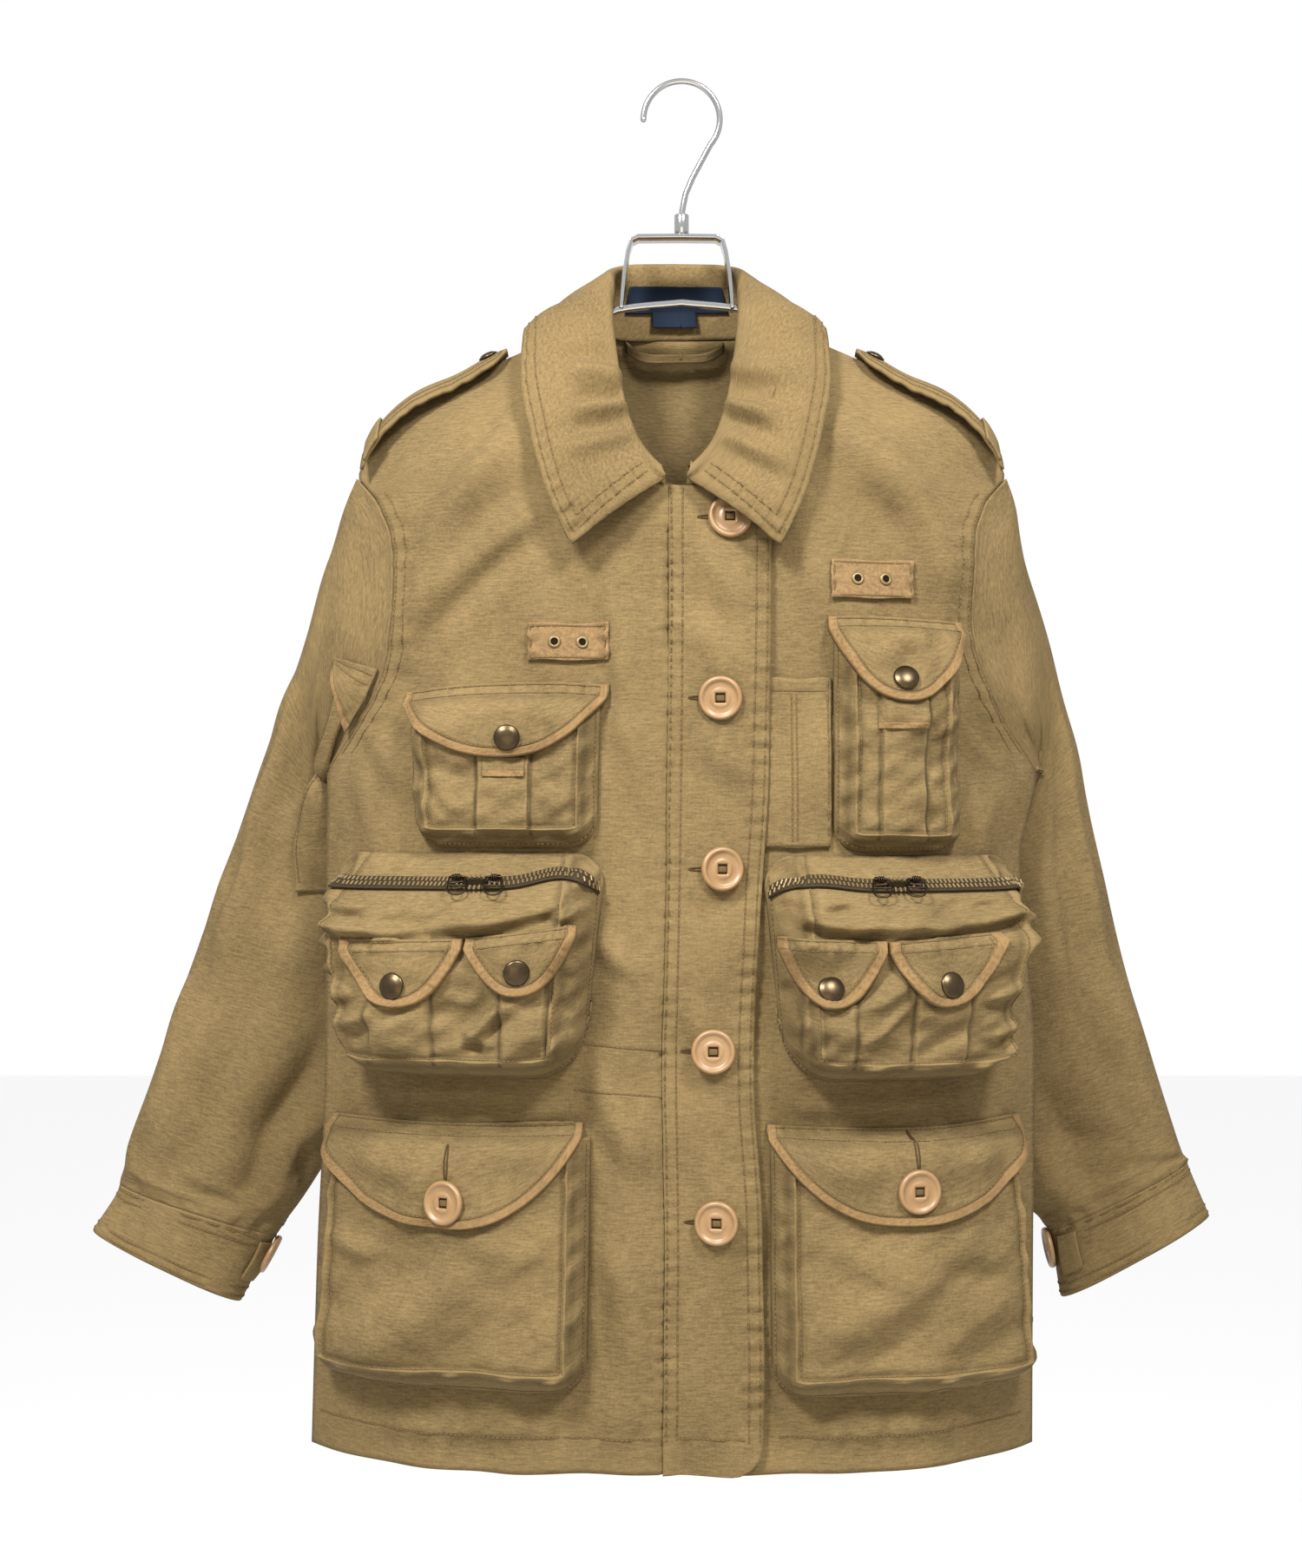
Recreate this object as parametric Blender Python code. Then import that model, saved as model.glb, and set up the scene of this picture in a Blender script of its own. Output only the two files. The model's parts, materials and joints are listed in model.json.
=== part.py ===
"""Hunting jacket with bellows pockets, hung closed on a metal hanger.

Lengths are metres. The origin is the inside top of the hanger hook, +X is the wearer's left,
-Y is the front of the jacket and +Z is up. Every cloth piece is a thin wall whose outer points
come from the section tables below; what lies on a panel is made from that panel's points, moved out.
"""
import math
from collections import namedtuple

import bmesh
import bpy
import numpy as np

for stale in list(bpy.data.objects):
    bpy.data.objects.remove(stale, do_unlink=True)

# Cloth and seams
CLOTH = 0.0016
FLAP_CLOTH = 0.0024
COLLAR_CLOTH = 0.0026
SEAM_GAP = 0.0003
LIE = 0.0011
FLAP_GAP = 0.0020
FLAP_SEAM = 0.0018
FLAP_REACH = 0.005
STEP = 0.0002
WIDE_STEP = 0.004

# Body heights, measured down from the hook
HEM_Z = -0.838
ARMPIT_Z = -0.425
TIP_Z = -0.243
NECK_TOP_Z = -0.1555
BACK_NECK_Z = -0.153
NECK_FRONT_Z = -0.253
NECK_X = -0.004
SIDE_POWER = 4.0
SHOULDER_ROLL = 0.085
ARMHOLE_GAP = 0.0007

# Front band
LAP = 0.005
LAP_RUN = 0.050
UNDERLAP = 0.010
BAND_CORNER = 0.018
BAND_TOP_Z = -0.2545

# Body sections: half widths to the side seams and depths in front of and behind the seam plane
Section = namedtuple("Section", "z right left front back")
BODY = [
    Section(-0.838, 0.2285, 0.2165, 0.075, 0.041),
    Section(-0.720, 0.2250, 0.2170, 0.073, 0.042),
    Section(-0.600, 0.2200, 0.2180, 0.070, 0.043),
    Section(-0.480, 0.2195, 0.2090, 0.066, 0.045),
    Section(-0.425, 0.2190, 0.2190, 0.062, 0.046),
    Section(-0.330, 0.2190, 0.2190, 0.058, 0.046),
    Section(-0.240, 0.2190, 0.2190, 0.052, 0.044),
    Section(-0.120, 0.2190, 0.2190, 0.046, 0.040),
]

# Shoulder ridge, from the middle of the neck out to the sleeve seam
Ridge = namedtuple("Ridge", "x z")
RIDGE = [
    Ridge(0.000, -0.098),
    Ridge(0.030, -0.108),
    Ridge(0.055, -0.130),
    Ridge(0.072, -0.152),
    Ridge(0.110, -0.1705),
    Ridge(0.150, -0.1885),
    Ridge(0.172, -0.2015),
    Ridge(0.187, -0.2160),
    Ridge(0.1955, -0.2305),
    Ridge(0.200, -0.2430),
    Ridge(0.230, -0.3500),
]

# Armhole edge of the fronts and of the back, and the front neckline
Edge = namedtuple("Edge", "z front back")
ARMHOLE = [
    Edge(-0.425, 0.2190, 0.2190),
    Edge(-0.412, 0.2100, 0.2120),
    Edge(-0.395, 0.1980, 0.2030),
    Edge(-0.375, 0.1860, 0.1950),
    Edge(-0.355, 0.1785, 0.1895),
    Edge(-0.325, 0.1745, 0.1860),
    Edge(-0.285, 0.1760, 0.1860),
    Edge(-0.262, 0.1840, 0.1900),
    Edge(-0.243, 0.2000, 0.2000),
]
Neckline = namedtuple("Neckline", "z half")
NECKLINE = [
    Neckline(-0.253, 0.0060),
    Neckline(-0.250, 0.0200),
    Neckline(-0.240, 0.0360),
    Neckline(-0.222, 0.0500),
    Neckline(-0.198, 0.0600),
    Neckline(-0.175, 0.0670),
    Neckline(-0.150, 0.0725),
]

# Front band: its seam on the right front and its free edge
Band = namedtuple("Band", "z seam edge")
BAND = [
    Band(-0.838, -0.0122, 0.0470),
    Band(-0.789, -0.0120, 0.0477),
    Band(-0.687, -0.0117, 0.0462),
    Band(-0.605, -0.0127, 0.0416),
    Band(-0.507, -0.0110, 0.0457),
    Band(-0.430, -0.0097, 0.0503),
    Band(-0.297, -0.0086, 0.0528),
    Band(-0.250, -0.0086, 0.0530),
]

# Largest folds of the body: a soft ridge (or trough, below zero) along a line
Fold = namedtuple("Fold", "x0 z0 x1 z1 width height")
FRONT_FOLDS = [
    Fold(-0.085, -0.235, -0.165, -0.350, 0.016, 0.0040),
    Fold(-0.030, -0.310, -0.040, -0.455, 0.014, 0.0030),
    Fold(-0.026, -0.480, -0.030, -0.590, 0.013, 0.0030),
    Fold(-0.032, -0.640, -0.036, -0.800, 0.015, 0.0040),
    Fold(-0.120, -0.800, -0.100, -0.845, 0.018, 0.0030),
    Fold(0.100, -0.225, 0.155, -0.300, 0.016, 0.0035),
    Fold(0.100, -0.805, 0.125, -0.845, 0.018, 0.0030),
]
BACK_FOLDS = [
    Fold(-0.095, -0.280, -0.125, -0.800, 0.026, 0.0060),
    Fold(0.085, -0.330, 0.115, -0.830, 0.026, 0.0055),
    Fold(0.000, -0.240, 0.006, -0.780, 0.030, -0.0040),
]

# Collar: roll line and outer edge of the fall, from the middle of the back (0) to the front end (1)
Roll = namedtuple("Roll", "u rx ry rz ex ey ez")
COLLAR = [
    Roll(0.00, 0.0000, 0.0400, -0.1030, 0.0000, 0.0640, -0.1660),
    Roll(0.20, 0.0260, 0.0370, -0.1040, 0.0350, 0.0600, -0.1640),
    Roll(0.36, 0.0365, 0.0250, -0.1080, 0.0680, 0.0460, -0.1570),
    Roll(0.50, 0.0385, 0.0060, -0.1170, 0.0885, 0.0200, -0.1490),
    Roll(0.58, 0.0385, -0.0060, -0.1300, 0.0925, -0.0060, -0.1515),
    Roll(0.65, 0.0375, -0.0170, -0.1500, 0.0940, -0.0340, -0.1800),
    Roll(0.78, 0.0310, -0.0400, -0.1980, 0.0870, -0.0600, -0.2220),
    Roll(0.90, 0.0215, -0.0560, -0.2265, 0.0755, -0.0710, -0.2620),
    Roll(1.00, 0.0080, -0.0670, -0.2450, 0.0615, -0.0745, -0.2905),
]
COLLAR_ROLL = 0.004
COLLAR_BELLY = 0.008
COLLAR_SEAM_LIFT = 0.0026
COLLAR_BACK_SHARE = 0.45
STAND_SHARE = 0.36
FALL_SHARE = 0.50
LEAF_STEP = 0.02

# Sleeves: outer edge, inner edge and half depth of each ring; the last ring is the cuff's end
Ring = namedtuple("Ring", "s ox oy oz ix iy iz half")
RIGHT_SLEEVE = [
    Ring(0, 0.2000, 0.000, -0.2430, 0.2190, 0.000, -0.4245, 0.034),
    Ring(1, 0.2085, 0.008, -0.2600, 0.2245, 0.014, -0.4260, 0.034),
    Ring(2, 0.2190, 0.020, -0.2900, 0.2250, 0.032, -0.4340, 0.035),
    Ring(3, 0.2405, 0.034, -0.3548, 0.2160, 0.052, -0.4480, 0.036),
    Ring(4, 0.2659, 0.046, -0.4193, 0.1920, 0.066, -0.4720, 0.036),
    Ring(5, 0.2902, 0.056, -0.4858, 0.1650, 0.074, -0.5150, 0.034),
    Ring(6, 0.3153, 0.063, -0.5529, 0.1780, 0.074, -0.5880, 0.031),
    Ring(7, 0.3395, 0.067, -0.6202, 0.2150, 0.070, -0.6530, 0.028),
    Ring(8, 0.3554, 0.068, -0.6651, 0.2410, 0.068, -0.6950, 0.025),
    Ring(9, 0.3599, 0.068, -0.6886, 0.2593, 0.068, -0.7210, 0.023),
    Ring(10, 0.3778, 0.068, -0.7182, 0.2827, 0.068, -0.7640, 0.021),
]
LEFT_SLEEVE = [
    Ring(0, 0.2000, 0.000, -0.2430, 0.2190, 0.000, -0.4245, 0.034),
    Ring(1, 0.2070, 0.008, -0.2600, 0.2245, 0.014, -0.4260, 0.034),
    Ring(2, 0.2130, 0.020, -0.2900, 0.2250, 0.032, -0.4340, 0.035),
    Ring(3, 0.2335, 0.034, -0.3538, 0.2160, 0.052, -0.4480, 0.036),
    Ring(4, 0.2522, 0.046, -0.4193, 0.1900, 0.066, -0.4720, 0.036),
    Ring(5, 0.2686, 0.056, -0.4858, 0.1560, 0.074, -0.5150, 0.034),
    Ring(6, 0.2858, 0.063, -0.5529, 0.1560, 0.074, -0.5880, 0.031),
    Ring(7, 0.3068, 0.067, -0.6202, 0.1860, 0.070, -0.6530, 0.028),
    Ring(8, 0.3215, 0.068, -0.6651, 0.2150, 0.068, -0.6970, 0.025),
    Ring(9, 0.3254, 0.068, -0.6746, 0.2366, 0.068, -0.7182, 0.023),
    Ring(10, 0.3400, 0.068, -0.7087, 0.2450, 0.068, -0.7613, 0.021),
]
SLEEVE_SEAM_RUN = 2.5
SLEEVE_ROUND = 0.85
SLEEVE_STATIONS = np.linspace(0.0, 9.0, 19)
CUFF_STATIONS = np.array([9.014, 9.35, 9.7, 10.0])
SLEEVE_COLUMNS = 18

# Largest sleeve folds: a ridge across the sleeve at ring s, leaning with the angle round it
Crease = namedtuple("Crease", "s turn lean width spread height")
SLEEVE_CREASES = [
    Crease(3.5, 1.1, 0.35, 0.34, 1.0, 0.0035),
    Crease(4.6, 0.8, -0.30, 0.32, 0.9, 0.0045),
    Crease(5.6, 1.2, 0.30, 0.32, 1.0, 0.0045),
    Crease(6.6, 0.8, -0.25, 0.32, 0.9, 0.0040),
    Crease(8.2, 1.4, 0.15, 0.34, 1.1, 0.0030),
    Crease(4.9, 4.6, 0.30, 0.34, 1.0, 0.0040),
    Crease(6.1, 4.4, -0.30, 0.34, 1.0, 0.0040),
]

# Bellows pockets on the fronts; the form gives height against the share of the way up
Bag = namedtuple("Bag", "left right low_left low_right top bottom corner top_corner depth run form pleats")
Pleat = namedtuple("Pleat", "x half low high")
PLEAT_RISE = 0.0022
PLEAT_EDGE = 0.0016
Form = namedtuple("Form", "v share")
CHEST_FORM = [Form(0.0, 0.0), Form(0.07, 0.62), Form(0.16, 0.98), Form(0.72, 1.0), Form(1.0, 0.55)]
ZIP_FORM = [
    Form(0.0, 0.0), Form(0.06, 0.52), Form(0.15, 0.90), Form(0.34, 1.0), Form(0.60, 1.0), Form(0.72, 0.95),
    Form(0.80, 0.74), Form(0.90, 0.36), Form(1.0, 0.0),
]
CARGO_FORM = [
    Form(0.0, 0.0), Form(0.05, 0.55), Form(0.13, 1.0), Form(0.50, 0.86), Form(0.80, 0.75), Form(1.0, 0.5),
]
CHEST_ROWS = [0.0, 0.06, 0.15, 0.32, 0.52, 0.74, 1.0]
ZIP_ROWS = [0.0, 0.05, 0.14, 0.28, 0.45, 0.62, 0.72, 0.80, 0.855, 0.91, 1.0]
CARGO_ROWS = [0.0, 0.045, 0.13, 0.30, 0.50, 0.72, 0.88, 1.0]
CHEST_RIGHT = Bag(-0.1605, -0.0486, -0.1600, -0.0490, -0.385, -0.470, 0.020, 0.0, 0.014, 0.011,
                  CHEST_FORM, [Pleat(-0.1040, 0.0145, 0.10, 1.0)])
CHEST_LEFT = Bag(0.0895, 0.1641, 0.0895, 0.1641, -0.341, -0.4725, 0.017, 0.0, 0.014, 0.010,
                 CHEST_FORM, [Pleat(0.1265, 0.0130, 0.07, 1.0)])
ZIP_RIGHT = Bag(-0.2095, -0.0465, -0.1960, -0.0560, -0.473, -0.606, 0.034, 0.018, 0.040, 0.020,
                ZIP_FORM, [Pleat(-0.1490, 0.0135, 0.10, 0.62), Pleat(-0.0890, 0.0115, 0.10, 0.64)])
ZIP_LEFT = Bag(0.0480, 0.2000, 0.0570, 0.1900, -0.4745, -0.608, 0.034, 0.018, 0.040, 0.020,
               ZIP_FORM, [Pleat(0.0810, 0.0135, 0.10, 0.62), Pleat(0.1365, 0.0130, 0.10, 0.62)])
CARGO_RIGHT = Bag(-0.2080, -0.0540, -0.2170, -0.0560, -0.640, -0.790, 0.020, 0.0, 0.022, 0.012,
                  CARGO_FORM, [])
CARGO_LEFT = Bag(0.0510, 0.2000, 0.0520, 0.2060, -0.642, -0.793, 0.020, 0.0, 0.022, 0.012,
                 CARGO_FORM, [])
BAG_BASE = LIE + CLOTH

# Flat pen pocket beside the left chest pocket
PEN_LEFT = 0.0470
PEN_RIGHT = 0.0880
PEN_TOP_Z = -0.369
PEN_BOTTOM_Z = -0.470

# Flaps: top seam from left to right with its crown, short sides and the belly of the curved edge
Flap = namedtuple("Flap", "left right left_z right_z crown side belly round")
CHEST_FLAP_RIGHT = Flap(-0.1652, -0.0443, -0.3765, -0.3730, 0.0030, 0.0085, 0.0365, 2.2)
CHEST_FLAP_LEFT = Flap(0.0862, 0.1665, -0.3325, -0.3350, 0.0010, 0.0085, 0.0425, 2.2)
SMALL_FLAPS_RIGHT = [
    Flap(-0.1770, -0.1195, -0.5245, -0.5225, 0.0, 0.0065, 0.0320, 2.2),
    Flap(-0.1180, -0.0610, -0.5225, -0.5145, 0.0, 0.0065, 0.0300, 2.2),
]
SMALL_FLAPS_LEFT = [
    Flap(0.0545, 0.1095, -0.5215, -0.5245, 0.0, 0.0065, 0.0325, 2.2),
    Flap(0.1110, 0.1645, -0.5250, -0.5210, 0.0, 0.0065, 0.0330, 2.2),
]
CARGO_FLAP_RIGHT = Flap(-0.2110, -0.0590, -0.6325, -0.6310, -0.0010, 0.0090, 0.0505, 2.4)
CARGO_FLAP_LEFT = Flap(0.0500, 0.2030, -0.6325, -0.6325, -0.0030, 0.0090, 0.0460, 2.4)
FLAP_ROWS = [0.0, 0.34, 0.66, 0.87, 1.0]

# Badge tabs on the chest
Tab = namedtuple("Tab", "left right top bottom")
BADGE_RIGHT = Tab(-0.0920, -0.0440, -0.3365, -0.3585)
BADGE_LEFT = Tab(0.0880, 0.1380, -0.2985, -0.3215)
TAB_CLOTH = 0.0018

# Pocket on the right sleeve: its edges as seen from the front, and its short flap
Span = namedtuple("Span", "z near far")
SLEEVE_POCKET = [
    Span(-0.3660, -0.2130, -0.1935),
    Span(-0.3840, -0.2175, -0.2010),
    Span(-0.4100, -0.2310, -0.2190),
    Span(-0.4300, -0.2400, -0.2290),
    Span(-0.4500, -0.2450, -0.2230),
    Span(-0.4760, -0.2480, -0.2125),
    Span(-0.5000, -0.2440, -0.2125),
]
SLEEVE_POCKET_DEPTH = 0.007
SLEEVE_POCKET_FORM = [
    Form(0.0, 0.0), Form(0.07, 0.55), Form(0.18, 0.95), Form(0.40, 1.0), Form(0.80, 0.85), Form(1.0, 0.5),
]
SLEEVE_POCKET_COLUMNS = [0.0, 0.10, 0.30, 0.50, 0.70, 0.90, 1.0]
SLEEVE_POCKET_ROWS = [0.0, 0.07, 0.18, 0.30, 0.40, 0.50, 0.60, 0.70, 0.80, 0.90, 1.0]
SLEEVE_POCKET_LIE = 0.0032
SLEEVE_POCKET_RUN = 0.30
SLEEVE_FLAP = Flap(-0.2160, -0.1940, -0.3520, -0.3590, 0.0, 0.0170, 0.0080, 2.2)
SLEEVE_FLAP_LIE = 0.0007
SLEEVE_FLAP_LIFT = 0.0123
SLEEVE_FLAP_RUN = 0.4
SLEEVE_FLAP_COLUMNS = 7
SLEEVE_FLAP_ROWS = [0.0, 0.35, 0.68, 1.0]
SEEK_STEPS = 14
SEEK_MOVE = 0.4
SEEK_LEAST = 1e-5
SEEK_RINGS = (0.2, 8.0)
SEEK_TURNS = (0.3, 2.8)

# Buttons and snaps, turned profiles from the middle of the back to the middle of the face
Turn = namedtuple("Turn", "r h")
BUTTON = [
    Turn(0.0118, 0.0), Turn(0.0132, 0.0012), Turn(0.0132, 0.0028), Turn(0.0121, 0.0040),
    Turn(0.0105, 0.0038), Turn(0.0092, 0.0027),
]
SNAP = [Turn(0.0070, 0.0), Turn(0.0077, 0.0009), Turn(0.0069, 0.0021), Turn(0.0042, 0.0030)]
BUTTON_SEGMENTS = 12
SNAP_SEGMENTS = 10
BUTTON_GAP = 0.0008
FRONT_BUTTONS = [
    (0.0280, -0.2735), (0.0224, -0.3810), (0.0224, -0.4825), (0.0178, -0.5895), (0.0198, -0.6894),
]
CHEST_SNAP_RIGHT = (-0.1012, -0.4056)
CHEST_SNAP_LEFT = (0.1264, -0.3705)
SMALL_SNAPS_RIGHT = [(-0.1495, -0.5500), (-0.0915, -0.5415)]
SMALL_SNAPS_LEFT = [(0.0810, -0.5515), (0.1385, -0.5505)]
CARGO_BUTTON_RIGHT = (-0.1324, -0.6772)
CARGO_BUTTON_LEFT = (0.1310, -0.6707)

# Zips: a strip along the roof of the pocket, sliders with an eye and hanging wire pull tabs
ZIP_SHARE = 0.855
ZIP_HALF = 0.0042
ZIP_THICK = 0.0016
ZIP_MARGIN = 0.012
ZIP_COLUMNS = 18
SLIDERS_RIGHT = (-0.1260, -0.1067)
SLIDERS_LEFT = (0.1105, 0.1283)
SLIDER_HALF = 0.0036
SLIDER_BASE = 0.0040
EYE_HEIGHT = 0.0030
EYE_HOLE = 0.0009
EYE_WALL = 0.0008
EYE_NECK = 0.2
BLOCK_SHARE = 0.5
EYE_ANGLES = (0.35, 1.2, math.pi - 1.2, math.pi - 0.35)
TAB_WIRE = 0.00055
TAB_TOP_HALF = 0.0047
TAB_HALF = 0.0054
TAB_LENGTH = 0.0160
TAB_SIDES = 6
TAB_CORNER = 0.0008
TAB_ANGLES = (0.8, math.pi / 2.0, math.pi - 0.8)

# Shoulder straps and their keepers
STRAP_IN = 0.1080
STRAP_OUT = 0.1965
STRAP_HALF_IN = 0.0170
STRAP_HALF_OUT = 0.0205
STRAP_LIFT = 0.0034
STRAP_DROP = 0.0125
STRAP_BEND = 0.0205
STRAP_THICK = 0.0022
STRAP_CURVE = 1.6
STRAP_ROUND = 0.14
STRAP_END = 0.18
STRAP_COLUMNS = [0.0, 0.035, 0.10, 0.25, 0.42, 0.58, 0.74, 0.88, 1.0]
STRAP_SHARES = [-1.0, -0.55, 0.0, 0.55, 1.0]
KEEPER_IN = 0.1860
KEEPER_OUT = 0.1945
KEEPER_HALF = 0.0235
KEEPER_LIFT = 0.0042
KEEPER_SHARES = [-1.0, -0.8, -0.4, 0.0, 0.4, 0.8, 1.0]

# Cuff buttons
CUFF_BUTTON_S = 9.32
CUFF_BUTTON_TURN = math.pi

# Neck: label and hanging loop
LABEL = (-0.227, 0.223)
LABEL_RISE = (0.36, 0.74)
LABEL_THICK = 0.0010
LOOP_HALF = 0.0320
LOOP_Z = -0.1560
LOOP_SAG = 0.0060
LOOP_WIDE = 0.0060
LOOP_THICK = 0.0020
LOOP_CLEAR = 0.0085

# Hanger
HOOK_R = 0.0236
HOOK_WIRE = 0.0019
HOOK_SIDES = 7
Stem = namedtuple("Stem", "x z r")
HOOK_STEM = [
    Stem(0.0125, -0.0470, 0.0019), Stem(0.0066, -0.0580, 0.0019), Stem(0.0024, -0.0680, 0.0019),
    Stem(0.0004, -0.0780, 0.0019), Stem(0.0, -0.0803, 0.0019), Stem(0.0, -0.0806, 0.0045),
    Stem(0.0, -0.0936, 0.0045),
]
BRACKET = [Ridge(0.0, -0.0940), Ridge(0.0240, -0.0942), Ridge(0.0290, -0.0965), Ridge(0.0305, -0.1040),
           Ridge(0.0315, -0.1180), Ridge(0.0322, -0.1395)]
BRACKET_X = -0.003
BRACKET_DEEP = 0.0090
BRACKET_THICK = 0.0012
ARM = [Ridge(0.0, -0.1370), Ridge(0.0380, -0.1410), Ridge(0.0720, -0.1650), Ridge(0.1100, -0.1835),
       Ridge(0.1450, -0.1990), Ridge(0.1600, -0.2090), Ridge(0.1690, -0.2160)]
ARM_DEEP = 0.0040
ARM_THICK = 0.0028
ARM_COLUMNS = 17

COLOURS = {
    "canvas": (0.42, 0.31, 0.16, 1.0),
    "suede": (0.52, 0.33, 0.15, 1.0),
    "horn": (0.50, 0.34, 0.18, 1.0),
    "brass": (0.35, 0.25, 0.12, 1.0),
    "steel": (0.75, 0.75, 0.75, 1.0),
    "label": (0.02, 0.03, 0.10, 1.0),
    "tape": (0.45, 0.38, 0.26, 1.0),
}
MATERIALS = {}


def material(finish):
    """One plain material for each finish."""
    if finish not in MATERIALS:
        made = bpy.data.materials.new(finish)
        made.use_nodes = True
        shader = made.node_tree.nodes["Principled BSDF"]
        shader.inputs["Base Color"].default_value = COLOURS[finish]
        shader.inputs["Roughness"].default_value = 0.3 if finish == "steel" else 0.8
        shader.inputs["Metallic"].default_value = 1.0 if finish in ("steel", "brass") else 0.0
        MATERIALS[finish] = made
    return MATERIALS[finish]


def add_solid(name, points, faces, finish, origin=(0.0, 0.0, 0.0)):
    """Make one closed, outward-facing solid; its object origin may sit on a joint axis."""
    origin = np.asarray(origin, float)
    mesh = bpy.data.meshes.new(name)
    mesh.from_pydata([tuple(p - origin) for p in np.asarray(points, float)], [], faces)
    shape = bmesh.new()
    shape.from_mesh(mesh)
    bmesh.ops.recalc_face_normals(shape, faces=shape.faces)
    if shape.calc_volume(signed=True) < 0.0:
        bmesh.ops.reverse_faces(shape, faces=shape.faces)
    shape.to_mesh(mesh)
    shape.free()
    mesh.materials.append(material(finish))
    body = bpy.data.objects.new(name, mesh)
    body.location = origin
    bpy.context.collection.objects.link(body)
    return body


def wall(name, outer, inner, finish, around=False):
    """Closed wall between two grids of points; with around, the first index runs round a tube."""
    columns, rows = outer.shape[:2]
    points = np.concatenate([outer.reshape(-1, 3), inner.reshape(-1, 3)])
    back = columns * rows
    spans = columns if around else columns - 1
    faces = []
    for i in range(spans):
        k = (i + 1) % columns
        for j in range(rows - 1):
            a, b, c, d = i * rows + j, k * rows + j, k * rows + j + 1, i * rows + j + 1
            faces.append((a, b, c, d))
            faces.append((back + d, back + c, back + b, back + a))
        for j in (0, rows - 1):
            a, b = i * rows + j, k * rows + j
            faces.append((a, back + a, back + b, b))
    if not around:
        for i in (0, columns - 1):
            for j in range(rows - 1):
                a, d = i * rows + j, i * rows + j + 1
                faces.append((a, d, back + d, back + a))
    return add_solid(name, points, faces, finish)


def smooth(t):
    """Soft step from 0 to 1."""
    t = np.clip(t, 0.0, 1.0)
    return t * t * (3.0 - 2.0 * t)


def spline(rows, key, value):
    """Smooth line through one column of a table, without overshoot."""
    pairs = sorted((getattr(row, key), getattr(row, value)) for row in rows)
    xs = np.array([p[0] for p in pairs], float)
    ys = np.array([p[1] for p in pairs], float)
    span = np.diff(xs)
    slope = np.diff(ys) / span
    tangent = np.zeros_like(ys)
    tangent[0], tangent[-1] = slope[0], slope[-1]
    for i in range(1, len(xs) - 1):
        if slope[i - 1] * slope[i] > 0.0:
            tangent[i] = 2.0 * slope[i - 1] * slope[i] / (slope[i - 1] + slope[i])

    def at(x):
        x = np.clip(np.asarray(x, float), xs[0], xs[-1])
        i = np.clip(np.searchsorted(xs, x) - 1, 0, len(span) - 1)
        t = (x - xs[i]) / span[i]
        rise = t * t * (3.0 - 2.0 * t)
        lead = t * (1.0 - t) ** 2 * span[i] * tangent[i]
        trail = t * t * (t - 1.0) * span[i] * tangent[i + 1]
        return ys[i] + rise * (ys[i + 1] - ys[i]) + lead + trail

    return at


half_right = spline(BODY, "z", "right")
half_left = spline(BODY, "z", "left")
front_depth = spline(BODY, "z", "front")
back_depth = spline(BODY, "z", "back")
ridge_z = spline(RIDGE, "x", "z")
ridge_x = spline(RIDGE, "z", "x")
armhole_front = spline(ARMHOLE, "z", "front")
armhole_back = spline(ARMHOLE, "z", "back")
neck_half = spline(NECKLINE, "z", "half")
band_seam = spline(BAND, "z", "seam")
band_edge = spline(BAND, "z", "edge")


def folds(table, x, z):
    """Height of the soft folds of a panel at a place on it."""
    total = np.zeros(np.broadcast(x, z).shape)
    for fold in table:
        run_x, run_z = fold.x1 - fold.x0, fold.z1 - fold.z0
        t = ((x - fold.x0) * run_x + (z - fold.z0) * run_z) / (run_x ** 2 + run_z ** 2)
        t = np.clip(t, 0.0, 1.0)
        away = (x - fold.x0 - t * run_x) ** 2 + (z - fold.z0 - t * run_z) ** 2
        total = total + fold.height * np.exp(-away / fold.width ** 2)
    return total


def fullness(x, z):
    """Share of the full depth: none at the side and shoulder seams, all of it in the middle."""
    half = np.where(x < 0.0, half_right(z), half_left(z))
    across = 1.0 - np.clip(np.abs(x) / half, 0.0, 1.0) ** SIDE_POWER
    below = np.clip((ridge_z(np.abs(x)) - z) / SHOULDER_ROLL, 0.0, 1.0)
    return across * (1.0 - (1.0 - below) ** 2)


def front_y(x, z):
    """Depth of the front of the body."""
    return -fullness(x, z) * (front_depth(z) + folds(FRONT_FOLDS, x, z))


def back_y(x, z):
    """Depth of the back of the body."""
    return fullness(x, z) * (back_depth(z) + folds(BACK_FOLDS, x, z))


def on_panel(depth, facing, x, z, off):
    """Points of a panel moved out along its normal; facing is -1 for the fronts, 1 for the back."""
    x, z, off = np.broadcast_arrays(np.asarray(x, float), np.asarray(z, float), np.asarray(off, float))
    slope_x = (depth(x + STEP, z) - depth(x - STEP, z)) / (2.0 * STEP)
    slope_z = (depth(x, z + STEP) - depth(x, z - STEP)) / (2.0 * STEP)
    normal = facing * np.stack([-slope_x, np.ones_like(x), -slope_z], axis=-1)
    normal = normal / np.linalg.norm(normal, axis=-1, keepdims=True)
    return np.stack([x, depth(x, z), z], axis=-1) + off[..., None] * normal


def front(x, z, off=0.0):
    """Points of the fronts moved out."""
    return on_panel(front_y, -1.0, x, z, off)


def lap_lift(x, z):
    """Lift of the right front towards the band seam, where it laps over the left front."""
    seam = band_seam(z)
    return np.where(x <= seam, LAP * smooth((x - seam + LAP_RUN) / LAP_RUN), 0.0)


def face(x, z, off=0.0):
    """Points of the worn face of the fronts moved out, with the lift of the right front."""
    return front(x, z, off + lap_lift(x, z))


def back(x, z, off=0.0):
    """Points of the back moved out."""
    return on_panel(back_y, 1.0, x, z, off)


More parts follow.
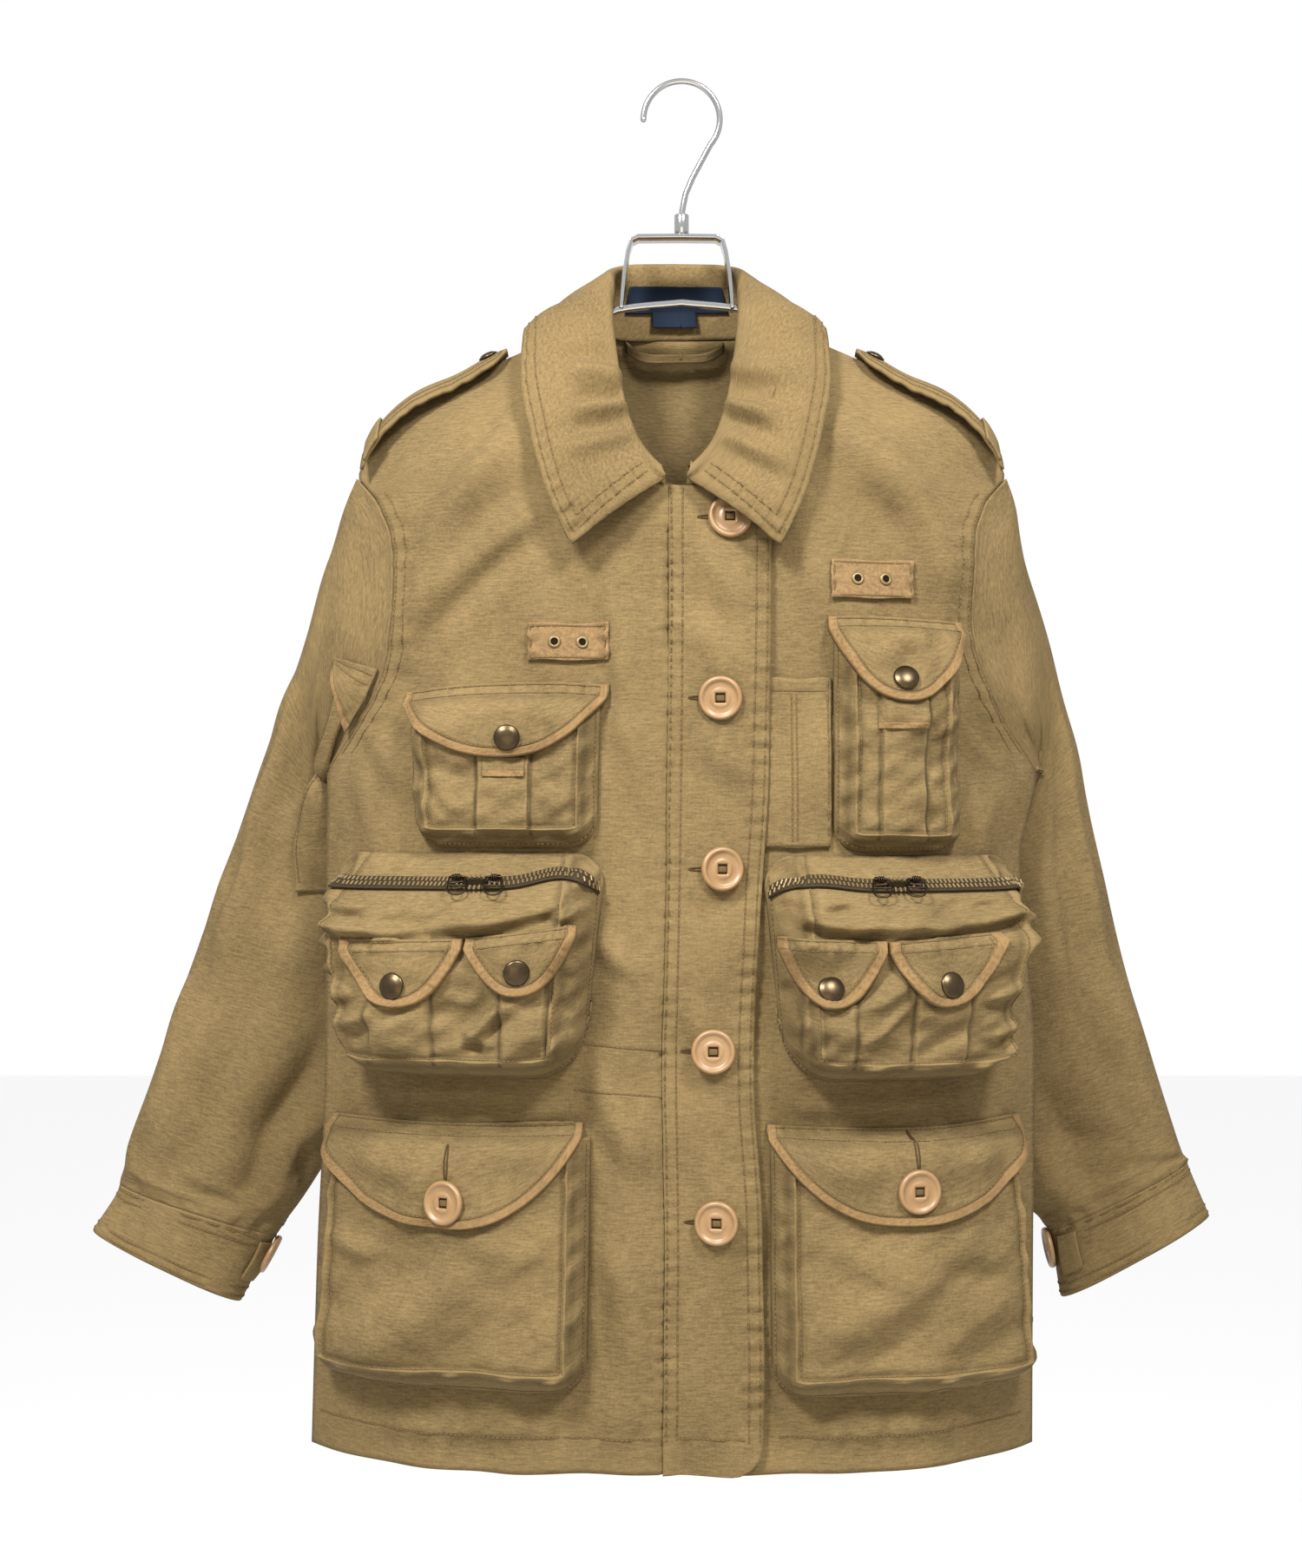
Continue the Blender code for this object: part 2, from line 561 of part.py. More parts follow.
def lifted(surface, a, b, off, flip=1.0):
    """Points of any surface moved out along its own normal."""
    a, b = np.broadcast_arrays(np.asarray(a, float), np.asarray(b, float))
    along_a = surface(a + STEP, b) - surface(a - STEP, b)
    along_b = surface(a, b + STEP) - surface(a, b - STEP)
    normal = np.cross(along_a, along_b)
    normal = flip * normal / np.linalg.norm(normal, axis=-1, keepdims=True)
    return surface(a, b) + np.asarray(off, float)[..., None] * normal


def outer_limit(z, side, armhole):
    """Outer edge of a panel at a height: side seam, armhole, then shoulder seam."""
    seam = half_right(z) if side < 0 else half_left(z)
    shoulder = ridge_x(z)
    edge = np.where(z <= ARMPIT_Z, seam, np.where(z <= TIP_Z, armhole(z), shoulder))
    return side * edge


def body_rows(top):
    """Heights of the grid rows of a body panel."""
    skirt = np.linspace(HEM_Z, ARMPIT_Z, 13)
    turn = np.linspace(math.pi, 0.0, SLEEVE_COLUMNS // 2 + 1)[1:]
    armhole = TIP_Z + (ARMPIT_Z - TIP_Z) * (1.0 - np.cos(turn)) / 2.0
    shoulder = np.linspace(TIP_Z, top, 5)[1:]
    return np.concatenate([skirt, armhole, shoulder])


def front_panel(name, side):
    """One front, from its side seam to the band seam or to its hidden edge under the band."""
    z = body_rows(NECK_TOP_Z)
    lap = UNDERLAP if side > 0 else -SEAM_GAP
    middle = np.where(z < NECK_FRONT_Z, band_seam(z) + lap, NECK_X + side * neck_half(z))
    u = np.linspace(0.0, 1.0, 10)[:, None]
    x = outer_limit(z, side, armhole_front) * (1.0 - u) + middle * u
    z = np.broadcast_to(z, x.shape)
    lift = lap_lift(x, z) if side < 0 else np.zeros_like(x)
    outer = front(x, z, lift)
    inner = front(x, z, lift - CLOTH)
    for grid in (outer, inner):
        grid[..., 1] = np.minimum(grid[..., 1], -SEAM_GAP / 2.0)
    wall(name, outer, inner, "canvas")


def back_panel():
    """The back, from side seam to side seam."""
    z = body_rows(BACK_NECK_Z)
    u = np.linspace(0.0, 1.0, 13)[:, None]
    x = outer_limit(z, -1.0, armhole_back) * (1.0 - u) + outer_limit(z, 1.0, armhole_back) * u
    z = np.broadcast_to(z, x.shape)
    outer = back(x, z)
    inner = back(x, z, -CLOTH)
    for grid in (outer, inner):
        grid[..., 1] = np.maximum(grid[..., 1], SEAM_GAP / 2.0)
    wall("back", outer, inner, "canvas")


def front_band():
    """Band on the right front that laps over the left front, with one rounded lower corner."""
    corner = HEM_Z + BAND_CORNER * np.array([0.0, 0.15, 0.45])
    z = np.concatenate([corner, np.linspace(HEM_Z + BAND_CORNER, BAND_TOP_Z, 17)])
    below = np.clip(1.0 - (z - HEM_Z) / BAND_CORNER, 0.0, 1.0)
    edge = band_edge(z) - BAND_CORNER * (1.0 - np.sqrt(1.0 - below ** 2))
    u = np.linspace(0.0, 1.0, 4)[:, None]
    x = (band_seam(z) + SEAM_GAP) * (1.0 - u) + edge * u
    z = np.broadcast_to(z, x.shape)
    wall("front_band", front(x, z, LAP), front(x, z, LAP - CLOTH), "canvas")


def neck_seam(u, side):
    """Neck edge of the panels from the middle of the back (0) to the front end (1)."""
    share = u / COLLAR_BACK_SHARE
    back_x = NECK_X + side * share * (ridge_x(BACK_NECK_Z) - side * NECK_X)
    behind = back(back_x, BACK_NECK_Z)
    down = np.clip((u - COLLAR_BACK_SHARE) / (1.0 - COLLAR_BACK_SHARE), 0.0, 1.0)
    z = NECK_TOP_Z + (NECK_FRONT_Z - NECK_TOP_Z) * down
    x = NECK_X + side * neck_half(z)
    before = face(x, z) if side < 0 else front(x, z)
    return np.where((share <= 1.0)[..., None], behind, before)


ROLL_LINES = {column: spline(COLLAR, "u", column) for column in Roll._fields[1:]}


def collar_point(u, v):
    """Face of the collar: u from the right end (-1) to the left end (1), v from seam to outer edge."""
    u, v = np.broadcast_arrays(np.asarray(u, float), np.asarray(v, float))
    side = np.where(u < 0.0, -1.0, 1.0)
    reach = np.abs(u)
    seam = np.where((side < 0)[..., None], neck_seam(reach, -1.0), neck_seam(reach, 1.0))
    seam[..., 0] = side * (seam[..., 0] - NECK_X)
    seam[..., 2] = seam[..., 2] + COLLAR_SEAM_LIFT

    def table_line(share, kind):
        return np.stack([ROLL_LINES[kind + axis](share) for axis in "xyz"], axis=-1)

    roll, edge = table_line(reach, "r"), table_line(reach, "e")
    ahead = table_line(reach + LEAF_STEP, "r") + table_line(reach + LEAF_STEP, "e")
    behind = table_line(reach - LEAF_STEP, "r") + table_line(reach - LEAF_STEP, "e")
    leaf = np.cross(ahead - behind, edge - roll)
    leaf = leaf / np.linalg.norm(leaf, axis=-1, keepdims=True)
    up = roll - seam
    up = up / np.linalg.norm(up, axis=-1, keepdims=True)
    out = leaf - (leaf * up).sum(axis=-1, keepdims=True) * up
    out = out / np.linalg.norm(out, axis=-1, keepdims=True)
    middle = roll - COLLAR_ROLL * up
    stand = np.clip(v / STAND_SHARE, 0.0, 1.0)[..., None]
    turn = (np.clip((v - STAND_SHARE) / (FALL_SHARE - STAND_SHARE), 0.0, 1.0) * math.pi)[..., None]
    fall = np.clip((v - FALL_SHARE) / (1.0 - FALL_SHARE), 0.0, 1.0)[..., None]
    standing = seam + (middle - COLLAR_ROLL * out - seam) * stand
    rolling = middle - COLLAR_ROLL * np.cos(turn) * out + COLLAR_ROLL * np.sin(turn) * up
    start = middle + COLLAR_ROLL * out
    falling = start + (edge - start) * fall + COLLAR_BELLY * np.sin(math.pi * fall) * leaf
    v = v[..., None]
    point = np.where(v <= STAND_SHARE, standing, np.where(v < FALL_SHARE, rolling, falling))
    point[..., 0] = NECK_X + side * point[..., 0]
    return point


def collar():
    """Collar in one piece, standing at the neck seam and turned over at the roll line."""
    u = np.linspace(-1.0, 1.0, 27)[:, None]
    v = np.array([0.0, 0.18, 0.36, 0.41, 0.45, 0.50, 0.66, 0.83, 1.0])
    face = collar_point(u, v)
    along = np.gradient(face, axis=0)
    across = np.gradient(face, axis=1)
    normal = np.cross(along, across)
    normal = normal / np.linalg.norm(normal, axis=-1, keepdims=True)
    wall("collar", face, face - COLLAR_CLOTH * normal, "canvas")


SLEEVES = {
    -1.0: {column: spline(RIGHT_SLEEVE, "s", column) for column in Ring._fields[1:]},
    1.0: {column: spline(LEFT_SLEEVE, "s", column) for column in Ring._fields[1:]},
}


def armhole_loop(side, turn, off=0.0):
    """Seam round an armhole: front half for the first half turn, back half for the second."""
    z = TIP_Z + (ARMPIT_Z - TIP_Z) * (1.0 - np.cos(turn)) / 2.0
    before = front(side * armhole_front(z), z, off)
    behind = back(side * armhole_back(z), z, off)
    loop = np.where((np.sin(turn) >= 0.0)[..., None], before, behind)
    nought = np.zeros_like(turn)
    return loop + ARMHOLE_GAP * np.stack([nought + side, nought, -np.cos(turn)], axis=-1)


def oval(side, s, turn):
    """Plain oval ring of a sleeve: outer edge at turn 0, front a quarter turn on."""
    line = {column: at(s) for column, at in SLEEVES[side].items()}
    outside = np.stack([side * line["ox"], line["oy"], line["oz"]], axis=-1)
    inside = np.stack([side * line["ix"], line["iy"], line["iz"]], axis=-1)
    wide = np.sign(np.cos(turn)) * np.abs(np.cos(turn)) ** SLEEVE_ROUND
    deep = np.sign(np.sin(turn)) * np.abs(np.sin(turn)) ** SLEEVE_ROUND
    point = (outside + inside) / 2.0 + (outside - inside) / 2.0 * wide[..., None]
    point[..., 1] = point[..., 1] - line["half"] * deep
    return point


def sleeve_point(side, s, turn):
    """Outer face of a sleeve and its cuff."""
    s, turn = np.broadcast_arrays(np.asarray(s, float), np.asarray(turn, float))
    point = oval(side, s, turn)
    start = np.zeros_like(s)
    near_seam = 1.0 - smooth(s / SLEEVE_SEAM_RUN)
    point = point + near_seam[..., None] * (armhole_loop(side, turn) - oval(side, start, turn))
    bulge = np.zeros_like(s)
    for crease in SLEEVE_CREASES:
        swing = (turn - crease.turn + math.pi) % (2.0 * math.pi) - math.pi
        across = (s - crease.s - crease.lean * swing) / crease.width
        bulge = bulge + crease.height * np.exp(-across ** 2 - (swing / crease.spread) ** 2)
    outward = point - oval_middle(side, s)
    outward = outward / np.linalg.norm(outward, axis=-1, keepdims=True)
    return point + bulge[..., None] * outward


def oval_middle(side, s):
    """Middle of a sleeve ring."""
    return (oval(side, s, np.zeros_like(s)) + oval(side, s, np.full_like(s, math.pi))) / 2.0


def tube_piece(name, side, stations, finish, loop_start=False):
    """Closed wall of a tube between two rings of a sleeve."""
    turn = np.linspace(0.0, 2.0 * math.pi, SLEEVE_COLUMNS, endpoint=False)[:, None]

    def surface(a, b):
        return sleeve_point(side, b, a)

    outer = surface(turn, stations)
    inner = lifted(surface, turn, stations, -CLOTH, side)
    if loop_start:
        inner[:, 0] = armhole_loop(side, turn, -CLOTH)[:, 0]
    wall(name, outer, inner, finish, around=True)


def bag_limits(bag, v):
    """Left and right edges of a pocket at a share of the way up."""
    left = bag.low_left + (bag.left - bag.low_left) * v
    right = bag.low_right + (bag.right - bag.low_right) * v
    return left, right


def round_off(reach, radius):
    """Drop of a rounded corner at a distance from the side."""
    if radius <= 0.0:
        return np.zeros_like(reach)
    near = np.clip(radius - reach, 0.0, radius)
    return radius - np.sqrt(radius ** 2 - near ** 2)


def bag_place(bag, u, v):
    """Place on the panel of a share across and up a pocket."""
    left, right = bag_limits(bag, v)
    x = left + (right - left) * u
    reach = np.minimum(u, 1.0 - u) * (right - left)
    bottom = bag.bottom + round_off(reach, bag.corner)
    top = bag.top - round_off(reach, bag.top_corner)
    return x, bottom + (top - bottom) * v


def bag_share(bag, x, z):
    """Share across and up a pocket of a place on the panel."""
    v = (z - bag.bottom) / (bag.top - bag.bottom)
    for _ in range(3):
        left, right = bag_limits(bag, np.clip(v, 0.0, 1.0))
        reach = np.clip(np.minimum(x - left, right - x), 0.0, None)
        bottom = bag.bottom + round_off(reach, bag.corner)
        top = bag.top - round_off(reach, bag.top_corner)
        v = (z - bottom) / (top - bottom)
    return (x - left) / (right - left), v


def bag_height(bag, x, z):
    """Height of a pocket's face off the panel, with its box pleats; nothing outside it."""
    u, v = bag_share(bag, x, z)
    left, right = bag_limits(bag, np.clip(v, 0.0, 1.0))
    reach = np.minimum(u, 1.0 - u) * (right - left)
    side = np.sin(np.clip(reach / bag.run, 0.0, 1.0) * math.pi / 2.0)
    height = bag.depth * side * spline(bag.form, "v", "share")(v)
    for pleat in bag.pleats:
        inset = pleat.half - np.abs(x - pleat.x)
        along = (v >= pleat.low) & (v <= pleat.high)
        height = height + np.where(along, PLEAT_RISE * np.clip(inset / PLEAT_EDGE, 0.0, 1.0), 0.0)
    inside = (u >= -1e-9) & (u <= 1.0 + 1e-9) & (v >= -1e-9) & (v <= 1.0 + 1e-9)
    return np.where(inside, height, 0.0)


def bag_columns(bag, count):
    """Shares across a pocket for its grid, close at the sides and at the edges of its pleats."""
    width = bag.right - bag.left
    run = bag.run / width
    shares = [0.0, 0.35 * run, run, 1.0 - run, 1.0 - 0.35 * run, 1.0]
    edges = []
    for pleat in bag.pleats:
        for end in (-1.0, 1.0):
            edge = (pleat.x + end * pleat.half - bag.left) / width
            edges += [edge, edge - end * PLEAT_EDGE / width]
    for share in np.linspace(run, 1.0 - run, count)[1:-1]:
        if all(abs(share - edge) > 0.04 for edge in edges):
            shares.append(float(share))
    return np.array(sorted(shares + edges))


def bag_point(bag):
    """Outer face of a pocket as a surface over the front."""
    return lambda x, z: face(x, z, BAG_BASE + bag_height(bag, x, z))


def pocket(name, bag, count, v):
    """Bellows pocket: a wall that stands off the front and comes down to it round its seam."""
    u = bag_columns(bag, count)[:, None]
    v = np.asarray(v, float)
    x, z = bag_place(bag, u, np.broadcast_to(v, (len(u), len(v))))
    height = bag_height(bag, x, z)
    outer = face(x, z, BAG_BASE + height)
    normal = np.cross(np.gradient(outer, axis=0), np.gradient(outer, axis=1))
    normal = normal / np.linalg.norm(normal, axis=-1, keepdims=True)
    inner = outer - CLOTH * normal
    flat = face(x, z, LIE + height)
    rim = np.zeros(x.shape, bool)
    rim[0, :], rim[-1, :], rim[:, 0], rim[:, -1] = True, True, True, True
    inner = np.where(rim[..., None], flat, inner)
    clear = face(inner[..., 0], inner[..., 2])[..., 1] - inner[..., 1]
    inner[..., 1] = np.where(clear < LIE, inner[..., 1] - (LIE - clear), inner[..., 1])
    wall(name, outer, inner, "canvas")


def over(bag, x, z):
    """Height that clears a pocket within the flap's reach of a place."""
    steps = [(i * FLAP_REACH, j * FLAP_REACH) for i in (-1, 0, 1) for j in (-1, 0, 1)]
    return np.max([bag_height(bag, x + i, z + j) for i, j in steps], axis=0)


def flap_place(flap, u, v):
    """Place on the panel of a share across and up a flap."""
    x = flap.left + (flap.right - flap.left) * u
    top = flap.left_z + (flap.right_z - flap.left_z) * u + flap.crown * np.sin(math.pi * u)
    drop = flap.side + flap.belly * (1.0 - np.abs(2.0 * u - 1.0) ** flap.round)
    return x, top - drop * (1.0 - v)


def flap_under(bag):
    """Under side of a flap as a surface over the front."""
    return lambda x, z: face(x, z, BAG_BASE + FLAP_GAP + over(bag, x, z))


def flap_seam(bag, x, z):
    """Height of a flap's sewn top edge, which lies on the pocket or on the front above it."""
    height = bag_height(bag, x, z)
    return np.where(height > 0.0, BAG_BASE + FLAP_SEAM + height, LIE)


def flap_piece(name, flap, bag, count):
    """Flap with a curved lower edge, sewn down along its top, that lies over its pocket."""
    u = (1.0 - np.cos(np.linspace(0.0, math.pi, count)))[:, None] / 2.0
    u = 0.5 * u + 0.5 * np.linspace(0.0, 1.0, count)[:, None]
    x, z = flap_place(flap, u, np.broadcast_to(FLAP_ROWS, (count, len(FLAP_ROWS))))
    under = flap_under(bag)(x, z)
    under[:, -1] = face(x[:, -1], z[:, -1], flap_seam(bag, x[:, -1], z[:, -1]))
    normal = np.cross(np.gradient(under, axis=0), np.gradient(under, axis=1))
    normal = normal / np.linalg.norm(normal, axis=-1, keepdims=True)
    wall(name, under + FLAP_CLOTH * normal, under, "canvas")


def turned(name, place, axis, profile, segments, finish):
    """Solid turned about an axis from a short profile."""
    axis = axis / np.linalg.norm(axis)
    side = np.cross(axis, [0.0, 0.0, 1.0])
    side = side / np.linalg.norm(side)
    rise = np.cross(side, axis)
    points = [place + axis * profile[0].h]
    for row in profile:
        for k in range(segments):
            a = 2.0 * math.pi * k / segments
            points.append(place + axis * row.h + row.r * (math.cos(a) * side + math.sin(a) * rise))
    points.append(place + axis * profile[-1].h)
    last = len(points) - 1
    faces = []
    for k in range(segments):
        n = (k + 1) % segments
        faces.append((0, 1 + n, 1 + k))
        for j in range(len(profile) - 1):
            a, b = 1 + j * segments, 1 + (j + 1) * segments
            faces.append((a + k, a + n, b + n, b + k))
        faces.append((b + k, b + n, last))
    return add_solid(name, points, faces, finish)


def on_face(surface, x, z, off):
    """Point and outward normal of a face at a place, moved out."""
    x, z = np.array([x]), np.array([z])
    point = surface(x, z)[0]
    e = WIDE_STEP
    normal = np.cross((surface(x + e, z) - surface(x - e, z))[0], (surface(x, z + e) - surface(x, z - e))[0])
    normal = normal / np.linalg.norm(normal)
    return point + off * normal, normal


def flap_fastener(name, place, bag, profile, segments, finish):
    """Button or snap cap on a flap."""
    spot, normal = on_face(flap_under(bag), place[0], place[1], FLAP_CLOTH + BUTTON_GAP)
    turned(name, spot, normal, profile, segments, finish)


def patch(name, left, right, top, bottom, off, thick, finish, columns, rows):
    """Flat piece that lies on the front."""
    x = np.linspace(left, right, columns)[:, None]
    z = np.broadcast_to(np.linspace(bottom, top, rows), (columns, rows))
    x = np.broadcast_to(x, z.shape)
    wall(name, face(x, z, off + thick), face(x, z, off), finish)


def sweep(name, path, across, finish, origin=(0.0, 0.0, 0.0), closed=False):
    """Solid swept along a path; across gives the ring of points at each path point."""
    rings = [across(i) for i in range(len(path))]
    sides = len(rings[0])
    points = np.concatenate(rings)
    faces = []
    spans = len(rings) if closed else len(rings) - 1
    for i in range(spans):
        a, b = i * sides, ((i + 1) % len(rings)) * sides
        for k in range(sides):
            n = (k + 1) % sides
            faces.append((a + k, a + n, b + n, b + k))
    if not closed:
        faces.append(tuple(range(sides)))
        faces.append(tuple(range(len(points) - 1, len(points) - 1 - sides, -1)))
    return add_solid(name, points, faces, finish, origin)


def round_rings(path, radius, sides, closed=False):
    """Circles square to a path; radius is one value or one for each point."""
    path = np.asarray(path, float)
    if closed:
        run = np.roll(path, -1, axis=0) - np.roll(path, 1, axis=0)
    else:
        run = np.gradient(path, axis=0)
    run = run / np.linalg.norm(run, axis=1, keepdims=True)
    plane = np.cross(path[1] - path[0], path[len(path) // 3] - path[0])
    plane = plane / np.linalg.norm(plane)
    size = np.broadcast_to(radius, (len(path),))

    def ring(i):
        side = np.cross(run[i], plane)
        angles = 2.0 * math.pi * np.arange(sides) / sides
        return path[i] + size[i] * (np.cos(angles)[:, None] * side + np.sin(angles)[:, None] * plane)

    return ring


def bar_rings(path, deep, thick):
    """Flat bar sections along a path in the seam plane."""
    path = np.asarray(path, float)
    run = np.gradient(path, axis=0)
    run = run / np.linalg.norm(run, axis=1, keepdims=True)

    def ring(i):
        up = np.array([-run[i][2], 0.0, run[i][0]])
        corners = [(-deep, -thick), (deep, -thick), (deep, thick), (-deep, thick)]
        return np.array([path[i] + np.array([0.0, d, 0.0]) + t * up for d, t in corners])

    return ring


def zip_place(bag, x):
    """Height of the zip on a waist pocket."""
    u = (x - bag.left) / (bag.right - bag.left)
    return bag_place(bag, u, np.full_like(u, ZIP_SHARE))[1]


def zip_strip(name, bag):
    """Closed zip along the roof of a waist pocket."""
    x = np.linspace(bag.left + ZIP_MARGIN, bag.right - ZIP_MARGIN, ZIP_COLUMNS)[:, None]
    z = zip_place(bag, x) + np.array([-ZIP_HALF, 0.0, ZIP_HALF])
    x = np.broadcast_to(x, z.shape)
    roof = bag_point(bag)
    wall(name, lifted(roof, x, z, LIE + ZIP_THICK), lifted(roof, x, z, LIE), "tape")


def slider_frame(bag, x):
    """Seat of a slider on its zip, its outward direction and the way down the roof."""
    z = zip_place(bag, np.array([x]))[0]
    seat, normal = on_face(bag_point(bag), x, z, LIE + ZIP_THICK + LIE)
    along = np.array([1.0, 0.0, 0.0])
    normal = normal - normal[0] * along
    normal = normal / np.linalg.norm(normal)
    return seat, normal, np.cross(along, normal)


def slider(name, bag, x):
    """Zip slider: a low block with an eye that holds the pull tab."""
    seat, normal, down = slider_frame(bag, x)
    top = EYE_HOLE + EYE_WALL
    neck = EYE_HEIGHT - EYE_NECK * top
    block = BLOCK_SHARE * EYE_HEIGHT
    outline = [(-SLIDER_BASE, 0.0), (SLIDER_BASE, 0.0), (SLIDER_BASE, block), (top, neck)]
    outline += [(top * math.cos(a), EYE_HEIGHT + top * math.sin(a)) for a in EYE_ANGLES]
    outline += [(-top, neck), (-SLIDER_BASE, block)]
    angles = [math.atan2(h - EYE_HEIGHT, d) for d, h in outline]
    hole = [(EYE_HOLE * math.cos(a), EYE_HEIGHT + EYE_HOLE * math.sin(a)) for a in angles]
    count = len(outline)
    points = []
    for end in (-SLIDER_HALF, SLIDER_HALF):
        for loop in (outline, hole):
            points += [seat + np.array([end, 0.0, 0.0]) + d * down + h * normal for d, h in loop]
    faces = []
    for k in range(count):
        n = (k + 1) % count
        near, far = 0, 2 * count
        faces.append((near + k, near + n, near + count + n, near + count + k))
        faces.append((far + n, far + k, far + count + k, far + count + n))
        faces.append((near + n, near + k, far + k, far + n))
        faces.append((near + count + k, near + count + n, far + count + n, far + count + k))
    add_solid(name, points, faces, "brass")


def pull_tab(name, bag, x):
    """Wire pull tab: its straight top bar turns in the slider's eye."""
    seat, normal, down = slider_frame(bag, x)
    axis = seat + EYE_HEIGHT * normal
    along = np.array([1.0, 0.0, 0.0])
    bend = TAB_LENGTH - TAB_HALF
    bar = TAB_TOP_HALF - TAB_CORNER
    outline = [(-bar, 0.0), (0.0, 0.0), (bar, 0.0), (TAB_TOP_HALF, TAB_CORNER), (TAB_HALF, bend)]
    outline += [(TAB_HALF * math.cos(a), bend + TAB_HALF * math.sin(a)) for a in TAB_ANGLES]
    outline += [(-TAB_HALF, bend), (-TAB_TOP_HALF, TAB_CORNER)]
    path = np.array([axis + a * along + d * down for a, d in outline])
    return sweep(name, path, round_rings(path, TAB_WIRE, TAB_SIDES, True), "brass", axis, True)


def zip_pocket(side_name, bag, flaps, snaps, sliders):
    """Waist pocket with its zip, sliders, pull tabs, small flaps and snaps."""
    pocket("zip_pocket_" + side_name, bag, 11, ZIP_ROWS)
    zip_strip("zip_" + side_name, bag)
    for k, x in enumerate(sliders):
        slider("zip_slider_%s_%d" % (side_name, k + 1), bag, x)
        pull_tab("zip_tab_%s_%d" % (side_name, k + 1), bag, x)
    for k, (flap, snap) in enumerate(zip(flaps, snaps)):
        flap_piece("small_flap_%s_%d" % (side_name, k + 1), flap, bag, 9)
        flap_fastener("small_snap_%s_%d" % (side_name, k + 1), snap, bag, SNAP, SNAP_SEGMENTS, "brass")


def strap_z(x, y):
    """Top of a shoulder strap: it rides on the ridge and bends down at its edges."""
    return ridge_z(x) + STRAP_LIFT - STRAP_DROP * (np.abs(y) / STRAP_BEND) ** STRAP_CURVE


def shoulder_strap(side_name, side):
    """Shoulder strap with a rounded inner end and its keeper."""
    u = np.array(STRAP_COLUMNS)[:, None]
    x = STRAP_IN + (STRAP_OUT - STRAP_IN) * u
    half = STRAP_HALF_IN + (STRAP_HALF_OUT - STRAP_HALF_IN) * u
    end = 1.0 - (1.0 - np.clip(u / STRAP_ROUND, 0.0, 1.0)) ** 2
    half = half * np.sqrt(np.clip(end, STRAP_END, 1.0))
    y = half * np.array(STRAP_SHARES)
    x = np.broadcast_to(x, y.shape)
    low = np.stack([side * x, y, strap_z(x, y)], axis=-1)
    high = low + np.array([0.0, 0.0, STRAP_THICK])
    wall("shoulder_strap_" + side_name, high, low, "canvas")
    y = KEEPER_HALF * np.array(KEEPER_SHARES) + np.zeros((3, 1))
    x = np.broadcast_to(np.linspace(KEEPER_IN, KEEPER_OUT, 3)[:, None], y.shape)
    low = np.stack([side * x, y, strap_z(x, y) + KEEPER_LIFT], axis=-1)
    high = low + np.array([0.0, 0.0, CLOTH])
    wall("strap_keeper_" + side_name, high, low, "canvas")


def sleeve_front(x, z):
    """Ring and angle of the place on the front of the right sleeve seen at x and z."""
    x, z = np.broadcast_arrays(np.asarray(x, float), np.asarray(z, float))
    s = spline([Span(-(row.oz + row.iz) / 2.0, row.s, 0.0) for row in RIGHT_SLEEVE], "z", "near")(-z)
    turn = np.full_like(s, math.pi / 2.0)
    for _ in range(SEEK_STEPS):
        here = sleeve_point(-1.0, s, turn)
        by_s = (sleeve_point(-1.0, s + STEP, turn) - here) / STEP
        by_turn = (sleeve_point(-1.0, s, turn + STEP) - here) / STEP
        miss_x, miss_z = x - here[..., 0], z - here[..., 2]
        area = by_s[..., 0] * by_turn[..., 2] - by_s[..., 2] * by_turn[..., 0]
        area = np.where(np.abs(area) < SEEK_LEAST, SEEK_LEAST, area)
        move_s = (miss_x * by_turn[..., 2] - miss_z * by_turn[..., 0]) / area
        move_turn = (by_s[..., 0] * miss_z - by_s[..., 2] * miss_x) / area
        s = np.clip(s + np.clip(move_s, -SEEK_MOVE, SEEK_MOVE), *SEEK_RINGS)
        turn = np.clip(turn + np.clip(move_turn, -SEEK_MOVE, SEEK_MOVE), *SEEK_TURNS)
    return s, turn


def on_sleeve(x, z, off):
    """Points of the front of the right sleeve, moved out along its normal."""
    s, turn = sleeve_front(x, z)
    return lifted(lambda a, b: sleeve_point(-1.0, b, a), turn, s, off, -1.0)


def sleeve_pocket():
    """Bellows pocket on the right sleeve with its flap, made from the sleeve's points."""
    near = spline(SLEEVE_POCKET, "z", "near")
    far = spline(SLEEVE_POCKET, "z", "far")
    low_z, high_z = SLEEVE_POCKET[-1].z, SLEEVE_POCKET[0].z
    u = np.array(SLEEVE_POCKET_COLUMNS)[:, None]
    v = np.array(SLEEVE_POCKET_ROWS)
    z = np.broadcast_to(low_z + (high_z - low_z) * v, (len(u), len(v)))
    x = near(z) + (far(z) - near(z)) * u
    rise = np.sin(np.clip(np.minimum(u, 1.0 - u) / SLEEVE_POCKET_RUN, 0.0, 1.0) * math.pi / 2.0)
    low = SLEEVE_POCKET_LIE + SLEEVE_POCKET_DEPTH * rise * spline(SLEEVE_POCKET_FORM, "v", "share")(v)
    wall("sleeve_pocket", on_sleeve(x, z, low + CLOTH), on_sleeve(x, z, low), "canvas")
    u = np.linspace(0.0, 1.0, SLEEVE_FLAP_COLUMNS)[:, None]
    v = np.array(SLEEVE_FLAP_ROWS)
    x, z = flap_place(SLEEVE_FLAP, u, np.broadcast_to(v, (len(u), len(v))))
    low = SLEEVE_FLAP_LIE + SLEEVE_FLAP_LIFT * smooth((1.0 - v) / SLEEVE_FLAP_RUN) + np.zeros_like(x)
    wall("sleeve_flap", on_sleeve(x, z, low + FLAP_CLOTH), on_sleeve(x, z, low), "canvas")


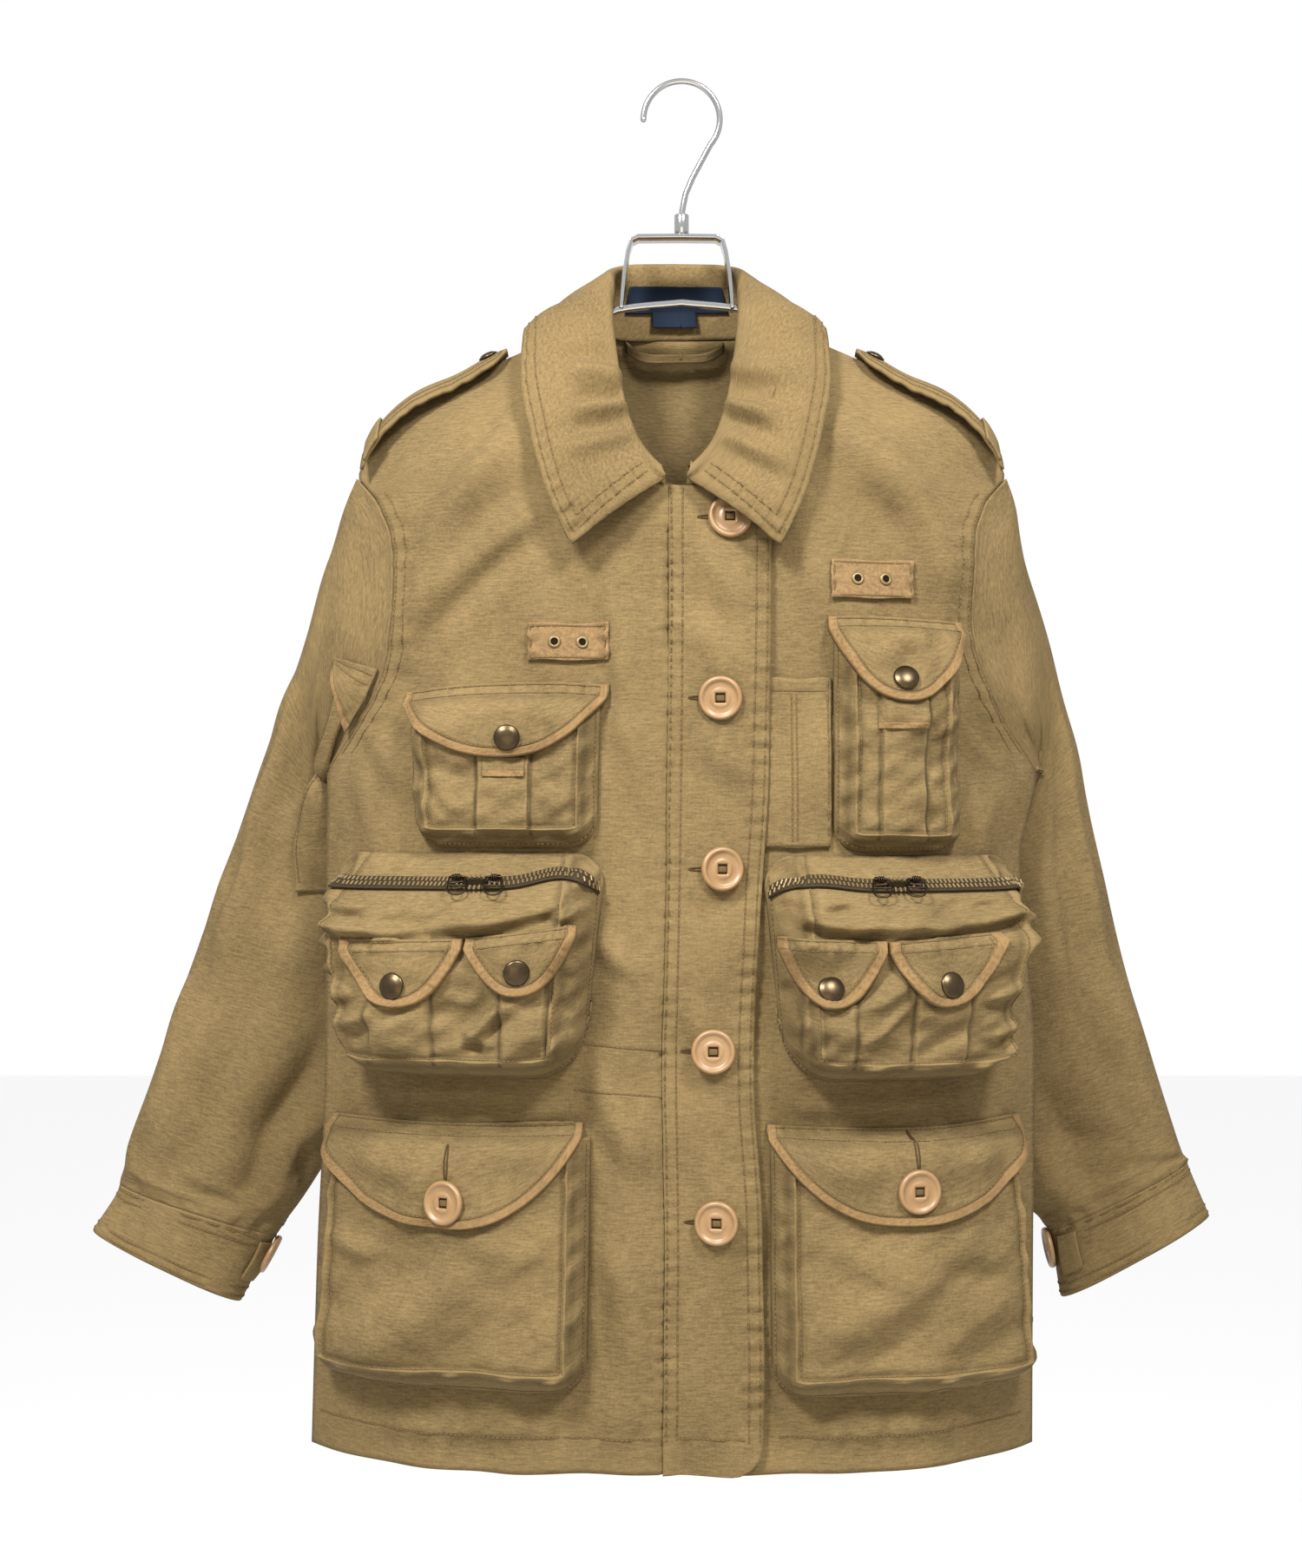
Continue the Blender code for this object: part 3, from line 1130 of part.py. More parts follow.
def cuff_button(side_name, side):
    """Button on the inner edge of a cuff."""

    def surface(a, b):
        return sleeve_point(side, b, a)

    spot = lifted(surface, np.array([CUFF_BUTTON_TURN]), np.array([CUFF_BUTTON_S]), BUTTON_GAP, side)[0]
    base = surface(np.array([CUFF_BUTTON_TURN]), np.array([CUFF_BUTTON_S]))[0]
    turned("cuff_button_" + side_name, spot, spot - base, BUTTON, BUTTON_SEGMENTS, "horn")


def collar_strip(name, limits, rise, thick, finish):
    """Label sewn on the inside of the collar stand at the back."""
    u = np.linspace(limits[0], limits[1], 7)[:, None]
    v = np.broadcast_to(np.array(rise) * STAND_SHARE, (7, 2))
    u = np.broadcast_to(u, v.shape)
    low = lifted(collar_point, u, v, LIE)
    high = lifted(collar_point, u, v, LIE + thick)
    wall(name, high, low, finish)


def hanging_loop():
    """Short strip across the inside of the back neck, held at both ends."""
    x = NECK_X + np.linspace(-LOOP_HALF, LOOP_HALF, 9)[:, None]
    sag = LOOP_SAG * (1.0 - ((x - NECK_X) / LOOP_HALF) ** 4)
    z = LOOP_Z - sag + np.array([-LOOP_WIDE / 2.0, LOOP_WIDE / 2.0])
    x = np.broadcast_to(x, z.shape)
    far = CLOTH + LIE + LOOP_CLEAR * (sag / LOOP_SAG)
    wall("hanging_loop", back(x, z, -far), back(x, z, -far - LOOP_THICK), "canvas")


def hanger():
    """Plain metal hanger: a hook with its ferrule, a bent bracket and a sloping arm."""
    angles = np.linspace(math.pi, -0.72, 14)
    path = [np.array([HOOK_R * math.cos(a), 0.0, HOOK_WIRE - HOOK_R + HOOK_R * math.sin(a)]) for a in angles]
    path += [np.array([stem.x, 0.0, stem.z]) for stem in HOOK_STEM]
    radius = [HOOK_WIRE] * len(angles) + [stem.r for stem in HOOK_STEM]
    hook = sweep("hanger", path, round_rings(path, np.array(radius), HOOK_SIDES), "steel")
    half = [np.array([row.x, 0.0, row.z]) for row in BRACKET]
    path = [p * np.array([-1.0, 1.0, 1.0]) for p in half[:0:-1]] + half
    path = [p + np.array([BRACKET_X, 0.0, 0.0]) for p in path]
    bracket = sweep("bracket_bar", path, bar_rings(path, BRACKET_DEEP, BRACKET_THICK), "steel")
    arm = spline(ARM, "x", "z")
    x = np.linspace(-ARM[-1].x, ARM[-1].x, ARM_COLUMNS)
    path = [np.array([a, 0.0, float(arm(abs(a)))]) for a in x]
    arm_bar = sweep("arm_bar", path, bar_rings(path, ARM_DEEP, ARM_THICK), "steel")
    for bar in (bracket, arm_bar):
        bar.hide_render = True
        bar.display_type = "WIRE"
        weld = hook.modifiers.new(bar.name, "BOOLEAN")
        weld.operation = "UNION"
        weld.solver = "EXACT"
        weld.object = bar


def main():
    """Build the whole jacket on its hanger."""
    back_panel()
    front_panel("front_right", -1.0)
    front_panel("front_left", 1.0)
    front_band()
    collar()
    for side_name, side in (("right", -1.0), ("left", 1.0)):
        tube_piece("sleeve_" + side_name, side, SLEEVE_STATIONS, "canvas", loop_start=True)
        tube_piece("cuff_" + side_name, side, CUFF_STATIONS, "canvas")
        cuff_button(side_name, side)
        shoulder_strap(side_name, side)
    sleeve_pocket()
    pocket("chest_pocket_right", CHEST_RIGHT, 7, CHEST_ROWS)
    pocket("chest_pocket_left", CHEST_LEFT, 5, CHEST_ROWS)
    flap_piece("chest_flap_right", CHEST_FLAP_RIGHT, CHEST_RIGHT, 12)
    flap_piece("chest_flap_left", CHEST_FLAP_LEFT, CHEST_LEFT, 11)
    flap_fastener("chest_snap_right", CHEST_SNAP_RIGHT, CHEST_RIGHT, SNAP, SNAP_SEGMENTS, "brass")
    flap_fastener("chest_snap_left", CHEST_SNAP_LEFT, CHEST_LEFT, SNAP, SNAP_SEGMENTS, "brass")
    patch("pen_pocket", PEN_LEFT, PEN_RIGHT, PEN_TOP_Z, PEN_BOTTOM_Z, LIE, CLOTH, "canvas", 4, 6)
    for side_name, tab in (("right", BADGE_RIGHT), ("left", BADGE_LEFT)):
        patch("badge_tab_" + side_name, *tab, LIE, TAB_CLOTH, "suede", 5, 3)
    zip_pocket("right", ZIP_RIGHT, SMALL_FLAPS_RIGHT, SMALL_SNAPS_RIGHT, SLIDERS_RIGHT)
    zip_pocket("left", ZIP_LEFT, SMALL_FLAPS_LEFT, SMALL_SNAPS_LEFT, SLIDERS_LEFT)
    for side_name, bag, flap, button in (
        ("right", CARGO_RIGHT, CARGO_FLAP_RIGHT, CARGO_BUTTON_RIGHT),
        ("left", CARGO_LEFT, CARGO_FLAP_LEFT, CARGO_BUTTON_LEFT),
    ):
        pocket("cargo_pocket_" + side_name, bag, 9, CARGO_ROWS)
        flap_piece("cargo_flap_" + side_name, flap, bag, 13)
        flap_fastener("cargo_button_" + side_name, button, bag, BUTTON, BUTTON_SEGMENTS, "horn")
    for k, (x, z) in enumerate(FRONT_BUTTONS):
        spot, normal = on_face(front, x, z, LAP + BUTTON_GAP)
        turned("front_button_%d" % (k + 1), spot, normal, BUTTON, BUTTON_SEGMENTS, "horn")
    collar_strip("neck_label", LABEL, LABEL_RISE, LABEL_THICK, "label")
    hanging_loop()
    hanger()


main()
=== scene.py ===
"""Looks of a tan canvas hunting jacket with bellows pockets, hung closed on a metal hanger.

Lengths are metres, +X is the wearer's left, -Y the front and +Z up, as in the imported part. Every cloth
piece is a thin shell on the form of its solid, with its creases, puckered seams, stitching and trims.
Only the tables of folds and creases are in millimetres.
"""
import json
import logging
import math
from dataclasses import dataclass
from enum import Enum
from functools import partial
from typing import Callable, NamedTuple, Optional, Sequence

import bmesh
import bpy
import numpy as np
from mathutils import Matrix, Vector


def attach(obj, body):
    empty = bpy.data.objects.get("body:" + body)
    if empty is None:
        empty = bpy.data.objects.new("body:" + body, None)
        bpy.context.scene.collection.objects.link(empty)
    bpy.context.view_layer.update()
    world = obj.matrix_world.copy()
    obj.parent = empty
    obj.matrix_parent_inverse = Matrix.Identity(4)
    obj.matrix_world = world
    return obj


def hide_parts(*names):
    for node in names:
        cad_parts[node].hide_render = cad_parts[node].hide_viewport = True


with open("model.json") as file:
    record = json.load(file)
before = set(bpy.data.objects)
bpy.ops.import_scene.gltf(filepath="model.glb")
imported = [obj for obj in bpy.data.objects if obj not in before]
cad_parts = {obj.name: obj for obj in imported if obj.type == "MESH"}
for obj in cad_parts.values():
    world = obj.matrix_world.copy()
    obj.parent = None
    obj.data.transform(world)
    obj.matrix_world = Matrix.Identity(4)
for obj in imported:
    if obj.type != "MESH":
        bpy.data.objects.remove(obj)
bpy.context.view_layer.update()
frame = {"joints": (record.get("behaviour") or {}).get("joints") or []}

Array = np.ndarray
Surface = Callable[[Array, Array], Array]
Height = Callable[[Array, Array], Array]
Colour = tuple[float, float, float]
Mesh, Shape, Socket = bpy.types.Mesh, bmesh.types.BMesh, bpy.types.NodeSocket
logging.basicConfig(level=logging.INFO, format="%(relativeCreated)d ms %(message)s")
LOG = logging.getLogger("jacket")

# Thickness of the canvas, the flaps and the tapes
CLOTH = 0.0016
FLAP_CLOTH = 0.0024
TRIM_CLOTH = 0.0006
# Gap under a piece that lies on another, and the face of such a piece
LIE = 0.0011
BASE = LIE + CLOTH
# Lift of the front band, and the step that slopes are taken over
LAP = 0.005
STEP = 0.0003
# Lift of the thread round a buttonhole
HOLE_OFF = 0.0002
# Least width that is stated for a sheet
LEAST_CUT = 0.0101
MILLIMETRE = 0.001
ROOT = "jacket"


class Slot(Enum):
    """Material slots of the part."""

    CANVAS = "canvas"
    SUEDE = "suede"
    HORN = "horn"
    BRASS = "brass"
    STEEL = "steel"
    LABEL = "label"
    TAPE = "tape"


class Held(Enum):
    """Ways in which a sheet of cloth is held."""

    HUNG = "hung"
    LAID = "laid"
    FOLDED = "folded"


class Side(Enum):
    """Wearer's side of the jacket, with the sign of its x."""

    RIGHT = -1.0
    LEFT = 1.0

    @property
    def word(self) -> str:
        """Name of the side in node names."""
        return self.name.lower()


class Line:
    """Smooth line through two columns of a short table, without overshoot."""

    def __init__(self, rows: Sequence[tuple], value: int = 1, key: int = 0) -> None:
        """Reads the columns and works out the slopes.

        Args:
            rows: rows of the table.
            value: column that the line gives.
            key: column that the line runs along.
        """
        pairs = sorted((row[key], row[value]) for row in rows)
        self.xs = np.array([p[0] for p in pairs], float)
        self.ys = np.array([p[1] for p in pairs], float)
        self.span = np.diff(self.xs)
        slope = np.diff(self.ys) / self.span
        self.tangent = np.zeros_like(self.ys)
        self.tangent[0], self.tangent[-1] = slope[0], slope[-1]
        for i in range(1, len(self.xs) - 1):
            if slope[i - 1] * slope[i] > 0.0:
                self.tangent[i] = 2.0 * slope[i - 1] * slope[i] / (slope[i - 1] + slope[i])

    def __call__(self, x: Array) -> Array:
        """Value of the line.

        Args:
            x: places along the line.

        Returns:
            Values at these places.
        """
        x = np.clip(np.asarray(x, float), self.xs[0], self.xs[-1])
        i = np.clip(np.searchsorted(self.xs, x) - 1, 0, len(self.span) - 1)
        t = (x - self.xs[i]) / self.span[i]
        rise = t * t * (3.0 - 2.0 * t)
        lead = t * (1.0 - t) ** 2 * self.span[i] * self.tangent[i]
        trail = t * t * (t - 1.0) * self.span[i] * self.tangent[i + 1]
        return self.ys[i] + rise * (self.ys[i + 1] - self.ys[i]) + lead + trail


def lines(rows: Sequence[tuple]) -> list[Line]:
    """Lines through each further column of a table, along its first one."""
    return [Line(rows, k) for k in range(1, len(rows[0]))]


def clamped(t: Array) -> Array:
    """Share kept between 0 and 1."""
    return np.clip(t, 0.0, 1.0)


def smooth(t: Array) -> Array:
    """Soft step from 0 to 1."""
    t = clamped(t)
    return t * t * (3.0 - 2.0 * t)


def bell(away: Array, width: float) -> Array:
    """Bell curve: 1 in the middle, nearly 0 at twice its width."""
    return np.exp(-(away / width) ** 2)


def between(start: Array, end: Array, share: Array) -> Array:
    """Value at a share of the way from a start to an end."""
    return start + (end - start) * share


def folded(rows: Sequence[tuple], x: Array, z: Array) -> Array:
    """Height of broad folds.

    Args:
        rows: start, end, width and height of each fold in millimetres.
        x: places across.
        z: places up.

    Returns:
        Heights at these places.
    """
    total = np.zeros(np.broadcast(x, z).shape)
    for x0, z0, x1, z1, width, height in MILLIMETRE * np.array(rows):
        run_x, run_z = x1 - x0, z1 - z0
        t = clamped(((x - x0) * run_x + (z - z0) * run_z) / (run_x ** 2 + run_z ** 2))
        total = total + height * bell(np.hypot(x - x0 - t * run_x, z - z0 - t * run_z), width)
    return total


def creased(rows: Sequence[tuple], x: Array, z: Array) -> Array:
    """Height of listed creases: ridges with a shallow trough beside them, tapered at their ends.

    Args:
        rows: start, end, width, height and bend of each crease in millimetres.
        x: places across.
        z: places up.

    Returns:
        Heights at these places.
    """
    total = np.zeros(np.broadcast(x, z).shape)
    for x0, z0, x1, z1, width, height, bend in MILLIMETRE * np.array(rows):
        run_x, run_z = x1 - x0, z1 - z0
        length = math.hypot(run_x, run_z)
        t = ((x - x0) * run_x + (z - z0) * run_z) / length ** 2
        across = ((x - x0) * run_z - (z - z0) * run_x) / length
        across = (across - bend * 4.0 * t * (1.0 - t)) / width
        taper = np.exp(-np.abs((t - 0.5) / 0.46) ** 4)
        total = total + height * taper * (bell(across, 1.0) - 0.5 * bell(across - 1.7, 1.1))
    return total


def waves(seed: int, length: float, x: Array, z: Array = 0.0) -> Array:
    """Soft uneven waves of about unit height.

    Args:
        seed: number of the pattern.
        length: usual distance between crests.
        x: places across.
        z: places up; left out for waves along a line.

    Returns:
        Heights at these places.
    """
    rng = np.random.default_rng(seed)
    flat = np.isscalar(z)
    total = np.zeros(np.broadcast(x, z).shape)
    for _ in range(6):
        turn = 0.0 if flat else rng.uniform(0.0, math.pi)
        reach = length * rng.uniform(0.65, 1.7)
        place = math.cos(turn) * x + math.sin(turn) * z
        total = total + np.sin(2.0 * math.pi * place / reach + rng.uniform(0.0, 2.0 * math.pi))
    return total / math.sqrt(3.0)


def unit(vectors: Array) -> Array:
    """Vectors of length one in the same directions."""
    return vectors / np.maximum(np.linalg.norm(vectors, axis=-1, keepdims=True), 1e-12)


def lifted(surface: Surface, a: Array, b: Array, off: Array, flip: float = 1.0) -> Array:
    """Points of a surface moved out along its own normal.

    Args:
        surface: the surface.
        a: first parameter.
        b: second parameter.
        off: distance out.
        flip: -1 where the parameters run the other way round.

    Returns:
        The moved points.
    """
    a, b = np.broadcast_arrays(np.asarray(a, float), np.asarray(b, float))
    along_a = surface(a + STEP, b) - surface(a - STEP, b)
    along_b = surface(a, b + STEP) - surface(a, b - STEP)
    normal = flip * unit(np.cross(along_a, along_b))
    return surface(a, b) + np.asarray(off, float)[..., None] * normal


class Graph:
    """Small helper that wires the nodes of one material."""

    def __init__(self, name: str) -> None:
        """Makes an empty material.

        Args:
            name: name of the material.
        """
        self.material = bpy.data.materials.new(name)
        self.material.use_nodes = True
        self.tree = self.material.node_tree
        self.shader = self.tree.nodes["Principled BSDF"]

    def add(self, kind: str, **values: object) -> bpy.types.Node:
        """Adds a node.

        Args:
            kind: type of the node.
            values: node settings, or values of its inputs by name with spaces as underscores.

        Returns:
            The node.
        """
        node = self.tree.nodes.new(kind)
        for key, value in values.items():
            if hasattr(node, key):
                setattr(node, key, value)
            else:
                self.put(node, key.replace("_", " "), value)
        return node

    def put(self, node: bpy.types.Node, key: object, value: object) -> None:
        """Sets or links one input of a node.

        Args:
            node: the node.
            key: name or number of the input.
            value: a socket to link, or a constant.
        """
        if isinstance(value, Socket):
            self.tree.links.new(value, node.inputs[key])
        else:
            node.inputs[key].default_value = value

    def math(self, operation: str, first: object, second: object = 0.0) -> Socket:
        """Adds a sum.

        Args:
            operation: kind of sum.
            first: first value or socket.
            second: second value or socket.

        Returns:
            The result.
        """
        node = self.add("ShaderNodeMath", operation=operation)
        self.put(node, 0, first)
        self.put(node, 1, second)
        return node.outputs[0]

    def mix(self, share: object, first: object, second: object) -> Socket:
        """Mixes two colours.

        Args:
            share: share of the second colour.
            first: first colour or socket.
            second: second colour or socket.

        Returns:
            The mixed colour.
        """
        node = self.add("ShaderNodeMix", data_type="RGBA", clamp_factor=True)
        for key, value in ((0, share), (6, first), (7, second)):
            colour = (*value, 1.0) if isinstance(value, tuple) else value
            self.put(node, key, colour)
        return node.outputs[2]

    def noise(self, place: Socket, scale: tuple, detail: float) -> Socket:
        """Adds a stretched noise.

        Args:
            place: coordinates.
            scale: scale along each axis.
            detail: levels of detail.

        Returns:
            The noise from 0 to 1.
        """
        stretch = self.add("ShaderNodeVectorMath", operation="MULTIPLY")
        self.put(stretch, 0, place)
        self.put(stretch, 1, scale)
        node = self.add("ShaderNodeTexNoise", Scale=1.0, Detail=detail, Roughness=0.55)
        self.put(node, "Vector", stretch.outputs[0])
        return node.outputs[0]


@dataclass(frozen=True)
class Finish:
    """Plain finish with a faint mottle."""

    name: str
    slot: Slot
    colour: Colour
    roughness: float = 0.6
    metallic: float = 0.0
    mottle: float = 0.15
    grain: float = 140.0
    bump: float = 0.0002
    gloss: float = 0.5

    def material(self) -> bpy.types.Material:
        """Material of the finish, made once."""
        return bpy.data.materials.get(self.name) or self.make()

    def make(self) -> bpy.types.Material:
        """Builds the material.

        Returns:
            The material.
        """
        graph = Graph(self.name)
        place = graph.add("ShaderNodeTexCoord").outputs["Object"]
        speck = graph.noise(place, (self.grain, self.grain, self.grain), 3.0)
        dark = tuple(c * (1.0 - 2.0 * self.mottle) for c in self.colour)
        graph.put(graph.shader, "Base Color", graph.mix(speck, dark, tuple(c * 1.15 for c in self.colour)))
        graph.put(graph.shader, "Roughness", self.roughness)
        graph.put(graph.shader, "Metallic", self.metallic)
        graph.put(graph.shader, "Specular IOR Level", self.gloss)
        bump = graph.add("ShaderNodeBump", Strength=0.5, Distance=self.bump, Height=speck)
        graph.put(graph.shader, "Normal", bump.outputs[0])
        return graph.material


@dataclass(frozen=True)
class Woven(Finish):
    """Slub-ribbed cotton: uneven ribs along the cloth's width, mottled, worn pale at seams and edges, and
    darkened with painted shade where its wear attribute is negative.
    """

    worn: float = 1.22
    # Share of the colour left where negative wear paints shade into the cloth
    deep: float = 0.42
    rib: float = 620.0
    slub: float = 110.0
    depth: float = 0.0008

    def make(self) -> bpy.types.Material:
        """Builds the material.

        Returns:
            The material.
        """
        graph = Graph(self.name)
        grain = graph.add("ShaderNodeUVMap", uv_map="grain").outputs[0]
        place = graph.add("ShaderNodeTexCoord").outputs["Object"]
        cloud = graph.noise(place, (17.0, 17.0, 17.0), 4.0)
        crumple = graph.noise(place, (95.0, 95.0, 70.0), 3.0)
        weave = 0.0
        for across, upward, part in ((self.slub, self.rib, 0.38), (2.2 * self.slub, 1.8 * self.rib, 0.30),
                                     (self.rib, self.rib, 0.26), (1.4 * self.rib, 0.6 * self.slub, 0.12)):
            thread = graph.noise(grain, (across, upward, 1.0), 1.5)
            weave = graph.math("ADD", weave, graph.math("MULTIPLY", thread, part))
        tone = graph.math("MULTIPLY_ADD", weave, 3.4)
        graph.put(tone.node, 2, -1.30)
        tone = graph.math("ADD", tone, graph.math("MULTIPLY", graph.math("SUBTRACT", cloud, 0.5), 1.2))
        colour = graph.mix(tone, tuple(0.70 * c for c in self.colour), tuple(1.30 * c for c in self.colour))
        wear = graph.add("ShaderNodeAttribute", attribute_name="wear").outputs["Fac"]
        # Wear attribute with noise: pale wear where positive, painted shade where negative
        wear_and_shade = graph.math("MULTIPLY", wear, graph.math("ADD", graph.math("MULTIPLY", crumple, 1.3), 0.25))
        rubbed = graph.math("MAXIMUM", wear_and_shade, 0.0)
        colour = graph.mix(rubbed, colour, tuple(self.worn * c for c in self.colour))
        # Painted shade: negative wear darkens the colour towards deep times the cloth's colour
        hollow = graph.math("MAXIMUM", graph.math("MULTIPLY", wear_and_shade, -1.0), 0.0)
        colour = graph.mix(hollow, colour, tuple(self.deep * c for c in self.colour))
        graph.put(graph.shader, "Base Color", colour)
        graph.put(graph.shader, "Roughness", self.roughness)
        graph.put(graph.shader, "Specular IOR Level", 0.12)
        height = graph.math("ADD", graph.math("MULTIPLY", weave, 0.6), graph.math("MULTIPLY", crumple, 2.4))
        bump = graph.add("ShaderNodeBump", Strength=0.6, Distance=self.depth, Height=height)
        graph.put(graph.shader, "Normal", bump.outputs[0])
        return graph.material


CANVAS = Woven("canvas_cloth", Slot.CANVAS, (0.112, 0.077, 0.0325), roughness=0.93)
SUEDE = Woven("suede_cloth", Slot.SUEDE, (0.142, 0.089, 0.040), roughness=0.95, slub=260.0, rib=420.0)
# Collar canvas: the canvas colour a little darker as painted shade over the upturned collar, with a finer
# slub
SHADED_COLLAR_CLOTH = Woven("collar_canvas_shaded", Slot.CANVAS, (0.106, 0.072, 0.030), roughness=0.93, slub=380.0,
                     rib=480.0)
TRIM = Woven("trim_tape", Slot.SUEDE, (0.146, 0.090, 0.038), roughness=0.95, slub=380.0, rib=520.0)
THREAD = Finish("thread", Slot.CANVAS, (0.138, 0.092, 0.040), roughness=0.85, grain=900.0, gloss=0.1)
# Darker strip under each stitch row: painted shade of the sunken stitch line
GROOVE_SHADE = Finish("stitch_groove", Slot.CANVAS, (0.082, 0.055, 0.022), roughness=0.95, gloss=0.1)
DARK_THREAD = Finish("dark_thread", Slot.CANVAS, (0.048, 0.030, 0.011), roughness=0.9, gloss=0.1)
BUTTON_TAPE = Finish("button_tape", Slot.CANVAS, (0.090, 0.058, 0.025), roughness=0.9, grain=900.0, gloss=0.1)
# Near-black for discs of painted shade inside holes and openings
SHADE_BLACK = Finish("painted_shade_black", Slot.CANVAS, (0.010, 0.007, 0.004), roughness=0.95, gloss=0.0)
HORN = Finish("horn_button", Slot.HORN, (0.190, 0.108, 0.043), roughness=0.40, mottle=0.08, grain=260.0,
              bump=0.00004)
BRASS = Finish("antique_brass", Slot.BRASS, (0.075, 0.052, 0.029), roughness=0.34, metallic=1.0, mottle=0.22,
               grain=420.0, bump=0.00005)
ZIP_BRASS = Finish("zip_brass", Slot.BRASS, (0.170, 0.118, 0.052), roughness=0.42, metallic=0.5, mottle=0.2)
PULL_BRASS = Finish("dark_brass", Slot.BRASS, (0.035, 0.026, 0.016), roughness=0.4, metallic=1.0)
STEEL = Finish("polished_steel", Slot.STEEL, (0.36, 0.36, 0.36), roughness=0.16, metallic=1.0, mottle=0.02,
               bump=0.00001)
LABEL_CLOTH = Woven("label_cloth", Slot.LABEL, (0.003, 0.007, 0.016), roughness=0.75, slub=900.0, rib=1200.0,
                    depth=0.0002)
TAPE = Woven("zip_tape", Slot.TAPE, (0.026, 0.018, 0.009), roughness=0.9, slub=500.0, rib=900.0)


class Seat(NamedTuple):
    """Place of a small thing: a point and three directions."""

    point: Array
    along: Array
    up: Array
    out: Array


class Workshop:
    """Turns meshes into registered pieces and keeps the list of what was made."""

    made: list[str] = []

    @classmethod
    def keep(cls, mesh: Mesh, name: str, finish: Finish, solid: bool = False,
             body: str = ROOT) -> bpy.types.Object:
        """Registers a finished mesh as a piece.

        Args:
            mesh: the mesh, in place.
            name: name of the piece.
            finish: its finish.
            solid: whether it stands for the solid of this name.
            body: body that it moves with.

        Returns:
            The piece's object.
        """
        label = name + "_finished" if solid else name
        mesh.name = label
        mesh.materials.clear()
        mesh.materials.append(finish.material())
        piece = bpy.data.objects.new(label, mesh)
        bpy.context.scene.collection.objects.link(piece)
        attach(piece, body)
        if solid:
            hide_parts(name)
        cls.made.append(label)
        LOG.info("made %s with %d faces", label, len(mesh.polygons))
        return piece

    @staticmethod
    def mesh_of(shape: Shape, rounded: bool = True) -> Mesh:
        """Closes a bmesh into a mesh with outward faces.

        Args:
            shape: the shape, which is freed.
            rounded: whether faces are shaded smooth.

        Returns:
            The mesh.
        """
        bmesh.ops.recalc_face_normals(shape, faces=shape.faces)
        mesh = bpy.data.meshes.new("shape")
        shape.to_mesh(mesh)
        shape.free()
        mesh.polygons.foreach_set("use_smooth", [rounded] * len(mesh.polygons))
        return mesh

    @classmethod
    def set_down(cls, shape: Shape, seat: Seat) -> Mesh:
        """Mesh of a shape that is moved from the origin to a seat.

        Args:
            shape: the shape, its z pointing out; it is freed.
            seat: where it goes.

        Returns:
            The mesh.
        """
        place = Matrix((seat.along, seat.up, seat.out)).transposed().to_4x4()
        place.translation = Vector(seat.point)
        bmesh.ops.transform(shape, matrix=place, verts=shape.verts)
        return cls.mesh_of(shape)

    @classmethod
    def spun(cls, profile: Sequence[tuple[float, float]], steps: int) -> Shape:
        """Ring or disc turned about Z from a profile.

        Args:
            profile: radius and height of each point; closed where the ends meet.
            steps: steps round the axis.

        Returns:
            The turned shape.
        """
        shape = bmesh.new()
        verts = [shape.verts.new((r, 0.0, h)) for r, h in profile]
        edges = [shape.edges.new(pair) for pair in zip(verts, verts[1:])]
        bmesh.ops.spin(shape, geom=verts + edges, cent=(0, 0, 0), axis=(0, 0, 1), angle=2.0 * math.pi,
                       steps=steps, use_merge=True)
        bmesh.ops.remove_doubles(shape, verts=shape.verts, dist=1e-6)
        return shape

    @classmethod
    def tube(cls, path: Array, radius: float, closed: bool = False, sides: int = 10) -> Mesh:
        """Round wire along a path.

        Args:
            path: points of the path.
            radius: radius of the wire.
            closed: whether the ends meet.
            sides: sides of the wire.

        Returns:
            The wire's mesh.
        """
        curve = bpy.data.curves.new("wire", "CURVE")
        curve.dimensions = "3D"
        curve.bevel_depth = radius
        curve.bevel_resolution = max(sides // 4 - 1, 0)
        curve.use_fill_caps = not closed
        run = curve.splines.new("POLY")
        run.points.add(len(path) - 1)
        run.points.foreach_set("co", np.c_[path, np.ones(len(path))].ravel())
        run.use_cyclic_u = closed
        holder = bpy.data.objects.new("wire", curve)
        mesh = bpy.data.meshes.new_from_object(holder)
        bpy.data.objects.remove(holder)
        bpy.data.curves.remove(curve)
        mesh.polygons.foreach_set("use_smooth", [True] * len(mesh.polygons))
        return mesh

    @classmethod
    def joined(cls, meshes: Sequence[Mesh]) -> Mesh:
        """Several meshes as one.

        Args:
            meshes: the meshes, which are removed.

        Returns:
            The joined mesh.
        """
        shape = bmesh.new()
        for mesh in meshes:
            shape.from_mesh(mesh)
            bpy.data.meshes.remove(mesh)
        return cls.mesh_of(shape)

    @classmethod
    def repeated(cls, template: Shape, seats: Sequence[Seat]) -> Mesh:
        """One joined mesh of a small shape set down at many seats.

        Args:
            template: the small shape, its z pointing out; it is freed.
            seats: where it goes.

        Returns:
            The joined mesh.
        """
        template.verts.ensure_lookup_table()
        points = np.array([v.co[:] for v in template.verts])
        faces = [[v.index for v in f.verts] for f in template.faces]
        template.free()
        axes = np.array([[s.along, s.up, s.out] for s in seats])
        spots = np.array([s.point for s in seats])
        placed = np.einsum("pk,nkc->npc", points, axes) + spots[:, None, :]
        count = len(points)
        every = [[i * count + k for k in f] for i in range(len(seats)) for f in faces]
        mesh = bpy.data.meshes.new("many")
        mesh.from_pydata(placed.reshape(-1, 3).tolist(), [], every)
        mesh.polygons.foreach_set("use_smooth", [False] * len(mesh.polygons))
        return mesh

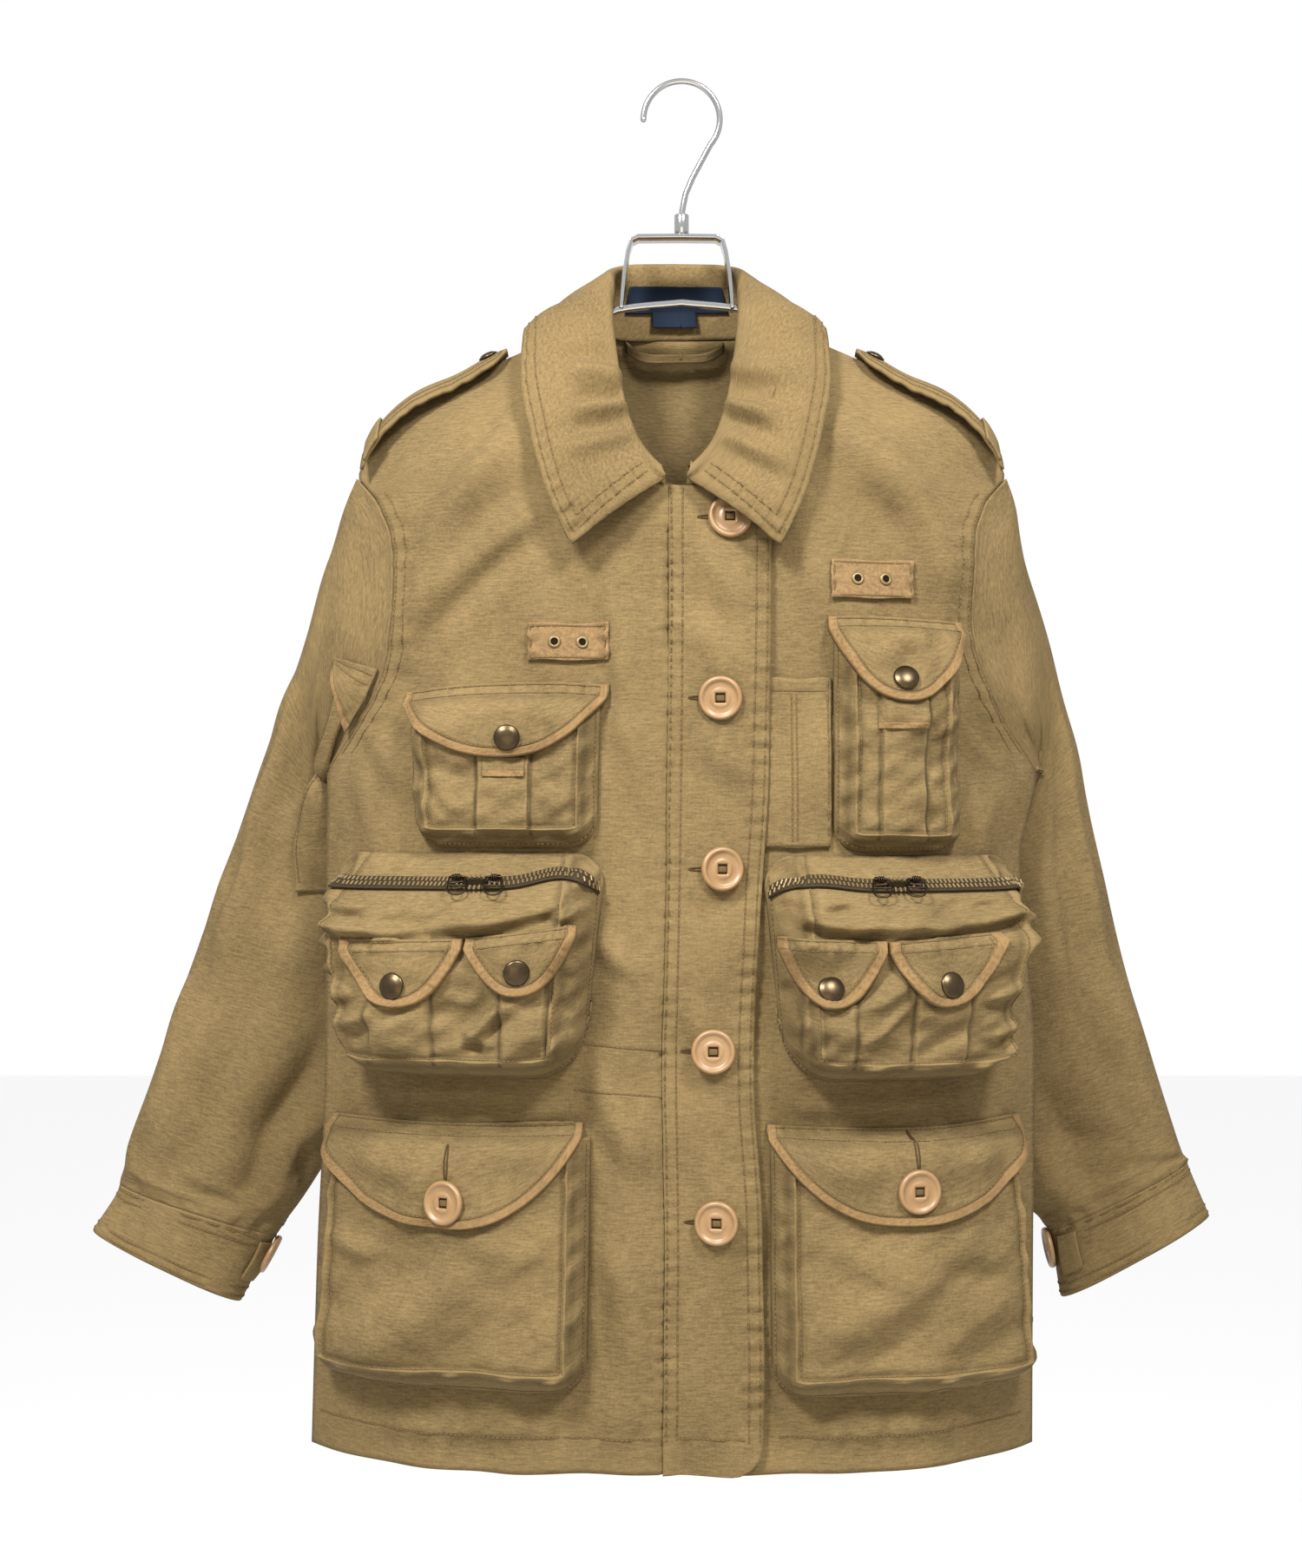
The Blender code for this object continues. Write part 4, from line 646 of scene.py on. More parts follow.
    @staticmethod
    def block(wide: float, tall: float, thick: float, round_by: float = 0.0, steps: int = 1) -> Shape:
        """Block that stands on its base, with rounded edges.

        Args:
            wide: size along x.
            tall: size along y.
            thick: size along z.
            round_by: radius of its edges.
            steps: segments of the rounding.

        Returns:
            The block.
        """
        shape = bmesh.new()
        bmesh.ops.create_cube(shape, size=1.0)
        bmesh.ops.scale(shape, vec=(wide, tall, thick), verts=shape.verts)
        bmesh.ops.translate(shape, vec=(0.0, 0.0, thick / 2.0), verts=shape.verts)
        if round_by > 0.0:
            bmesh.ops.bevel(shape, geom=shape.edges, offset=round_by, segments=steps, profile=0.5,
                            affect="EDGES", material=-1)
        return shape


def seats_on(surface: Surface, x: Array, z: Array, off: float = 0.0, reach: float = 0.004) -> list[Seat]:
    """Seats on a face at several places.

    Args:
        surface: the face over x and z.
        x: places across.
        z: places up.
        off: distance off the face.
        reach: half the patch that each seat is fitted to.

    Returns:
        The seats, their along towards +x and their up towards +z.
    """
    by_x = surface(x + reach, z) - surface(x - reach, z)
    by_z = surface(x, z + reach) - surface(x, z - reach)
    out = unit(np.cross(by_x, by_z))
    along = unit(by_x - out * (by_x * out).sum(axis=-1, keepdims=True))
    return [Seat(*row) for row in zip(surface(x, z) + off * out, along, np.cross(out, along), out)]


def seat_on(surface: Surface, x: float, z: float, off: float = 0.0) -> Seat:
    """Seat on a face at one place."""
    return seats_on(surface, np.array([x]), np.array([z]), off)[0]


class Stitching:
    """Rows of single stitches, gathered and made as one joined mesh."""

    pitch = 0.0030
    length = 0.0021
    wide = 0.00062
    high = 0.00050
    # Width and lift of the strip of painted shade under each row
    groove_wide = 0.0009
    groove_off = 0.00026

    def __init__(self, name: str) -> None:
        """Starts an empty set of rows with the name of its piece."""
        self.name = name
        self.seats: list[Seat] = []

    def row(self, surface: Surface, path: Sequence[tuple[float, float]], flip: float = 1.0) -> None:
        """Adds one row along a path on a face.

        Args:
            surface: the face over two parameters.
            path: the path in these parameters.
            flip: -1 where the parameters run the other way round.
        """
        path = np.asarray(path, float)
        fine = np.linspace(0.0, 1.0, 400)
        share = np.linspace(0.0, 1.0, len(path))
        a, b = np.interp(fine, share, path[:, 0]), np.interp(fine, share, path[:, 1])
        points = surface(a, b)
        run = np.r_[0.0, np.cumsum(np.linalg.norm(np.diff(points, axis=0), axis=1))]
        count = max(int(run[-1] / self.pitch), 1)
        rng = np.random.default_rng(len(self.seats) + 7)
        spots = (np.arange(count) + 0.5 + rng.uniform(-0.12, 0.12, count)) * run[-1] / count
        a, b = np.interp(spots, run, a), np.interp(spots, run, b)
        here = surface(a, b)
        by_a = surface(a + STEP, b) - surface(a - STEP, b)
        by_b = surface(a, b + STEP) - surface(a, b - STEP)
        out = flip * unit(np.cross(by_a, by_b))
        ahead = np.stack([np.interp(spots + 0.001, run, points[:, k]) for k in range(3)], axis=-1)
        behind = np.stack([np.interp(spots - 0.001, run, points[:, k]) for k in range(3)], axis=-1)
        along = unit(ahead - behind)
        along = unit(along - out * (along * out).sum(axis=-1, keepdims=True))
        for k in range(count):
            self.seats.append(Seat(here[k], along[k], np.cross(out[k], along[k]), out[k]))

    def build(self) -> None:
        """Makes the joined stitches and the strip of painted shade under them."""
        shape = Workshop.block(self.length, self.wide, self.high)
        bmesh.ops.delete(shape, geom=[f for f in shape.faces if f.normal.z < -0.5], context="FACES_ONLY")
        upper = [v for v in shape.verts if v.co.z > self.high / 2.0]
        bmesh.ops.scale(shape, vec=(0.72, 0.55, 1.0), verts=upper)
        Workshop.keep(Workshop.repeated(shape, self.seats), self.name, THREAD)
        # Strip of painted shade under each row, where the stitches sink in
        line = bmesh.new()
        bmesh.ops.create_grid(line, x_segments=1, y_segments=1, size=0.5)
        bmesh.ops.scale(line, vec=(self.pitch * 1.06, self.groove_wide, 1.0), verts=line.verts)
        bmesh.ops.translate(line, vec=(0.0, 0.0, self.groove_off), verts=line.verts)
        Workshop.keep(Workshop.repeated(line, self.seats), self.name + "_groove", GROOVE_SHADE)


@dataclass
class Cloth:
    """Thin shell of one cut piece, laid over a surface as a fine grid."""

    name: str
    surface: Surface
    columns: int
    rows: int
    finish: Finish
    solid: bool = True
    thick: float = CLOTH
    held: Held = Held.LAID
    rests_on: tuple[str, ...] = ()
    around: bool = False
    # Pale wear where positive, painted shade where negative
    wear: Optional[Height] = None
    flip: float = 1.0
    across: Optional[Array] = None
    upward: Optional[Array] = None

    def grid(self) -> tuple[Shape, Array, Array]:
        """Flat grid with the shares of its vertices across and up.

        Returns:
            The grid, shares across and shares up.
        """
        shape = bmesh.new()
        bmesh.ops.create_grid(shape, x_segments=self.columns, y_segments=self.rows, size=0.5)
        size = (self.rows + 1, self.columns + 1)
        u = np.linspace(0.0, 1.0, size[1]) if self.across is None else self.across
        v = np.linspace(0.0, 1.0, size[0]) if self.upward is None else self.upward
        return shape, np.broadcast_to(u[None, :], size), np.broadcast_to(v[:, None], size)

    def build(self) -> None:
        """Makes, dresses and registers the piece."""
        shape, u, v = self.grid()
        points = self.surface(u, v)
        across = np.linalg.norm(np.diff(points, axis=1), axis=-1)
        upward = np.linalg.norm(np.diff(points, axis=0), axis=-1)
        wide, long = float(across.sum(axis=1).max()), float(upward.sum(axis=0).max())
        grain_u = np.concatenate([np.zeros((len(points), 1)), np.cumsum(across, axis=1)], axis=1)
        grain_v = np.concatenate([[0.0], np.cumsum(upward.mean(axis=1))])[:, None] + np.zeros_like(grain_u)
        mesh = bpy.data.meshes.new(self.name)
        shape.to_mesh(mesh)
        mesh.vertices.foreach_set("co", points.reshape(-1))
        corner = np.zeros(len(mesh.loops), int)
        mesh.loops.foreach_get("vertex_index", corner)
        grain = mesh.uv_layers.new(name="grain")
        grain.uv.foreach_set("vector", np.stack([grain_u, grain_v], axis=-1).reshape(-1, 2)[corner].ravel())
        wear = np.zeros(u.shape) if self.wear is None else self.wear(u, v)
        # One attribute carries pale wear above zero and painted shade below zero
        layer = mesh.attributes.new("wear", "FLOAT", "POINT")
        layer.data.foreach_set("value", np.ascontiguousarray(wear).ravel())
        shape.clear()
        shape.from_mesh(mesh)
        if self.around:
            bmesh.ops.remove_doubles(shape, verts=shape.verts, dist=1e-6)
        if self.flip < 0.0:
            bmesh.ops.reverse_faces(shape, faces=shape.faces)
        area = sum(f.calc_area() for f in shape.faces)
        shape.to_mesh(mesh)
        shape.free()
        mesh.polygons.foreach_set("use_smooth", [True] * len(mesh.polygons))
        piece = Workshop.keep(mesh, self.name, self.finish, self.solid)
        shell = piece.modifiers.new("thickness", "SOLIDIFY")
        shell.thickness = self.thick
        shell.offset = -1.0
        wide, long = max(wide, LEAST_CUT), max(long, LEAST_CUT)
        cut = float(np.clip(area, 0.3 * wide * long, wide * long))
        list(self.rests_on)
        LOG.info("sheet %s %.3f x %.3f m, %.4f m2", self.name, wide, long, cut)


def gathered(count: int, marks: Sequence[tuple[float, float, float]]) -> Array:
    """Shares from 0 to 1 that lie closer at given marks.

    Args:
        count: number of spans.
        marks: place, reach and weight of each mark.

    Returns:
        The shares.
    """
    even = np.linspace(0.0, 1.0, 2001)
    density = np.ones_like(even)
    for place, reach, weight in marks:
        density = density + weight * bell(even - place, reach)
    run = np.cumsum(density) - density[0]
    return np.interp(np.linspace(0.0, run[-1], count + 1), run, even)


@dataclass
class Body:
    """Fronts, back and front band: their form, creases, panels and stitching."""

    hem_z: float = -0.838
    armpit_z: float = -0.425
    tip_z: float = -0.243
    neck_top_z: float = -0.1555
    back_neck_z: float = -0.153
    neck_front_z: float = -0.253
    neck_x: float = -0.004
    band_top_z: float = -0.2545
    band_corner: float = 0.018
    lap_run: float = 0.050
    underlap: float = 0.010
    seam_gap: float = 0.0003
    turn_in: float = 0.0070
    turn_drop: float = 0.0024
    shoulder_roll: float = 0.085
    neck_calm: float = 0.034
    crease_depth: float = 2.2
    hem_row: float = 0.0215
    band_rows: tuple[float, float] = (0.0018, 0.0085)
    armhole_rows: tuple[float, float] = (0.0022, 0.0085)
    # Height, half widths right and left, depths before and behind the seam plane
    sections: tuple = (
        (-0.838, 0.2285, 0.2165, 0.075, 0.041), (-0.72, 0.225, 0.217, 0.073, 0.042),
        (-0.6, 0.22, 0.218, 0.07, 0.043), (-0.48, 0.2195, 0.209, 0.066, 0.045),
        (-0.425, 0.219, 0.219, 0.062, 0.046), (-0.33, 0.219, 0.219, 0.058, 0.046),
        (-0.24, 0.219, 0.219, 0.052, 0.044), (-0.12, 0.219, 0.219, 0.046, 0.04),
    )
    # Distance from the middle and height of the shoulder line
    ridge: tuple = (
        (0.0, -0.098), (0.03, -0.108), (0.055, -0.13), (0.072, -0.152), (0.11, -0.1705), (0.15, -0.1885),
        (0.172, -0.2015), (0.187, -0.216), (0.1955, -0.2305), (0.2, -0.243), (0.23, -0.35),
    )
    # Height, armhole edge of the fronts and of the back
    armhole: tuple = (
        (-0.425, 0.219, 0.219), (-0.412, 0.21, 0.212), (-0.395, 0.198, 0.203), (-0.375, 0.186, 0.195),
        (-0.355, 0.1785, 0.1895), (-0.325, 0.1745, 0.186), (-0.285, 0.176, 0.186), (-0.262, 0.184, 0.19),
        (-0.243, 0.2, 0.2),
    )
    # Height and half width of the front neckline
    neckline: tuple = (
        (-0.253, 0.006), (-0.25, 0.02), (-0.24, 0.036), (-0.222, 0.05), (-0.198, 0.06), (-0.175, 0.067),
        (-0.15, 0.0725),
    )
    # Height, seam and free edge of the front band
    band: tuple = (
        (-0.838, -0.0122, 0.047), (-0.789, -0.012, 0.0477), (-0.687, -0.0117, 0.0462),
        (-0.605, -0.0127, 0.0416), (-0.507, -0.011, 0.0457), (-0.43, -0.0097, 0.0503),
        (-0.297, -0.0086, 0.0528), (-0.25, -0.0086, 0.053),
    )
    # Broad folds in millimetres, which the solids have too: start, end, width and height
    front_folds: tuple = (
        (-85, -235, -165, -350, 16, 4), (-30, -310, -40, -455, 14, 3), (-26, -480, -30, -590, 13, 3),
        (-32, -640, -36, -800, 15, 4), (-120, -800, -100, -845, 18, 3), (100, -225, 155, -300, 16, 3.5),
        (100, -805, 125, -845, 18, 3),
    )
    back_folds: tuple = (
        (-95, -280, -125, -800, 26, 6), (85, -330, 115, -830, 26, 5.5), (0, -240, 6, -780, 30, -4),
    )
    # Creases in millimetres: start, end, width, height and bend
    front_creases: tuple = (
        (-167, -264, -109, -201, 10, -2.6, 3), (-169, -322, -100, -224, 12, 3.4, -4),
        (-176, -344, -84, -268, 12, 3.4, -4), (-163, -352, -79, -276, 8, -2.2, -4),
        (-45, -300, -30, -390, 9, 2, 3), (-40, -385, -20, -455, 8, 1.6, -2),
        (-190, -395, -160, -440, 7, 2, 2), (-180, -380, -150, -405, 6, 1.4, 2),
        (-195, -420, -190, -470, 6, 1.8, 1), (-52, -520, -26, -545, 7, 1.8, 2),
        (-200, -622, -90, -617, 6, 2, -3), (-130, -630, -55, -622, 5, 1.4, 2),
        (-50, -600, -22, -660, 9, 1.8, 3), (-45, -700, -25, -780, 10, 2, -3),
        (-200, -815, -70, -808, 7, 1.6, 2), (5, -275, 40, -330, 12, 2.2, 3), (0, -330, 30, -372, 10, 1.6, -2),
        (8, -400, 42, -430, 10, 1.4, 2), (3, -500, 30, -470, 10, 1.5, 2), (2, -560, 30, -610, 10, 1.6, 2),
        (8, -640, 28, -730, 10, 1.6, -3), (90, -200, 150, -270, 14, 3, 5),
        (120, -225, 168, -330, 12, 2.6, -4), (70, -240, 85, -330, 13, 2.2, 3),
        (180, -360, 205, -440, 6, 1.8, 2), (170, -400, 200, -425, 5, 1.4, 2),
        (185, -440, 180, -480, 7, 1.6, 1), (60, -622, 180, -618, 6, 1.8, 3),
        (60, -812, 190, -815, 8, 1.6, -2),
    )
    back_creases: tuple = (
        (-160, -300, -60, -250, 14, 3, 4), (60, -260, 160, -310, 14, 3, 4),
        (-170, -420, -90, -520, 12, 3, -4), (160, -430, 70, -560, 13, 3, 5),
        (-60, -560, -20, -700, 12, 2.4, 4), (30, -520, 45, -690, 11, 2.2, -4),
        (-180, -640, -70, -690, 12, 2, -4), (180, -660, 90, -730, 12, 2.2, 4),
        (-110, -760, 20, -780, 10, 1.6, 3),
    )

    def __post_init__(self) -> None:
        """Draws the smooth lines through the tables."""
        self.half_right, self.half_left, self.front_depth, self.back_depth = lines(self.sections)
        self.ridge_z, self.ridge_x = Line(self.ridge), Line(self.ridge, 0, 1)
        self.armhole_front, self.armhole_back = lines(self.armhole)
        self.neck_half = Line(self.neckline)
        self.band_seam, self.band_edge = lines(self.band)

    def fullness(self, x: Array, z: Array) -> Array:
        """Share of the full depth at a place.

        Args:
            x: places across.
            z: places up.

        Returns:
            0 at the side and shoulder seams, 1 in the middle.
        """
        half = np.where(x < 0.0, self.half_right(z), self.half_left(z))
        across = 1.0 - clamped(np.abs(x) / half) ** 4.0
        below = clamped((self.ridge_z(np.abs(x)) - z) / self.shoulder_roll)
        return across * (1.0 - (1.0 - below) ** 2)

    def puckers(self, x: Array, z: Array) -> Array:
        """Small gathers along the seams of the fronts.

        Args:
            x: places across.
            z: places up.

        Returns:
            Heights at these places.
        """
        seam = bell(x - self.band_seam(z), 0.008) * waves(3, 0.0070, z)
        edge = bell(x - self.band_edge(z) + 0.005, 0.007) * waves(4, 0.0070, z)
        hem = bell(z - self.hem_z - 0.022, 0.007) * waves(5, 0.016, x)
        rim = np.where(z > self.armpit_z, np.abs(x) - self.armhole_front(z), 1.0)
        arm = bell(rim + 0.007, 0.009) * waves(6, 0.0110, z)
        return 0.0006 * (seam + edge) + 0.0008 * hem + 0.0008 * arm

    def front_y(self, x: Array, z: Array) -> Array:
        """Depth of the fronts."""
        return -self.fullness(x, z) * (self.front_depth(z) + folded(self.front_folds, x, z))

    def back_y(self, x: Array, z: Array) -> Array:
        """Depth of the back."""
        return self.fullness(x, z) * (self.back_depth(z) + folded(self.back_folds, x, z))

    def neck_fade(self, x: Array, z: Array) -> Array:
        """Share of the relief that is left near the neckline."""
        away = np.maximum(np.abs(x - self.neck_x) - self.neck_half(z), self.neck_front_z - z)
        return smooth(away / self.neck_calm)

    def front_relief(self, x: Array, z: Array) -> Array:
        """Creases, puckers and soft waves of the fronts."""
        soft = self.crease_depth * creased(self.front_creases, x, z) + self.puckers(x, z)
        return self.fullness(x, z) * self.neck_fade(x, z) * (soft + 0.0018 * waves(11, 0.075, x, z))

    def back_relief(self, x: Array, z: Array) -> Array:
        """Creases and soft waves of the back."""
        relief = self.crease_depth * creased(self.back_creases, x, z) + 0.0020 * waves(12, 0.080, x, z)
        return self.fullness(x, z) * relief

    def panel(self, depth: Height, facing: float, x: Array, z: Array, off: Array) -> Array:
        """Points of a panel moved out along its normal.

        Args:
            depth: depth of the panel.
            facing: -1 for the fronts, 1 for the back.
            x: places across.
            z: places up.
            off: distance out.

        Returns:
            The points.
        """
        x, z, off = np.broadcast_arrays(np.asarray(x, float), np.asarray(z, float), np.asarray(off, float))
        slope_x = (depth(x + STEP, z) - depth(x - STEP, z)) / (2.0 * STEP)
        slope_z = (depth(x, z + STEP) - depth(x, z - STEP)) / (2.0 * STEP)
        normal = facing * unit(np.stack([-slope_x, np.ones_like(x), -slope_z], axis=-1))
        return np.stack([x, depth(x, z), z], axis=-1) + off[..., None] * normal

    def front(self, x: Array, z: Array, off: Array = 0.0) -> Array:
        """Points of the fronts, moved out."""
        return self.panel(self.front_y, -1.0, x, z, off + self.front_relief(x, z))

    def back(self, x: Array, z: Array, off: Array = 0.0) -> Array:
        """Points of the back, moved out."""
        return self.panel(self.back_y, 1.0, x, z, off + self.back_relief(x, z))

    def lap(self, x: Array, z: Array) -> Array:
        """Lift of the right front towards the band seam."""
        seam = self.band_seam(z) - self.seam_gap
        return np.where(x <= seam, LAP * smooth((x - seam + self.lap_run) / self.lap_run), 0.0)

    def face(self, x: Array, z: Array, off: Array = 0.0) -> Array:
        """Points of the worn face of the fronts, moved out."""
        return self.front(x, z, off + self.lap(x, z))

    def outer_limit(self, z: Array, side: Side, rim: Line) -> Array:
        """Outer edge of a panel: x of the side seam, the armhole and the shoulder seam."""
        seam = self.half_right(z) if side is Side.RIGHT else self.half_left(z)
        return side.value * np.select([z <= self.armpit_z, z <= self.tip_z], [seam, rim(z)], self.ridge_x(z))

    def front_wear(self, x: Array, z: Array) -> Array:
        """Pale wear of the fronts along their seams.

        Args:
            x: places across.
            z: places up.

        Returns:
            Wear at these places.
        """
        seam = 0.35 * bell(x - self.band_seam(z), 0.004)
        hem = 0.3 * bell(z - self.hem_z, 0.006)
        rim = np.where(z > self.armpit_z, np.abs(x) - self.armhole_front(z), 1.0)
        return seam + hem + 0.3 * bell(rim + 0.004, 0.006)

    def build_front(self, side: Side) -> None:
        """Makes one front.

        Args:
            side: which front.
        """
        lap = self.underlap if side is Side.LEFT else self.turn_in

        def place(u: Array, v: Array) -> tuple[Array, Array]:
            """Place of a share across and up the front.

            Args:
                u: share across.
                v: share up.

            Returns:
                x and z.
            """
            z = between(self.hem_z, self.neck_top_z, v)
            neck = self.neck_x + side.value * self.neck_half(z)
            middle = np.where(z < self.neck_front_z, self.band_seam(z) + lap, neck)
            return self.outer_limit(z, side, self.armhole_front) * (1.0 - u) + middle * u, z

        def surface(u: Array, v: Array) -> Array:
            """Front, with its lift or its hidden edge at the band.

            Args:
                u: share across.
                v: share up.

            Returns:
                The points.
            """
            x, z = place(u, v)
            under = np.where(x > self.band_seam(z) - self.seam_gap, LAP - self.turn_drop, 0.0)
            points = self.front(x, z, self.lap(x, z) + under if side is Side.RIGHT else 0.0)
            points[..., 1] = np.minimum(points[..., 1], -self.seam_gap / 2.0)
            return points

        Cloth("front_" + side.word, surface, 72, 200, CANVAS, held=Held.HUNG, rests_on=("hanger",),
              wear=lambda u, v: self.front_wear(*place(u, v)), flip=-side.value).build()

    def build_back(self) -> None:
        """Makes the back."""

        def surface(u: Array, v: Array) -> Array:
            """Back panel.

            Args:
                u: share across.
                v: share up.

            Returns:
                The points.
            """
            z = between(self.hem_z, self.back_neck_z, v)
            left = self.outer_limit(z, Side.LEFT, self.armhole_back)
            x = between(left, self.outer_limit(z, Side.RIGHT, self.armhole_back), u)
            points = self.back(x, z)
            points[..., 1] = np.maximum(points[..., 1], self.seam_gap / 2.0)
            return points

        Cloth("back", surface, 92, 140, CANVAS, held=Held.HUNG, rests_on=("hanger",),
              wear=lambda u, v: 0.5 * bell(v, 0.01)).build()

    def band_place(self, u: Array, v: Array) -> tuple[Array, Array]:
        """Place of a share across and up the front band.

        Args:
            u: share across.
            v: share up.

        Returns:
            x and z.
        """
        z = between(self.hem_z, self.band_top_z, v)
        below = clamped(1.0 - (z - self.hem_z) / self.band_corner)
        edge = self.band_edge(z) - self.band_corner * (1.0 - np.sqrt(1.0 - below ** 2))
        return between(self.band_seam(z) + self.seam_gap, edge, u), z

    def build_band(self) -> None:
        """Makes the front band."""

        def wear(u: Array, v: Array) -> Array:
            """Pale wear along the seam and the edge of the band."""
            x, z = self.band_place(u, v)
            return 0.35 * bell(x - self.band_seam(z), 0.005) + 0.3 * bell(x - self.band_edge(z), 0.004)

        upward = np.r_[0.0, np.linspace(0.0008, 1.0, 240)]
        Cloth("front_band", lambda u, v: self.front(*self.band_place(u, v), LAP), 26, 240, CANVAS,
              held=Held.HUNG, rests_on=("front_right",), wear=wear, upward=upward).build()

    def stitch(self) -> None:
        """Sews the band, the hem and the armholes."""
        rows, behind = Stitching("stitches_body"), Stitching("stitches_back")
        on_band = partial(self.front, off=LAP)
        z = np.linspace(self.hem_z + 0.020, self.band_top_z - 0.002, 60)
        for inset in self.band_rows:
            rows.row(on_band, np.c_[self.band_seam(z) + inset, z])
            rows.row(on_band, np.c_[self.band_edge(z) - inset - 0.0005, z])
        x = np.linspace(0.0, 1.0, 40)
        hem = self.hem_z + self.hem_row + 0.0 * x
        rows.row(self.face, np.c_[-0.222 + 0.208 * x, hem])
        rows.row(self.face, np.c_[0.056 + 0.152 * x, hem])
        rows.row(on_band, np.c_[-0.010 + 0.046 * x, hem])
        behind.row(self.back, np.c_[0.205 - 0.412 * x, hem])
        z = np.linspace(self.armpit_z + 0.012, self.tip_z - 0.012, 50)
        for side in Side:
            for inset in self.armhole_rows:
                rows.row(self.face, np.c_[side.value * (self.armhole_front(z) - inset), z])
                behind.row(self.back, np.c_[side.value * (self.armhole_back(z) - inset), z])
        for z0 in (-0.585, -0.6125):
            rows.row(self.face, np.c_[-0.064 + 0.052 * x, z0 - 0.004 * x])
        rows.build()
        behind.build()

    def build(self) -> None:
        """Makes the panels, the band and their stitching."""
        self.build_back()
        for side in Side:
            self.build_front(side)
        self.build_band()
        self.stitch()


